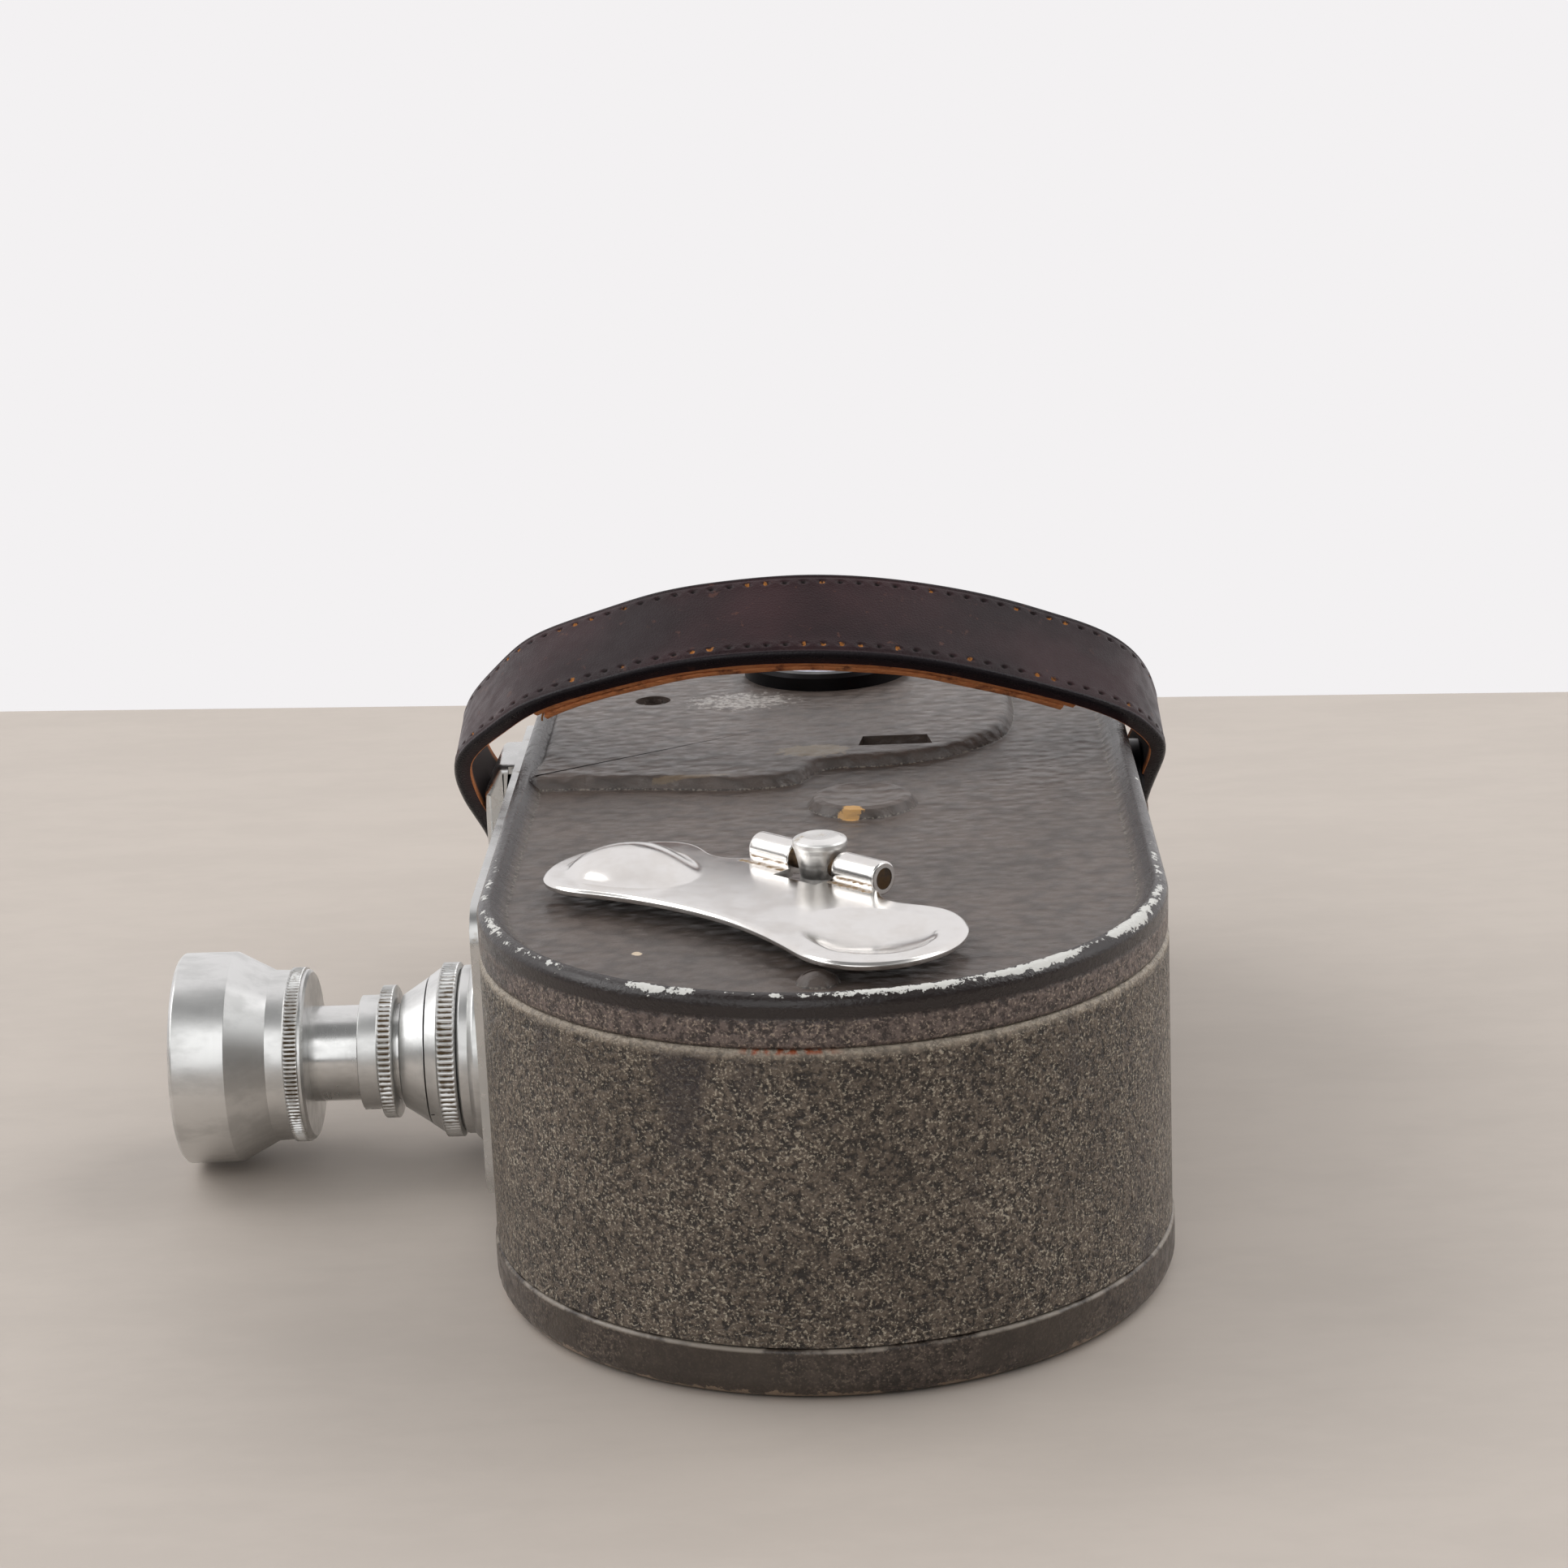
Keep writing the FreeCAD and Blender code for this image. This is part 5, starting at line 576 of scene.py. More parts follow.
def wrinkle_paint(shade, dark, middle, glint):
    """Wrinkle paint: height and colour from one noise, with the crests painted lighter and the hollows darker as
    painted light and shade, and painted glints on the finest crests.
    """
    place = shade.where()
    coarse = shade.noise(place, 1.15, 2.0, 0.55, 0.4)
    fine = shade.noise(place, 0.42, 2.0, 0.6, 0.3)
    height = shade.plus(coarse, shade.times(fine, 0.7))
    # painted light and shade: the colour runs from dark in the hollows to lighter on the crests of the relief
    base = shade.mix(shade.ramp(height, 0.66, 1.0), dark, middle)
    # painted glints: pale highlights on the finest crests
    painted_glints = shade.ramp(shade.plus(fine, shade.times(shade.noise(place, 6.0, 3.0), 0.2)), 0.66, 0.77)
    return shade.mix(shade.times(painted_glints, 0.62), base, glint), height


def spot(shade, xyz, x, y, across, along, ragged=0.8):
    """Mask of a ragged patch round a place on the cover, given in millimetres."""
    u = shade.math("DIVIDE", shade.minus(xyz["X"], x * MM), across * MM)
    v = shade.math("DIVIDE", shade.minus(xyz["Y"], y * MM), along * MM)
    far = shade.plus(shade.times(u, u), shade.times(v, v))
    rough = shade.times(shade.minus(shade.noise(shade.where(), 1.3, 5.0, 0.7), 0.5), 4 * ragged)
    return shade.ramp(shade.plus(far, rough), 0.75, 1.05, 1.0, 0.0)


def build_paints(context):
    c, case = settings(context, "colours"), settings(context, "case")
    bare = c.metal

    def band(shade):
        """Wrinkle paint with darker clouds, a pale lip under the seam (partly worn paint, partly a painted highlight on
        the rounded top edge) and a rusty bit at the front.
        """
        place = shade.where()
        xyz = separate(shade, place)
        # wrinkle colours: painted shade in the hollows, painted light on the crests and painted glints
        base, height = wrinkle_paint(shade, opaque(42, 36, 32), opaque(112, 100, 88), opaque(210, 200, 180))
        base = shade.mix(shade.use("patina", Place=place, Scale=45.0), base, c.band, "MULTIPLY")
        dark = shade.ramp(shade.noise(shade.where(scale=(1, 1, 0.4)), 13.0, 3.0, 0.55), 0.60, 0.72, 0.0, 0.62)
        base = shade.mix(dark, base, opaque(50, 43, 45))
        level = shade.plus(xyz["Z"], shade.times(shade.noise(place, 4.0, 4.0), 0.0006))
        # pale lip: worn paint and a painted highlight along the band's rounded top edge under the seam
        lip = shade.times(shade.ramp(level, 0.0514, 0.0531), shade.ramp(height, 0.6, 1.1, 0.5, 0.9))
        base = shade.mix(lip, base, opaque(178, 166, 150))
        rust = shade.times(shade.ramp(level, 0.0524, 0.0529), shade.ramp(xyz["X"], -0.0125, -0.009))
        rust = shade.times(rust, shade.ramp(xyz["X"], 0.004, -0.001))
        rust = shade.times(rust, shade.ramp(shade.noise(place, 1.2, 3.0), 0.4, 0.6))
        base = shade.mix(rust, base, opaque(150, 78, 44))
        rough = shade.ramp(shade.noise(place, 1.1), 0.35, 0.65, 0.30, 0.46)
        return {"Base Color": base, "Roughness": rough, "IOR": 1.5, "Normal": shade.bump(height, 0.42, 1.0)}

    def cover(shade):
        """Hammered paint, smooth and black on the rim, wrinkled on the skirt, chipped where the attribute says, with
        painted shade along the foot of the raised field and the boss.
        """
        place = shade.where()
        across, xyz = stadium_distance(shade, case.straight)
        rim = shade.ramp(across, (case.radius - case.rim_width - 0.6) * MM, (case.radius - case.rim_width + 0.8) * MM)
        hammer = shade.cells(shade.where(scale=(0.7, 1, 1)), 1.9, "SMOOTH_F1")
        fine = shade.noise(shade.where(scale=(0.6, 1, 1)), 0.5, 3.0, 0.65)
        flat = shade.minus(1.0, rim)
        height = shade.plus(shade.times(hammer, flat), shade.times(fine, 0.25))
        tone = shade.use("patina", Place=place, Scale=35.0)
        base = shade.mix(tone, c.cover, opaque(88, 77, 71))
        base = shade.mix(shade.times(shade.ramp(hammer, 0.3, 0.7), 0.6), base, opaque(52, 45, 41))
        base = shade.mix(rim, base, opaque(38, 31, 30))
        skirt = shade.times(shade.ramp(xyz["Z"], 0.0578, 0.0566), shade.ramp(xyz["Z"], 0.0528, 0.0536))
        skirt = shade.times(skirt, shade.ramp(shade.noise(place, 16.0, 3.0), 0.28, 0.48))
        # skirt wrinkles carry painted shade in the hollows, painted light on the crests and painted glints
        wrinkles, relief = wrinkle_paint(shade, opaque(54, 46, 44), opaque(116, 102, 96), opaque(186, 170, 152))
        base = shade.mix(shade.times(skirt, 0.9), base, wrinkles)
        # painted shade: a dark band along the foot of the raised field and the boss, with pale specks of dust and
        # painted glints in it
        foot = shade.times(shade.ramp(xyz["Z"], 0.05884, 0.0589), shade.ramp(xyz["Z"], 0.05925, 0.0590))
        foot = shade.times(foot, flat)
        foot_dust_and_glints = shade.times(foot, shade.ramp(shade.noise(place, 0.45, 3.0, 0.7), 0.50, 0.57))
        base = shade.mix(shade.times(foot, 0.6), base, opaque(34, 29, 27))
        base = shade.mix(shade.times(foot_dust_and_glints, 0.6), base, opaque(150, 140, 128))
        high = shade.ramp(xyz["Z"], 0.0600, 0.0606)
        for x, y, across_by, along_by, tint in ((case.boss_x - 1.8, case.boss_y - 7.8, 2.0, 1.5, (206, 158, 92)),
                                                (-22.0, 2.5, 7.0, 0.7, (112, 96, 76)),
                                                (-2.0, 15.5, 6.5, 3.6, (124, 110, 88)),
                                                (-26.5, -83.0, 0.8, 0.9, (224, 204, 176))):
            base = shade.mix(shade.times(spot(shade, xyz, x, y, across_by, along_by), 0.75), base,
                             opaque(*tint))
        pale = shade.times(spot(shade, xyz, -15.0, 50.0, 8.5, 5.5, 1.6), high)
        pale = shade.times(pale, shade.ramp(shade.noise(place, 0.9, 4.0, 0.7), 0.42, 0.58, 0.1, 0.6))
        base = shade.mix(pale, base, opaque(186, 180, 174))
        mask = shade.use("worn edge", Place=place, Edge=shade.attribute("chip"), Limit=1.90)
        base = shade.mix(mask, base, bare)
        rough = shade.ramp(shade.noise(place, 2.2), 0.35, 0.65, 0.32, 0.44)
        rough = shade.minus(rough, shade.times(shade.minus(rim, skirt), 0.15))
        normal = shade.bump(height, 0.48, 1.0)
        normal = shade.bump(shade.times(relief, skirt), 0.22, 1.0, normal)
        normal = shade.bump(shade.minus(1.0, mask), 0.06, 1.0, normal)
        return {"Base Color": base, "Roughness": rough, "IOR": 1.5, "Normal": normal}

    def door(shade):
        place = shade.where()
        fine = shade.noise(place, 0.8, 4.0, 0.6)
        base = shade.mix(shade.use("patina", Place=place, Scale=60.0), c.door, opaque(70, 61, 53))
        across, xyz = stadium_distance(shade, case.straight)
        level = xyz["Z"]
        # wrinkle colours: painted shade in the hollows, painted light on the crests and painted glints
        wrinkles, relief = wrinkle_paint(shade, opaque(38, 32, 29), opaque(84, 73, 66), opaque(140, 126, 110))
        base = shade.mix(shade.ramp(shade.noise(place, 14.0, 2.0), 0.40, 0.55, 0.15, 0.75), base, wrinkles)
        edge = shade.ramp(level, 0.0004, 0.0030, 0.62, 0.0)
        edge = shade.times(edge, shade.ramp(across, (case.radius - 2.2) * MM, (case.radius - 1.0) * MM))
        mask = shade.use("worn edge", Place=place, Edge=edge, Limit=1.76)
        base = shade.mix(mask, base, opaque(142, 122, 104))
        lit = shade.times(shade.ramp(level, 0.0073, 0.0077), shade.ramp(shade.noise(place, 5.0, 4.0), 0.40, 0.55))
        base = shade.mix(shade.times(lit, 0.6), base, opaque(168, 158, 146))
        rough = shade.ramp(shade.noise(place, 2.0), 0.35, 0.65, 0.28, 0.42)
        height = shade.plus(shade.times(fine, 0.5), shade.times(relief, 0.5))
        return {"Base Color": base, "Roughness": rough, "IOR": 1.5, "Normal": shade.bump(height, 0.16, 0.8)}

    material("crackle paint", band)
    material("cover paint", cover)
    material("door paint", door)


def metal(name, tint, rough, spread=0.08, grain=(1, 1, 1), size=0.6, relief=0.008, dirt=None, limits=(0.5, 0.72)):
    """Metal with fine relief drawn along one direction, uneven gloss and patches of dirt."""
    def build(shade):
        place = shade.where()
        lines = shade.noise(shade.where(scale=grain), size, 4.0, 0.6)
        uneven = shade.noise(place, 4.0, 3.0)
        base, gloss = tint, shade.ramp(uneven, 0.3, 0.7, rough - spread, rough + spread)
        metallic = 1.0
        if dirt:
            mask = shade.use("grime", Place=place, Start=limits[0], End=limits[1])
            base = shade.mix(mask, base, dirt)
            gloss = shade.plus(gloss, shade.times(mask, 0.3))
            metallic = shade.minus(1.0, shade.times(mask, 0.75))
        else:
            base = shade.mix(shade.ramp(uneven, 0.35, 0.7, 0.0, 0.25), tint, tuple(0.8 * v for v in tint[:3]) + (1,))
        return {"Base Color": base, "Roughness": gloss, "Metallic": metallic, "Normal": shade.bump(lines, relief, 1.0)}
    return material(name, build)


def build_metals(context):
    c = settings(context, "colours")
    lens = settings(context, "lens")
    brown = opaque(104, 86, 62)
    metal("plated steel", (0.62, 0.62, 0.61, 1), 0.30, dirt=opaque(150, 132, 104), limits=(0.62, 0.85))
    metal("steel", (0.52, 0.52, 0.53, 1), 0.34)
    metal("spring steel", (0.30, 0.33, 0.38, 1), 0.32)
    metal("motor shell", (0.50, 0.50, 0.49, 1), 0.42)
    metal("plate alloy", (0.58, 0.58, 0.57, 1), 0.46, grain=(1, 12, 12), size=4.0, relief=0.01)
    metal("gear brass", c.brass, 0.30, dirt=opaque(92, 70, 36), limits=(0.55, 0.8))
    metal("aged bronze", opaque(104, 84, 62), 0.34, dirt=opaque(58, 46, 38), limits=(0.40, 0.62))
    metal("worn nickel", (0.86, 0.85, 0.83, 1), 0.34, grain=(1, 1, 6), size=2.0, relief=0.012, dirt=opaque(150, 132, 104),
          limits=(0.60, 0.82))
    metal("blackened metal", opaque(34, 33, 34), 0.38, spread=0.06)

    def nickel(shade):
        place = shade.where()
        haze = shade.noise(place, 6.0, 4.0, 0.6)
        marks = shade.use("scratches", Place=place, Amount=0.5)
        stain = shade.attribute("stain")
        mask = shade.ramp(shade.plus(stain, shade.noise(place, 1.0, 5.0, 0.65)), 1.0, 1.25)
        base = shade.mix(shade.ramp(haze, 0.4, 0.7), (0.83, 0.81, 0.79, 1), (0.77, 0.74, 0.71, 1))
        base = shade.mix(mask, base, opaque(150, 122, 84))
        gloss = shade.ramp(haze, 0.35, 0.7, 0.15, 0.22)
        gloss = shade.plus(gloss, shade.times(mask, 0.4))
        metallic = shade.minus(1.0, shade.times(mask, 0.8))
        height = shade.plus(shade.noise(place, 8.0, 2.0), shade.times(marks, -0.02))
        return {"Base Color": base, "Roughness": gloss, "Metallic": metallic, "Normal": shade.bump(height, 0.02, 0.4)}

    def aluminium(shade):
        """Turned light metal: fine rings round the lens axis, dirt where the grooves attribute is set."""
        place = shade.where()
        xyz = separate(shade, place)
        y = shade.minus(xyz["Y"], lens.axis_y * MM)
        z = shade.minus(xyz["Z"], lens.axis_z * MM)
        out = shade.math("SQRT", shade.plus(shade.times(y, y), shade.times(z, z)))
        turned = shade.add("ShaderNodeCombineXYZ", ins={0: xyz["X"], 1: out, 2: 0.0})
        rings = shade.noise(turned, 0.5, 3.0, 0.6)
        haze = shade.noise(shade.where(scale=(1, 2.0, 2.0)), 9.0, 4.0, 0.6)
        soil = shade.attribute("soil")
        mask = shade.ramp(shade.plus(soil, shade.noise(place, 1.6, 4.0, 0.6)), 0.82, 1.15)
        base = shade.mix(shade.ramp(haze, 0.4, 0.65), (0.74, 0.74, 0.73, 1), (0.62, 0.62, 0.61, 1))
        base = shade.mix(mask, base, brown)
        base = shade.mix(shade.ramp(shade.attribute("ink"), 0.4, 0.6), base, (0.02, 0.02, 0.02, 1))
        polish = shade.attribute("polish")
        gloss = shade.plus(shade.ramp(haze, 0.35, 0.65, 0.26, 0.34), shade.times(rings, 0.10))
        gloss = shade.plus(gloss, shade.times(mask, 0.25))
        gloss = shade.minus(gloss, shade.times(polish, 0.12))
        metallic = shade.minus(1.0, shade.times(mask, 0.7))
        return {"Base Color": base, "Roughness": gloss, "Metallic": metallic}

    material("key nickel", nickel)
    material("lens aluminium", aluminium)


def build_soft(context):
    c = settings(context, "colours")

    def leather(shade):
        place = shade.where()
        grain = shade.cells(place, 0.55, "DISTANCE_TO_EDGE")
        creases = shade.noise(shade.where(scale=(1, 0.3, 0.3)), 1.3, 4.0, 0.6)
        tone = shade.use("patina", Place=place, Scale=50.0)
        base = shade.mix(tone, c.leather, opaque(54, 33, 36))
        rub = shade.ramp(shade.noise(place, 2.4, 5.0, 0.62), 0.62, 0.70, 0.0, 0.55)
        base = shade.mix(rub, base, opaque(92, 58, 48))
        holes = shade.attribute("hole")
        # painted shade darkens the stitch holes
        base = shade.mix(shade.ramp(holes, 0.25, 0.8), base, opaque(24, 15, 15))
        worn = shade.ramp(shade.plus(shade.attribute("thread"), shade.noise(place, 0.8, 3.0)), 0.92, 1.1)
        base = shade.mix(worn, base, opaque(178, 116, 56))
        edge = shade.attribute("edge")
        base = shade.mix(edge, base, opaque(30, 26, 30))
        gloss = shade.ramp(shade.noise(place, 3.0, 3.0), 0.3, 0.7, 0.34, 0.48)
        gloss = shade.minus(gloss, shade.times(edge, 0.16))
        height = shade.plus(shade.math("MINIMUM", grain, 0.25), shade.times(creases, 0.35))
        return {"Base Color": base, "Roughness": gloss, "IOR": 1.30, "Normal": shade.bump(height, 0.11, 0.8)}

    def raw(shade):
        place = shade.where()
        fibre = shade.noise(shade.where(scale=(0.25, 1.6, 1.6)), 0.7, 5.0, 0.7)
        base = shade.mix(shade.ramp(fibre, 0.35, 0.65), opaque(196, 116, 68), c.raw)
        base = shade.mix(shade.use("grime", Place=place, Start=0.52, End=0.75), base, opaque(96, 48, 28))
        # painted shade on the strap's inner face, which faces the casing
        base = shade.mix(shade.attribute("sooty"), base, opaque(42, 27, 24))
        return {"Base Color": base, "Roughness": 0.78, "Normal": shade.bump(fibre, 0.2, 0.8)}

    def thread(shade):
        twist = shade.noise(shade.where(), 0.25, 3.0)
        base = shade.mix(twist, opaque(150, 92, 44), opaque(206, 146, 82))
        return {"Base Color": base, "Roughness": 0.8, "Normal": shade.bump(twist, 0.05, 1.0)}

    def rubber(shade):
        return {"Base Color": shade.mix(shade.noise(shade.where(), 1.0), opaque(38, 36, 34),
                                        opaque(52, 49, 46)), "Roughness": 0.7}

    def enamel(shade):
        place = shade.where()
        base = shade.mix(shade.use("patina", Place=place, Scale=80.0), opaque(206, 200, 186),
                         opaque(190, 182, 164))
        return {"Base Color": base, "Roughness": 0.45}

    def spool(shade):
        place = shade.where()
        base = shade.mix(shade.use("scratches", Place=place, Amount=0.6), opaque(58, 60, 62),
                         opaque(112, 112, 112))
        return {"Base Color": base, "Roughness": shade.ramp(shade.noise(place, 5.0), 0.3, 0.7, 0.32, 0.45)}

    def ink(shade):
        return {"Base Color": shade.mix(shade.noise(shade.where(), 0.4), opaque(26, 25, 25),
                                        opaque(44, 42, 40)), "Roughness": 0.6}

    def glass(shade):
        return {"Base Color": (0.97, 0.98, 1.0, 1), "Roughness": 0.02, "Transmission Weight": 1.0, "IOR": 1.5,
                "Coat Weight": 0.3, "Coat Tint": (0.75, 0.8, 1.0, 1)}

    for name, build in (("strap leather", leather), ("raw leather", raw), ("waxed thread", thread),
                        ("belt rubber", rubber), ("dial enamel", enamel), ("spool enamel", spool), ("ink", ink),
                        ("optical glass", glass)):
        material(name, build)


# ---------------------------------------------------------------- pieces


def plateau_outline(case):
    """Edge of the raised field through its control points, closed round the far end beside the rim."""
    n, f, c, step, side = case.plateau_near, case.plateau_far, case.plateau_corner, case.plateau_step, case.plateau_side
    inner = case.radius - case.rim_width + 0.9
    front = [(-inner - 1.9, n + 3.1), (-inner * 0.6, n + 1.6), (step - 0.65 * c, n), (step - 0.25 * c, n + 0.17 * c),
             (step, n + 0.5 * c), (step + 0.1 * c, f - 0.3 * c), (step + 0.4 * c, f - 0.03 * c), (step + c, f),
             (side - 2.4 * c, f + 0.09 * c), (side - 1.65 * c, f + 0.33 * c), (side - 0.9 * c, f + 0.95 * c),
             (side - 0.35 * c, f + 1.65 * c), (side - 0.1 * c, f + 2.5 * c), (side, f + 3.7 * c), (side, case.straight)]
    start = math.acos(case.plateau_side / inner)
    sweep = np.linspace(start, math.pi, 160)
    back = np.stack([inner * np.cos(sweep), case.straight + inner * np.sin(sweep)], -1)
    rough = np.concatenate([spline(front, np.linspace(0, 1, 420)), back, [(-inner, n + 16), (-inner - 1.9, n + 9)]])
    gaps = np.linalg.norm(np.diff(rough, axis=0, append=rough[:1]), axis=1)
    at = np.concatenate([[0], np.cumsum(gaps)])
    even = np.linspace(0, at[-1], 900, endpoint=False)
    outline = np.stack([np.interp(even, at, np.append(rough[:, k], rough[0, k])) for k in range(2)], -1)
    for _ in range(3):
        outline = np.mean([np.roll(outline, k, 0) for k in range(-4, 5)], axis=0)
    return outline


class CINE_OT_cover(bpy.types.Operator):
    """Cover of the key side: stadium sweep of a rolled rim and panel, raised field, boss and openings"""
    bl_idname = "cine.cover"
    bl_label = "Key side cover"

    def execute(self, context):
        case = settings(context, "case")
        panel = case.rim_top - case.panel_depth
        top = panel + case.plateau
        r, w = case.radius, case.rim_width
        profile = np.concatenate([
            [[0, panel], [r * 0.4, panel], [r * 0.8, panel]],
            rounded([(r - w - 2.2, panel, 0), (r - w - 0.9, panel, 1.4), (r - 2.2, case.rim_top - 0.02, 0.9),
                     (r, case.rim_top + 0.02, case.rim_round), (r - 0.12, case.skirt + 0.9, 0.4),
                     (r - 0.35, case.skirt, 0.3), (r - 2.0, case.skirt, 0)], 8),
            [[r - 2.0, panel - 1.6], [0, panel - 1.6]]])
        spine, out = stadium(r, case.straight, 620)
        ring = spine[None] + profile[:, None, :1] * out[None]
        level = np.broadcast_to(profile[:, None, 1], ring.shape[:2])
        bulge = np.exp(-((profile[:, 0] - r + 1.3) / 1.25) ** 2)
        bulge = bulge * np.clip((profile[:, 1] - case.skirt - 4.9) / 1.8, 0, 1)
        forward = np.clip((-spine[:, 1] - case.straight * 0.6) / (case.straight * 0.4), 0, 1)
        chip = bulge[:, None] * (0.36 + 0.32 * forward[None])
        body = make("key_side_cover_look", [shell(np.dstack([ring, level]), around=True, chip=chip)], 32)
        slope = 0.78 * case.plateau
        field = make("field", [extruded(plateau_outline(case), [
            (-0.15, panel - 0.5), (0.0, panel), (0.25, panel + 0.12), (slope * 0.5, panel + case.plateau * 0.5),
            (slope * 0.8, top - 0.35), (slope + 0.25, top - 0.1), (slope + 0.9, top)], (-5.0, 34.0))])
        boss = make("boss", [lathe(rounded([
            (0, 0, 0), (0, case.boss_radius + 0.5, 0),
            (0.97, case.boss_radius + 0.4, 0), (1.05, case.boss_radius + 0.1, 0.2),
            (2.45, case.boss_radius - 0.95, 0.5), (2.7, case.boss_radius - 2.0, 0.8),
            (2.4, case.boss_radius - 4.5, 3.0),
            (2.3, 0, 0)], 7), (case.boss_x, case.boss_y, panel - 1.0), (0, 0, 1), 120)])
        for piece in (field, boss):
            apply_boolean(body, piece, "UNION")
        half = case.slot_deep / 2
        window = extruded([(case.slot_x - case.slot_near / 2, case.slot_y - half),
                           (case.slot_x + case.slot_near / 2, case.slot_y - half),
                           (case.slot_x + case.slot_far / 2, case.slot_y + half),
                           (case.slot_x - case.slot_far / 2, case.slot_y + half)],
                          [(0, panel - 3), (0, top + 3)], (case.slot_x, case.slot_y))
        def drill(x, y, radius, low):
            return lathe([(0, 0), (0, radius), (top + 2 - low, radius), (top + 2 - low, 0)], (x, y, low), (0, 0, 1), 64)
        cutter = make("openings", [window, drill(case.hole_x, case.hole_y, case.hole_radius, top - 2.7),
                                   drill(case.hole_x, case.hole_y, 1.5, panel - 4),
                                   drill(0, -case.straight, 3.35, panel - 4), drill(-0.2, -98.4, 1.5, panel - 4),
                                   drill(0, COUNTER_LOW[1] + 15.1, 0.65, panel - 4)])
        apply_boolean(body, cutter, "DIFFERENCE")
        sharpen(body, 32)
        install(body, "camera_body", [MATERIALS["cover paint"]], ["key_side_cover"])
        NODES["cover_screws"].data.materials[0] = MATERIALS["cover paint"]
        return {"FINISHED"}


def key_outline():
    """The stamped plate's edge in the key's own directions: a smooth closed curve through both lobes."""
    right = [(0, -1.2), (9.0, -1.2), (13.4, -1.4), (15.6, -3.0), (18.8, -3.8), (22.6, -2.7), (27.0, -1.7), (32.0, -3.2),
             (36.3, -7.4), (38.5, -13.0), (38.5, -18.6), (36.2, -24.6), (31.6, -28.6), (26.0, -29.5), (20.0, -28.0),
             (13.0, -26.1), (6.0, -25.0), (0, -24.7)]
    left = [(-u + 1.6 * min(max((u - 16) / 20, 0), 1), v) for u, v in right[1:-1]][::-1]
    return spline(right + left, np.arange(520) / 520, closed=True)


def thumb_rest(u, v, side, height):
    """Drop-shaped swelling: height (1 - d^2)^k, steep away from the hub and long towards it."""
    p, q = (u * side - (26.5 if side > 0 else 25.2)), v + 16.3
    reach = np.where(p > 0, 8.8, 13.5)
    d = np.minimum((p / reach) ** 2 + (q / (9.2 + 0.05 * np.minimum(p, 0))) ** 2, 1.0)
    power = 0.72 + 0.9 * np.clip(-p / 13.5, 0, 1)
    return height * (1 - d) ** power


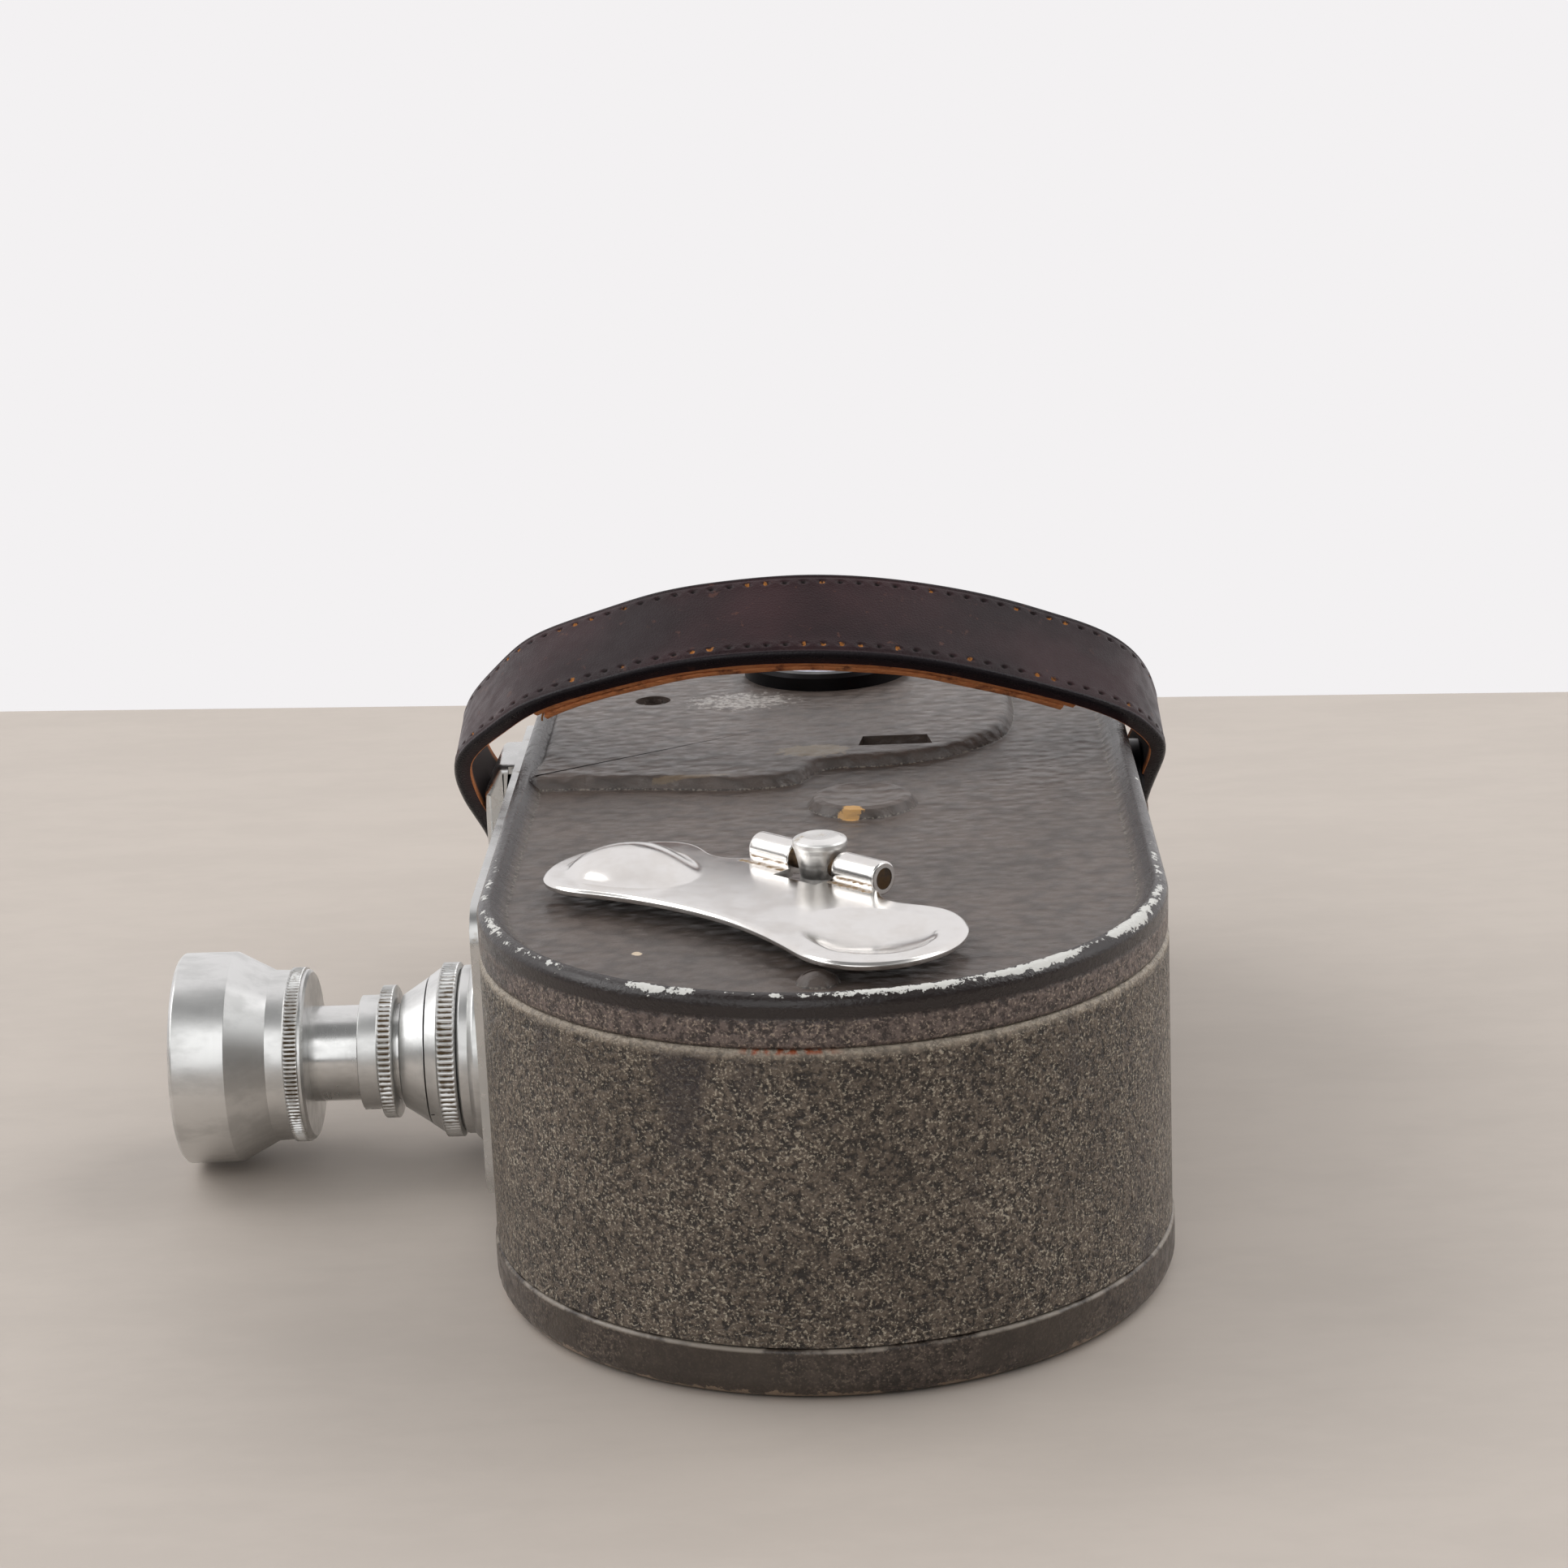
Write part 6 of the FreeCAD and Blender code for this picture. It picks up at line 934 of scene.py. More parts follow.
class CINE_OT_winding_key(bpy.types.Operator):
    """Folding key: stamped plate with a raised and a sunk thumb rest, rolled knuckles, and the hub"""
    bl_idname = "cine.winding_key"
    bl_label = "Winding key"

    def execute(self, context):
        key, case = settings(context, "key"), settings(context, "case")
        low, top = key.axis - key.barrel, key.axis - key.barrel + key.thick
        edge = key_outline()
        step = np.roll(edge, -1, 0) - np.roll(edge, 1, 0)
        inward = np.stack([step[:, 1], -step[:, 0]], -1) / np.linalg.norm(step, axis=1)[:, None]
        if np.sum((edge + inward - edge.mean(0)) ** 2) > np.sum((edge - inward - edge.mean(0)) ** 2):
            inward = -inward
        rim = rounded([(3.2, low, 0), (0.25, low + 0.05, 0.35), (0.0, low + key.thick * 0.6, 0.3),
                       (0.55, top, 0.75), (3.2, top, 0)], 7)[1:-1]
        spine = np.stack([np.clip(edge[:, 0], -27, 27), np.full(len(edge), -15.4)], -1)
        share = np.linspace(0, 1, 22)[1:, None, None] ** 1.1
        start = edge + inward * rim[-1, 0]
        inside = start * (1 - share) + spine * share
        under = inside[::-1]
        flat = np.concatenate([under, edge + inward * rim[:, None, :1], inside])
        swell = thumb_rest(flat[..., 0], flat[..., 1], -1, key.dome)
        swell = swell - thumb_rest(flat[..., 0], flat[..., 1], 1, key.dish)
        level = np.concatenate([np.full(len(under), low), rim[:, 1], np.full(len(inside), top)])[:, None]
        droop = -0.35 * np.clip((np.abs(flat[..., 0]) - 20) / 18, 0, 1) ** 2
        grid = np.dstack([flat, level + swell + droop])
        near = np.exp(-((flat[..., 1] + 3.4) / 1.3) ** 2) * (np.abs(flat[..., 0]) < key.outer + 0.6)
        plate = make("key_plate_look", [shell(grid, around=True, stain=0.72 * near)], 50)
        apply_boolean(plate, self.knuckles(key, top), "UNION")
        tools = [block((-key.inner, -key.notch, low - 3), (key.inner, 5, top + 6)),
                 lathe([(-16, 0), (-16, key.bore), (16, key.bore), (16, 0)], (0, 0, key.axis), (1, 0, 0), 48)]
        apply_boolean(plate, make("notch", tools[:1]), "DIFFERENCE")
        apply_boolean(plate, make("bore", tools[1:]), "DIFFERENCE")
        sharpen(plate, 50)
        turned = Matrix.Translation((0, -case.straight * MM, 0)) @ Matrix.Rotation(key.turn, 4, "Z")
        plate.data.transform(turned)
        install(plate, "key_wings", [MATERIALS["key nickel"]], ["key_plate"])
        head = rounded([(58.2, 0, 0), (58.2, 3.2, 0), (61.3, 3.2, 0.3), (62.0, 3.1, 0.6), (64.0, 3.4, 2.0),
                        (66.0, 3.9, 1.0), (66.8, 4.18, 0.5), (67.6, 4.15, 0.5), (68.2, 2.8, 1.6), (68.1, 0, 0)], 8)
        hub = lathe(head, (0, -case.straight, 0), (0, 0, 1), 96)
        install(make("key_hub_look", [hub], 45), "winding_shaft", [MATERIALS["worn nickel"]], ["key_hub"])
        NODES["key_pin"].data.materials[0] = MATERIALS["aged bronze"]
        return {"FINISHED"}

    def knuckles(self, key, top):
        """Rolled ends of the plate: round rods along the hinge with rounded ends."""
        shells = []
        for start, end in ((-key.outer, -key.inner + 0.1), (key.inner - 0.1, key.outer)):
            along = rounded([(start, 0, 0), (start, key.barrel, 0.7), (end, key.barrel, 0.4), (end, 0, 0)], 6)
            middle = [(x, key.barrel) for x in np.linspace(start + 1.2, end - 1.0, 8)]
            half = len(along) // 2
            rod = lathe(np.concatenate([along[:half], middle, along[half:]]), (0, 0, key.axis), (1, 0, 0), 96)
            over = rod.points[:, 2] - top
            rod.attributes = {"stain": 0.7 * np.exp(-((over - 0.1) / 0.8) ** 2) * (rod.points[:, 1] < 0)}
            shells.append(rod)
        return make("knuckles", shells)


def numerals(name, text, size, height, put):
    """Figures of a size in millimetres as a mesh whose flat points are carried to their place by put."""
    curve = bpy.data.curves.new(name, "FONT")
    curve.body, curve.size, curve.extrude = text, size, height / 2
    curve.align_x, curve.align_y, curve.resolution_u = "CENTER", "CENTER", 3
    words = bpy.data.objects.new(name, curve)
    bpy.context.scene.collection.objects.link(words)
    bpy.context.view_layer.update()
    mesh = bpy.data.meshes.new_from_object(words.evaluated_get(bpy.context.evaluated_depsgraph_get()))
    bpy.data.objects.remove(words)
    flat = np.empty(len(mesh.vertices) * 3, np.float32)
    mesh.vertices.foreach_get("co", flat)
    moved = put(flat.reshape(-1, 3).astype(float)) * MM
    mesh.vertices.foreach_set("co", moved.astype(np.float32).reshape(-1))
    solid = bmesh.new()
    solid.from_mesh(mesh)
    bmesh.ops.remove_doubles(solid, verts=solid.verts, dist=1e-7)
    bmesh.ops.recalc_face_normals(solid, faces=solid.faces)
    solid.to_mesh(mesh)
    solid.free()
    return mesh


def joined(name, meshes):
    """One object out of several meshes."""
    solid = bmesh.new()
    for mesh in meshes:
        solid.from_mesh(mesh)
    whole = bpy.data.meshes.new(name)
    solid.to_mesh(whole)
    solid.free()
    made = bpy.data.objects.new(name, whole)
    bpy.context.scene.collection.objects.link(made)
    return made


class CINE_OT_lens(bpy.types.Operator):
    """Lens: knurled focusing, iris and front rings, turned cone, tube and flared hood"""
    bl_idname = "cine.lens"
    bl_label = "Lens"

    def execute(self, context):
        lens = settings(context, "lens")
        self.centre = (lens.throat, lens.axis_y, lens.axis_z)
        skirt = 12.8
        meet = lens.cone - (lens.cone - lens.cone_end) * 2.0 / 6.4
        self.turned("lens_mount_ring_look", rounded([
            (0, 12.7, 0), (0, lens.front + 0.8, 0), (4.6, lens.front + 0.8, 0.5), (5.5, lens.front - 0.1, 0.4),
            (5.5, 12.7, 0)], 5), "camera_body", "lens_mount_ring", ring=True)
        self.turned("lens_flange_look", rounded([
            (1.0, 8.1, 0), (1.0, 12.6, 0), (5.5, 12.6, 0), (5.5, 14.0, 0), (7.0, 14.0, 0.3), (7.4, 13.4, 0),
            (7.4, 9.0, 0), (16.0, 9.0, 0), (16.0, 8.1, 0)], 4), "camera_body", "lens_flange", ring=True)
        self.turned("focus_ring_look", rounded([
            (7.5, 9.06, 0), (7.5, lens.focus - 0.5, 0), (7.75, lens.focus, 0.1), *self.rows(7.85, 10.3, lens.focus),
            (10.4, lens.focus, 0.05), (10.75, lens.cone, 0.15), (11.2, lens.cone - 0.2, 0),
            (12.5, meet + 0.2, 0), (12.66, meet + 0.1, 0), (12.7, meet + 0.08, 0), (skirt, meet, 0),
            (skirt, 9.06, 0)], 5), "focus", "focus_ring",
            ring=True, teeth=lens.focus_teeth, band=(7.7, 10.45), deep=0.42, ink=(12.7, 12.95))
        self.turned("lens_barrel_look", rounded([
            (5.6, 6.6, 0), (5.6, lens.tube, 0), (12.9, lens.tube, 0), (12.9, meet - 0.12, 0.1),
            (17.0, lens.cone_end + 0.1, 0),
            (17.2, lens.cone_end, 0.15), (17.4, lens.cone_end - 0.4, 0.1), (17.4, lens.tube + 0.05, 0),
            (17.45, lens.tube, 0), (35.0, lens.tube, 0),
            (35.0, 6.6, 0)], 5), "lens_front", "lens_barrel", ring=True, polish=(17.42, 36.0))
        self.turned("iris_ring_look", rounded([
            (18.3, 7.98, 0), (18.3, lens.iris - 0.4, 0), (18.5, lens.iris, 0.1), *self.rows(18.6, 20.6, lens.iris),
            (20.8, lens.iris - 0.3, 0.1), (20.85, lens.iris_scale + 0.2, 0),
            (21.1, lens.iris_scale, 0.1), (24.2, lens.iris_scale, 0.2), (24.3, lens.iris_scale - 0.4, 0),
            (24.3, 7.98, 0)], 5), "iris", "iris_ring", ring=True, teeth=lens.iris_teeth, band=(18.5, 20.75), deep=0.36)
        s = 33.1
        self.turned("lens_front_housing_look", rounded([
            (s - 0.6, 7.93, 0), (s - 0.6, lens.front - 0.9, 0.2), (s - 0.2, lens.front - 0.35, 0.1),
            (s + 0.25, lens.front - 0.35, 0),
            *self.rows(s + 0.35, s + 2.5, lens.front), (s + 2.7, lens.front - 0.4, 0.1),
            (s + 3.0, lens.front - 0.4, 0), (s + 5.6, lens.front - 0.3, 0.12), (s + 11.8, lens.hood - 0.05, 0.3),
            (s + 20.4, lens.hood, 0.5),
            (s + 21.0, lens.hood - 0.6, 0.35), (s + 20.9, lens.bore + 0.2, 0.2), (s + 20.4, lens.bore, 0),
            (s + 16.6, lens.bore, 0), (s + 16.5, 14.3, 0), (s + 13.6, 14.3, 0), (s + 6.1, 11.5, 0), (s + 2.1, 11.5, 0),
            (s + 2.1, 7.93, 0)], 7), "lens_front", "lens_front_housing", ring=True, teeth=lens.front_teeth,
            band=(s + 0.35, s + 2.45), deep=0.42, lined=lens.bore - 0.1)
        self.scales(lens)
        for glass in ("lens_glasses", "finder_glasses", "counter_glass"):
            NODES[glass].data.materials[0] = MATERIALS["optical glass"]
        return {"FINISHED"}

    def turned(self, name, profile, body, node, ring=False, teeth=0, band=(0, 0), deep=0.0, ink=(99, 99),
               polish=(99, 99), lined=0.0):
        """Turned piece whose knurled band gets dirt in its grooves; ink and polish mark stations along it,
        and lined is the radius up to which it is blackened."""
        steps = teeth * 8 if teeth else 160
        keep = np.concatenate([[True], np.linalg.norm(np.diff(profile, axis=0), axis=1) > 1e-4])
        profile = profile[keep]
        relief = np.zeros((len(profile), steps))
        if teeth:
            relief = knurl(profile, steps, teeth, band[0], band[1], deep) * (profile[:, 1:] > profile[:, 1].max() - 4.5)
        made = lathe(profile, self.centre, (-1, 0, 0), steps, relief, ring)
        near = np.exp(-(np.clip(np.abs(profile[:, :1] - np.mean(band)) - (band[1] - band[0]) / 2, 0, None) / 0.5) ** 2)
        soil = np.maximum(0.75 * np.clip(-relief / max(deep, 0.01), 0, 1), 0.30 * near * bool(teeth))
        made.attributes = {"soil": soil.reshape(-1)}
        for key, (low, high) in (("ink", ink), ("polish", polish)):
            inside = (profile[:, :1] >= low) & (profile[:, :1] <= high)
            if key == "ink":
                inner = np.arange(len(profile)) > profile[:, 0].argmax()
                inside = inside | (inner & (profile[:, 1] < lined))[:, None]
            made.attributes[key] = np.broadcast_to(inside.astype(float), relief.shape).reshape(-1)
        install(make(name, [made], 38), body, [MATERIALS["lens aluminium"]], [node])

    @staticmethod
    def rows(low, high, radius):
        """Profile corners that carry a knurled band."""
        return [(s, radius, 0) for s in np.linspace(low, high, 9)]

    def wrap(self, radius, start, at):
        """Carries a flat text (x along the ring, y along the axis) round the lens: angle = at + x / radius."""
        centre = np.array(self.centre)
        along, side, up = frame_of((-1, 0, 0))
        def put(p):
            a = at + p[:, :1] / radius
            return centre + (start + p[:, 1:2]) * along + (radius + p[:, 2:]) * (np.cos(a) * side + np.sin(a) * up)
        return put

    def scales(self, lens):
        """Plain aperture figures and ticks on the iris ring, an index on the cone."""
        marks = []
        for i, text in enumerate(("16", "11", "8", "5.6", "4", "2.8")):
            at = math.radians(i * 24 - 10)
            marks.append(numerals("stop", text, 2.3, 0.05, self.wrap(lens.iris_scale, 22.4, at)))
            marks.append(numerals("stop", "I", 1.3, 0.05, self.wrap(lens.iris_scale, 23.9, at)))
        install(joined("iris_figures", marks), "iris", [MATERIALS["ink"]])
        ticks = [numerals("mark", "I", 2.2, 0.05, self.wrap(lens.cone - 0.55 - 0.12, 11.6, math.radians(i * 60 + 25)))
                 for i in range(3)]
        install(joined("distance_marks", ticks), "focus", [MATERIALS["ink"]])


STRAP_LEFT = [(0.945, 0.175, 4.2), (0.980, 0.300, 5.6), (1.000, 0.420, 5.8), (0.990, 0.53, 5.2), (0.945, 0.618, 4.5),
              (0.88, 0.70, 3.7), (0.795, 0.79, 3.0), (0.657, 0.867, 2.6), (0.548, 0.912, 2.3), (0.44, 0.952, 2.0),
              (0.228, 0.992, 1.75)]
STRAP_RIGHT = [(0.958, 0.23, 5.2), (0.985, 0.35, 6.2), (1.002, 0.45, 6.0), (0.992, 0.52, 4.8), (0.961, 0.592, 3.4),
               (0.915, 0.657, 2.6), (0.842, 0.72, 2.0), (0.675, 0.809, 1.6), (0.558, 0.861, 1.4), (0.323, 0.943, 1.5),
               (0.094, 0.989, 1.45)]


class CINE_OT_finder_hood(bpy.types.Operator):
    """Finder hood: wedge profile carried along the casing with a rounded near end, and its window"""
    bl_idname = "cine.finder_hood"
    bl_label = "Finder hood"

    def execute(self, context):
        low, high = HOOD_LOW, HOOD_HIGH
        profile = rounded([(high[0], (low[2] + high[2]) / 2, 0), (high[0], high[2], 0.2), (high[0] - 3.4, high[2], 1.2),
                           (low[0], high[2] - 5.2, 1.4), (low[0], low[2] + 3.5, 0.9), (high[0] - 3.8, low[2], 0.6),
                           (high[0], low[2], 0.2), (high[0], (low[2] + high[2]) / 2 - 0.1, 0)], 8)
        turn = np.linspace(0, math.pi / 2, 7)
        levels = ([(1.5 - 1.5 * math.sin(a), low[1] + 1.5 - 1.5 * math.cos(a)) for a in turn]
                  + [(0.4 - 0.4 * math.cos(a), high[1] - 0.4 + 0.4 * math.sin(a)) for a in turn])
        piece = extruded(profile, levels, (high[0] - 2.6, (low[2] + high[2]) / 2))
        piece.points = piece.points[:, [0, 2, 1]]
        made = make("finder_hood_look", [piece], 40)
        y, z = (low[1] + high[1]) / 2, low[2] + 8.5
        for tool in (block((low[0] - 1, y - 5.5, z - 3.8), (low[0] + 2.0, y + 5.5, z + 3.8)),
                     lathe([(-1, 0), (-1, 5.85), (9, 5.85), (9, 0)], (high[0] + 0.2, y, z), (-1, 0, 0), 72)):
            apply_boolean(made, make("window", [tool]), "DIFFERENCE")
        sharpen(made, 40)
        install(made, "camera_body", [MATERIALS["plated steel"]], ["finder_hood"])
        return {"FINISHED"}


class StrapLine:
    """The strap's outer line in its own plane, from the lens-side end over the crown to the other end.

    A point is pivot + x X + (h + twist a / half width) U + a A, moved inwards by its depth, where U and A
    are the strap's own upward and sideways directions at its tilt and twist comes with the line's points."""

    def __init__(self, strap):
        self.strap = strap
        def tail(x):
            return [(x, -9.0, 0), (x, -4.0, 0), (x, 1.0, 0.3), (x, 6.2, 2.0)]
        left = [(-strap.left_span * u, strap.reach * v, twist) for u, v, twist in STRAP_LEFT]
        right = [(strap.right_span * u, strap.reach * v, twist) for u, v, twist in STRAP_RIGHT]
        self.line = spline(tail(-strap.left_end) + left + [(-4.0, strap.reach, 1.5)] + right[::-1]
                           + tail(strap.right_end)[::-1], np.linspace(0, 1, 1600))
        step = np.diff(self.line[:, :2], axis=0)
        self.at = np.concatenate([[0], np.cumsum(np.linalg.norm(step, axis=1))])
        slope = np.gradient(self.line[:, :2], axis=0)
        slope /= np.linalg.norm(slope, axis=1)[:, None]
        self.inward = np.stack([slope[:, 1], -slope[:, 0]], -1)
        self.length = self.at[-1]

    def station(self, x):
        """Distance along the line of the place over the cover whose x is given."""
        over = self.line[:, 1] > self.strap.reach / 2
        return float(np.interp(x, self.line[over, 0], self.at[over]))

    def put(self, s, a, d):
        x, h, twist = (np.interp(s, self.at, self.line[:, k]) for k in range(3))
        inx, inh = (np.interp(s, self.at, self.inward[:, k]) for k in range(2))
        h = h + inh * d + a / (self.strap.width / 2) * twist
        up = np.array([0, math.cos(self.strap.tilt), math.sin(self.strap.tilt)])
        side = np.array([0, -math.sin(self.strap.tilt), math.cos(self.strap.tilt)])
        base = np.array([0, self.strap.pivot_y, self.strap.pivot_z])
        x = x + inx * d
        return base + x[..., None] * np.array([1.0, 0, 0]) + h[..., None] * up + a[..., None] * side


def slab_section(half, thick, top, bottom, face):
    """Closed section (a, d) of a strip: outer face samples, round edges, plain inner face."""
    near = rounded([(half - top - 0.05, 0, 0), (half, 0, top),
                    (half, thick, bottom), (half - bottom - 0.05, thick, 0)], 6)
    inner = np.column_stack([np.linspace(half - bottom - 0.3, -half + bottom + 0.3, 14), np.full(14, thick)])
    far = near[::-1] * [-1, 1]
    outer = np.column_stack([face, np.zeros(len(face))])
    return np.concatenate([outer, near, inner, far])


def tube(path, radius, steps=8):
    """Round rod along points, its rings square to the path and its ends drawn to their middles."""
    path = np.asarray(path, float)
    along = np.gradient(path, axis=0)
    along /= np.linalg.norm(along, axis=1)[:, None]
    side = np.cross(along, [0.3, 0.2, 0.93])
    side /= np.linalg.norm(side, axis=1)[:, None]
    up = np.cross(along, side)
    a = np.arange(steps) * 2 * math.pi / steps
    size = np.ones(len(path))
    size[[0, -1]] = 0.0
    ring = np.cos(a)[None, :, None] * side[:, None] + np.sin(a)[None, :, None] * up[:, None]
    return shell(path[:, None] + radius * size[:, None, None] * ring, around=True)


class CINE_OT_strap(bpy.types.Operator):
    """Carrying strap: leather with two stitched rows and rolled edges, its doubled lining and loose threads"""
    bl_idname = "cine.strap"
    bl_label = "Strap"

    def execute(self, context):
        strap = settings(context, "strap")
        line = StrapLine(strap)
        half, inset = strap.width / 2, strap.border
        rows = half - inset
        face = np.unique(np.concatenate([np.linspace(-half + 1.0, half - 1.0, 23), rows + np.linspace(-0.8, 0.8, 9),
                                         -rows - np.linspace(-0.8, 0.8, 9)]).round(3))
        section = slab_section(half, strap.thick, 0.9, 0.2, face)
        s = np.linspace(0, line.length, 900)[:, None]
        end = np.minimum(s, line.length - s)
        width = np.sqrt(np.clip(1 - np.clip(1 - end / half, 0, 1) ** 2, 0.0004, 1))
        a, d = np.broadcast_to(section[None, :, 0], (900, len(section))), section[None, :, 1]
        stitch = np.round(s / strap.pitch)
        off = s - stitch * strap.pitch
        top = (d < 0.01) * (end > 8)
        hole = np.exp(-(off / 0.55) ** 2) * np.exp(-((np.abs(a) - rows) / 0.34) ** 2) * top
        groove = np.exp(-((np.abs(a) - rows - 1.15) / 0.22) ** 2) * top
        swell = 0.10 * np.exp(-((np.abs(a) - rows) / 0.8) ** 2) * top
        chance = np.abs(np.modf(np.sin(stitch * 12.9898 + np.sign(a) * 4.1) * 43758.5453)[0])
        spread = np.exp(-(off / 0.8) ** 2) * np.exp(-((np.abs(a) - rows) / 0.7) ** 2) * top
        thread = 0.62 * spread * (chance > 0.72)
        edge = np.clip((np.abs(a) - half + 1.0) / 0.5, 0, 1) * (d < 2.2)
        wave = 0.12 * np.sin(s / 7.3) * np.sin(s / 11.9 + 1.0)
        points = line.put(np.broadcast_to(s, a.shape), a * width,
                          d + 0.17 + 0.55 * hole + 0.18 * groove - swell + wave * (d > 2))
        finish = ((section[:, 1] + np.roll(section[:, 1], -1)) / 2 > 1.9).astype(int)
        # painted shade: a mask over the middle of the strap's inner face
        sooty = np.clip((section[:, 1] - 2.9) / 0.08, 0, 1) * np.clip((half - 0.6 - np.abs(section[:, 0])) / 0.3, 0, 1)
        cap = [np.broadcast_to(p.mean(0), p.shape)[None] for p in (points[0], points[-1])]
        def capped(values):
            values = np.broadcast_to(values, a.shape)
            return np.concatenate([values[:1], values, values[-1:]])
        body = make("strap_look", [shell(np.concatenate([cap[0], points, cap[1]]), around=True, finish=finish[None],
                                         hole=capped(hole), thread=capped(thread), edge=capped(edge),
                                         sooty=capped(sooty[None]))], 60)
        rod = lathe([(-90, 0), (-90, 1.68), (90, 1.68), (90, 0)], (0, strap.pivot_y, strap.pivot_z), (1, 0, 0), 32)
        apply_boolean(body, make("strap_bore", [rod]), "DIFFERENCE")
        sharpen(body, 60)
        install(body, "handle", [MATERIALS["strap leather"], MATERIALS["raw leather"]],
                ["strap_handle"])
        self.lining(line, half)
        self.threads(line, half)
        self.pivots(strap)
        return {"FINISHED"}

    def pivots(self, strap):
        """Screws of the strap: a distance ring, a shank through the leather and a slotted head, turned round x."""
        centre, pieces = (0, strap.pivot_y, strap.pivot_z), []
        for side, foot, end, radius in ((-1, 54.05, strap.left_end, 5.2), (1, 52.05, strap.right_end, 6.8)):
            inner = end - strap.thick - 0.25
            screw = lathe(rounded([(foot, 0, 0), (foot, 4.0, 0), (inner, 4.0, 0.3),
                                   (inner, 1.6, 0), (end + 0.1, 1.6, 0),
                                   (end + 0.1, radius, 0.2), (end + 1.5, radius, 0.8), (end + 1.9, 0, 0)], 6),
                          centre, (side, 0, 0), 72)
            pieces.append(screw)
        made = make("strap_pivots", pieces, 40)
        for side, end in ((-1, strap.left_end), (1, strap.right_end)):
            x = side * (end + 2.4)
            slot = block((min(x, x - side * 1.3), strap.pivot_y - 0.65, strap.pivot_z - 9),
                         (max(x, x - side * 1.3), strap.pivot_y + 0.65, strap.pivot_z + 9))
            apply_boolean(made, make("screw_slot", [slot]), "DIFFERENCE")
        sharpen(made, 40)
        install(made, "camera_body", [MATERIALS["aged bronze"]], ["strap_screws", "strap_posts"])

    def lining(self, line, half):
        """Two raw strips under the crown whose lens-side ends are frayed and whose other ends are cut."""
        low, high = line.station(-51.6), line.station(44.5)
        layers = []
        for start, thick, shift in ((3.08, 1.25, 0.0), (4.65, 1.30, 1.6)):
            section = slab_section(half - 0.35 - 0.1 * shift, thick, 0.4, 0.35,
                                   np.linspace(-half + 1.2, half - 1.2, 17))
            a = section[None, :, 0]
            t = np.linspace(0, 1, 340)[:, None]
            ragged = 0.7 * np.sin(a * 0.9 + shift) + 0.35 * np.sin(a * 2.3 + 2) + 0.2 * np.sin(a * 5.1 + shift)
            s = (low + shift + ragged) * (1 - t) + (high - shift) * t
            fray = 0.35 * np.exp(-t * 22) * np.sin(a * 2.7 + 1 + shift)
            d = start + section[None, :, 1]
            d = d + 0.10 * np.sin(s / 3.1 + a * 0.4) * (section[None, :, 1] > 0.3) + fray * (start > 4)
            points = line.put(s, np.broadcast_to(a, s.shape), d)
            cap = [np.broadcast_to(p.mean(0), p.shape)[None] for p in (points[0], points[-1])]
            layers.append(shell(np.concatenate([cap[0], points, cap[1]]), around=True))
        made = make("strap_lining_look", layers, 50)
        install(made, "handle", [MATERIALS["raw leather"]], ["strap_lining"])

    def threads(self, line, half):
        """Broken ends of the sewing thread at the stitch rows and the lining's frayed end."""
        bits = []
        for x, a, reach, curl in ((-49.5, 6.5, 7.0, 1.0), (-50.5, 2.0, 5.0, -1.0), (-46.0, -5.5, 4.0, 1.0)):
            s = line.station(x) - np.linspace(0, 1, 14) * reach * 0.7
            t = np.linspace(0, 1, 14)
            bits.append(tube(line.put(s, a + curl * 1.4 * np.sin(2.4 * t), 4.9 + 2.2 * t ** 1.6), 0.17))
        install(make("strap_threads", bits, 80), "handle", [MATERIALS["waxed thread"]])


class CINE_OT_dials(bpy.types.Operator):
    """Plain figures and ticks of the footage counter and of the speed scale"""
    bl_idname = "cine.dials"
    bl_label = "Dials"

    def execute(self, context):
        case = settings(context, "case")
        def around(centre, radius, level, at):
            """Turns a flat text about a dial's middle: its foot points at the middle."""
            turn = np.array([[math.cos(at), -math.sin(at)], [math.sin(at), math.cos(at)]])
            def put(p):
                flat = (p[:, :2] + [0, radius]) @ turn.T
                return np.column_stack([flat + centre, level + p[:, 2]])
            return put
        low, high = box_mm("counter_dial")
        middle = (low[:2] + high[:2]) / 2
        marks = [numerals("figure", str(25 * i), 3.0, 0.06, around(middle, 6.2, high[2], -math.radians(60 * i + 20)))
                 for i in range(5)]
        marks += [numerals("tick", "I", 1.3, 0.06, around(middle, 10.6, high[2], -math.radians(12 * i + 20)))
                  for i in range(21)]
        install(joined("counter_figures", marks), "camera_body", [MATERIALS["ink"]])
        low, high = box_mm("speed_scale")
        middle = (low[:2] + high[:2]) / 2
        marks = [numerals("speed", str(v), 3.4, 0.06, around(middle, 11.2, high[2],
                                                            math.pi + math.radians(24 * (i - 2))))
                 for i, v in enumerate((8, 16, 24, 32, 64))]
        install(joined("speed_figures", marks), "speed_disc", [MATERIALS["ink"]])
        return {"FINISHED"}


class CINE_OT_frame_finish(bpy.types.Operator):
    """Gives every CAD node the material of its slot"""
    bl_idname = "cine.frame_finish"
    bl_label = "Frame materials"

    def execute(self, context):
        for part in frame["record"]["subparts"]:
            node = NODES[part["node"]]
            for i in range(len(node.data.materials)):
                node.data.materials[i] = MATERIALS[part["material_slot"].replace("_", " ")]
            node.data.shade_smooth()
            node.data.set_sharp_from_angle(angle=math.radians(35))
        return {"FINISHED"}


# ---------------------------------------------------------------- floor, backdrop, lights, camera


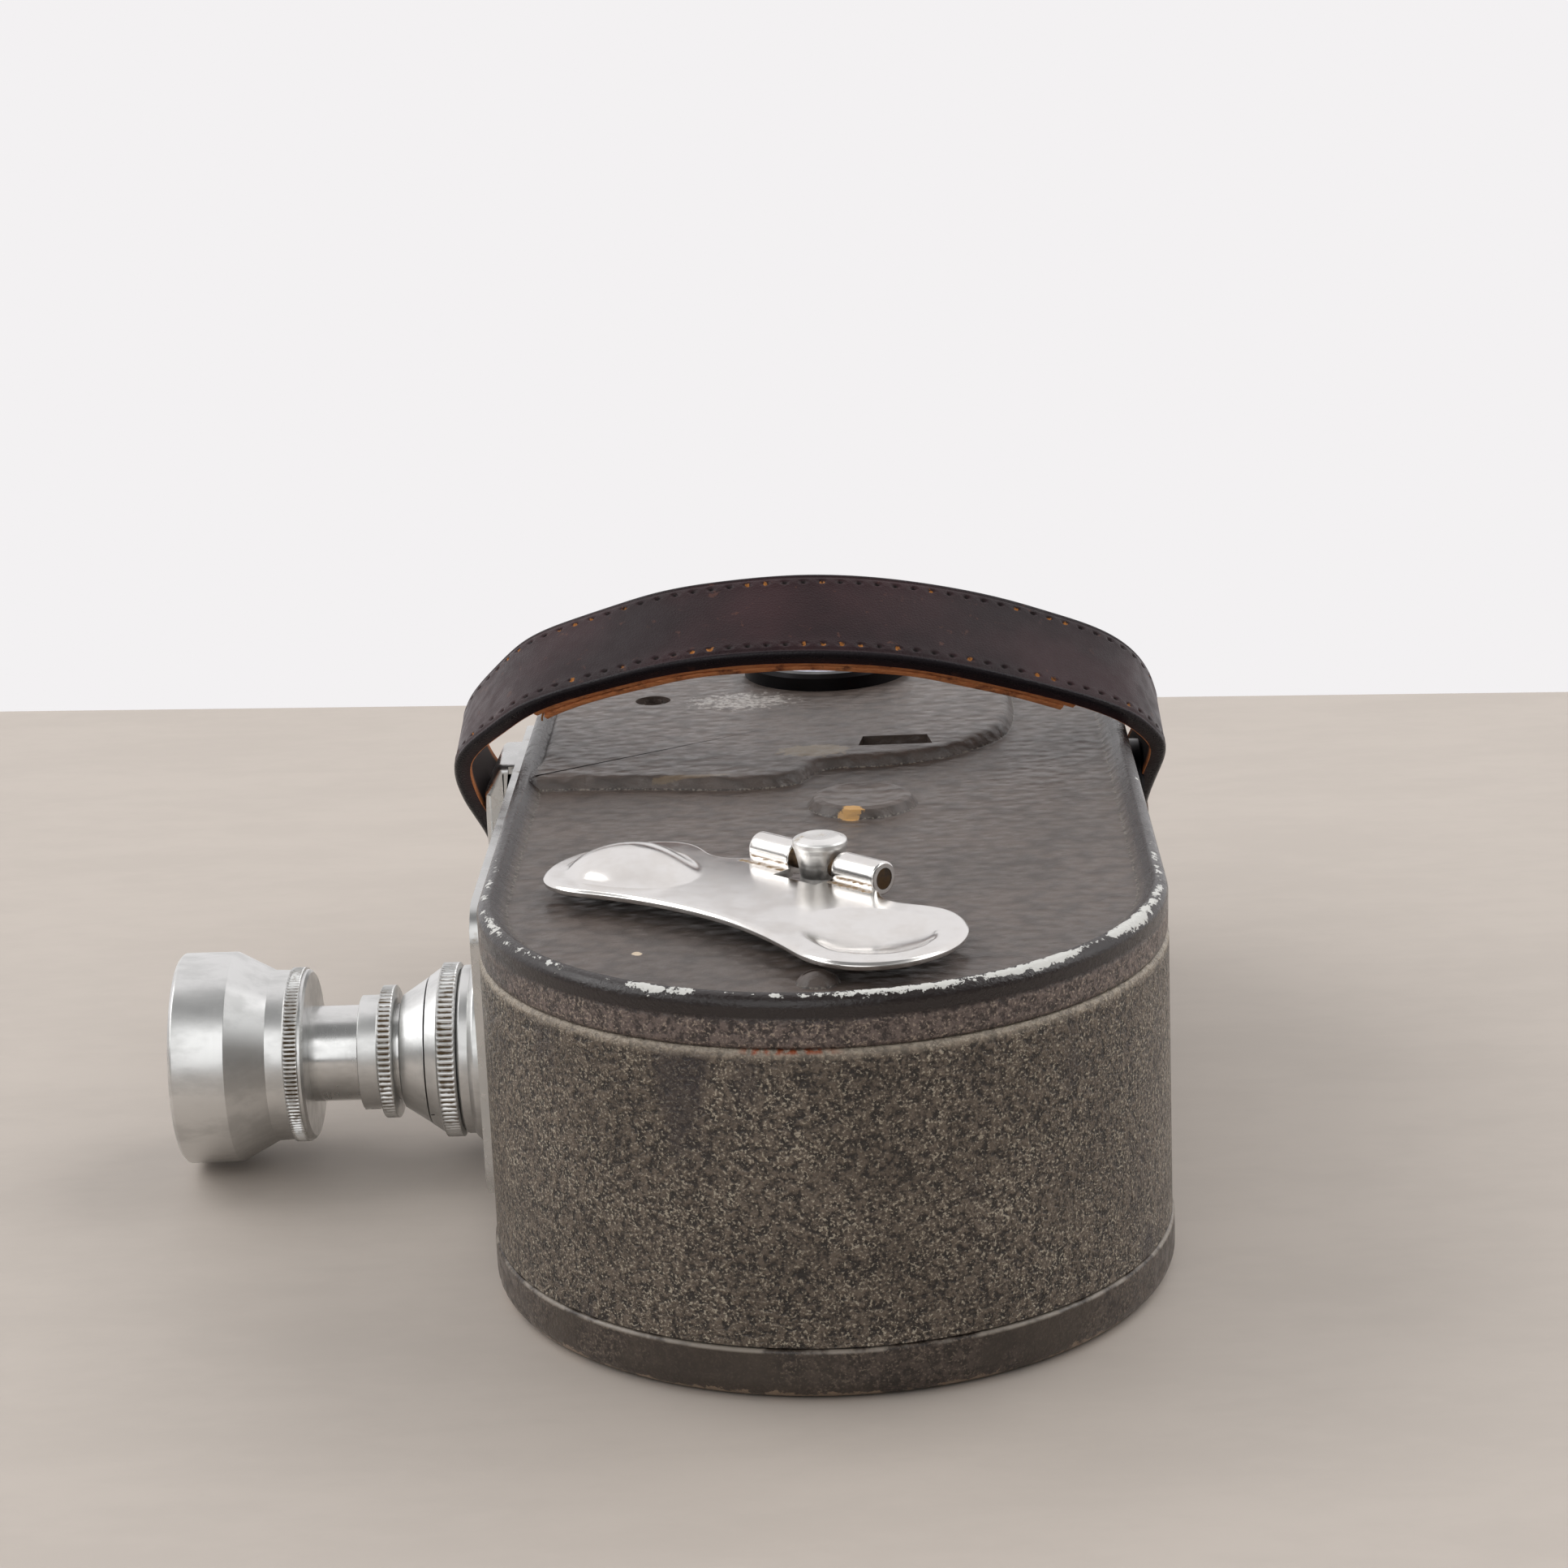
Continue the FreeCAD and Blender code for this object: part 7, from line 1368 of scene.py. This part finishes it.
def emitter(shade, colour):
    """Backdrop shader: an even glow to what looks at it, clear to the light and from behind."""
    path = shade.add("ShaderNodeLightPath", None)
    seen = shade.math("MAXIMUM", path["Is Camera Ray"], path["Is Glossy Ray"])
    front = shade.minus(1.0, shade.add("ShaderNodeNewGeometry", "Backfacing"))
    glow = shade.add("ShaderNodeEmission", ins={"Color": colour, "Strength": 1.0})
    clear = shade.add("ShaderNodeBsdfTransparent")
    return shade.add("ShaderNodeMixShader", ins={0: shade.times(seen, front), 1: clear, 2: glow})


class CINE_OT_stage(bpy.types.Operator):
    """Pale floor, backdrop, soft lights and the camera"""
    bl_idname = "cine.stage"
    bl_label = "Stage"

    def execute(self, context):
        stage = settings(context, "stage")
        def ground(shade):
            place = shade.where()
            slow = shade.noise(shade.where(scale=(1, 3.0, 1)), 60.0, 3.0, 0.55)
            streak = shade.noise(shade.where(scale=(1, 2.0, 1)), 9.0, 5.0, 0.65)
            tone = shade.plus(shade.times(slow, 0.6), shade.times(streak, 0.4))
            darker = tuple(0.95 * v for v in stage.floor[:3]) + (1,)
            base = shade.mix(shade.ramp(tone, 0.38, 0.62), darker, stage.floor)
            return {"Base Color": base, "Roughness": 0.62,
                    "Normal": shade.bump(shade.noise(place, 1.2, 3.0), 0.02, 0.5)}
        floor = self.plane("floor", [(-4, -3, 0), (4, -3, 0), (4, 2, 0), (-4, 2, 0)], material("floor", ground))
        a, b = np.array([-0.2099, 0.2968]), np.array([0.1725, 0.2628])
        middle, side = (a + b) / 2, (b - a) / np.linalg.norm(b - a)
        left, right = middle - 3 * side, middle + 3 * side
        backdrop = bpy.data.materials.new("backdrop")
        backdrop.use_nodes = True
        backdrop.node_tree.nodes.clear()
        surface = emitter(Shade(backdrop.node_tree), stage.wall)
        backdrop.node_tree.links.new(surface, backdrop.node_tree.nodes.new("ShaderNodeOutputMaterial").inputs[0])
        wall = self.plane("backdrop", [(*left, 0), (*right, 0), (*right, 2.5), (*left, 2.5)], backdrop)
        self.world(context, stage)
        self.lamp("overhead left", (-0.95, 0.45, 1.05), (0, 0, 0.02), 1.0, stage.overhead / 2)
        self.lamp("overhead right", (0.85, 0.5, 1.05), (0, 0, 0.02), 1.0, stage.overhead / 2)
        self.lamp("left side", (-1.2, -0.35, 0.75), (0, 0, 0.05), 0.9, stage.side)
        self.lamp("right side", (1.25, -0.2, 0.75), (0, 0, 0.05), 0.9, stage.side)
        self.lamp("front", (-0.32, -1.3, 0.78), (0, 0, 0.04), 1.35, stage.front)
        lens = bpy.data.cameras.new("camera")
        lens.sensor_width, lens.lens = 36.0, 84.72
        camera = bpy.data.objects.new("camera", lens)
        turn = Matrix(((0.99901, 0.03458, 0.02834), (0.01765, 0.27737, -0.96060), (-0.04108, 0.96015, 0.27648)))
        camera.matrix_world = Matrix.Translation((0.01065, -0.5878, 0.2288)) @ turn.to_4x4()
        context.scene.collection.objects.link(camera)
        context.scene.camera = camera
        context.scene.view_settings.view_transform = "Standard"
        return {"FINISHED"}

    def plane(self, name, corners, surface):
        mesh = bpy.data.meshes.new(name)
        mesh.from_pydata(corners, [], [(0, 1, 2, 3)])
        mesh.materials.append(surface)
        made = bpy.data.objects.new(name, mesh)
        bpy.context.scene.collection.objects.link(made)
        return made

    def lamp(self, name, place, target, size, power):
        light = bpy.data.lights.new(name, "AREA")
        light.shape, light.size, light.energy = "DISK", size, power
        made = bpy.data.objects.new(name, light)
        made.location = place
        made.rotation_euler = (Vector(target) - Vector(place)).to_track_quat("-Z", "Y").to_euler()
        bpy.context.scene.collection.objects.link(made)

    def world(self, context, stage):
        world = bpy.data.worlds.new("studio")
        world.use_nodes = True
        context.scene.world = world
        tree = world.node_tree
        tree.nodes.clear()
        shade = Shade(tree)
        path = shade.add("ShaderNodeLightPath", None)
        seen = shade.math("MAXIMUM", path["Is Camera Ray"], path["Is Transmission Ray"])
        way = separate(shade, shade.add("ShaderNodeTexCoord", "Generated"))
        lean = shade.plus(shade.times(way["Z"], 0.9), shade.times(way["Y"], 0.45))
        dim = shade.times(shade.ramp(lean, 0.0, 0.75, 0.16, 1.35),
                          shade.ramp(way["Z"], 0.68, 0.88, 1.0, 0.25))
        strength = shade.add("ShaderNodeMix", 0, ins={0: seen, 2: shade.times(dim, stage.daylight), 3: 1.0})
        glow = shade.add("ShaderNodeBackground", ins={"Color": (1, 1, 1, 1), "Strength": strength})
        tree.links.new(glow, tree.nodes.new("ShaderNodeOutputWorld").inputs["Surface"])


# ---------------------------------------------------------------- add-on


OPERATORS = [CINE_OT_stage, CINE_OT_frame_finish, CINE_OT_cover, CINE_OT_winding_key, CINE_OT_lens,
             CINE_OT_finder_hood, CINE_OT_strap, CINE_OT_dials]


class CINE_PT_panel(bpy.types.Panel):
    """Lists the steps in the 3D view's sidebar"""
    bl_idname = "CINE_PT_panel"
    bl_label = "Cine camera"
    bl_space_type = "VIEW_3D"
    bl_region_type = "UI"
    bl_category = "Cine camera"

    def draw(self, context):
        for step in OPERATORS:
            self.layout.operator(step.bl_idname)
        for group, kind in SETTINGS.items():
            box = self.layout.box()
            box.label(text=group.capitalize())
            for key in kind.__annotations__:
                box.prop(getattr(context.scene, "cine_" + group), key)


def register():
    for group, kind in SETTINGS.items():
        bpy.utils.register_class(kind)
        setattr(bpy.types.Scene, "cine_" + group, bpy.props.PointerProperty(type=kind))
    for kind in OPERATORS + [CINE_PT_panel]:
        bpy.utils.register_class(kind)


def unregister():
    for kind in reversed(OPERATORS + [CINE_PT_panel]):
        bpy.utils.unregister_class(kind)
    for group, kind in SETTINGS.items():
        delattr(bpy.types.Scene, "cine_" + group)
        bpy.utils.unregister_class(kind)


def main():
    register()
    build_effects()
    build_paints(bpy.context)
    build_metals(bpy.context)
    build_soft(bpy.context)
    for step in OPERATORS:
        getattr(bpy.ops.cine, step.bl_idname.split(".")[1])()


if __name__ == "__main__":
    main()
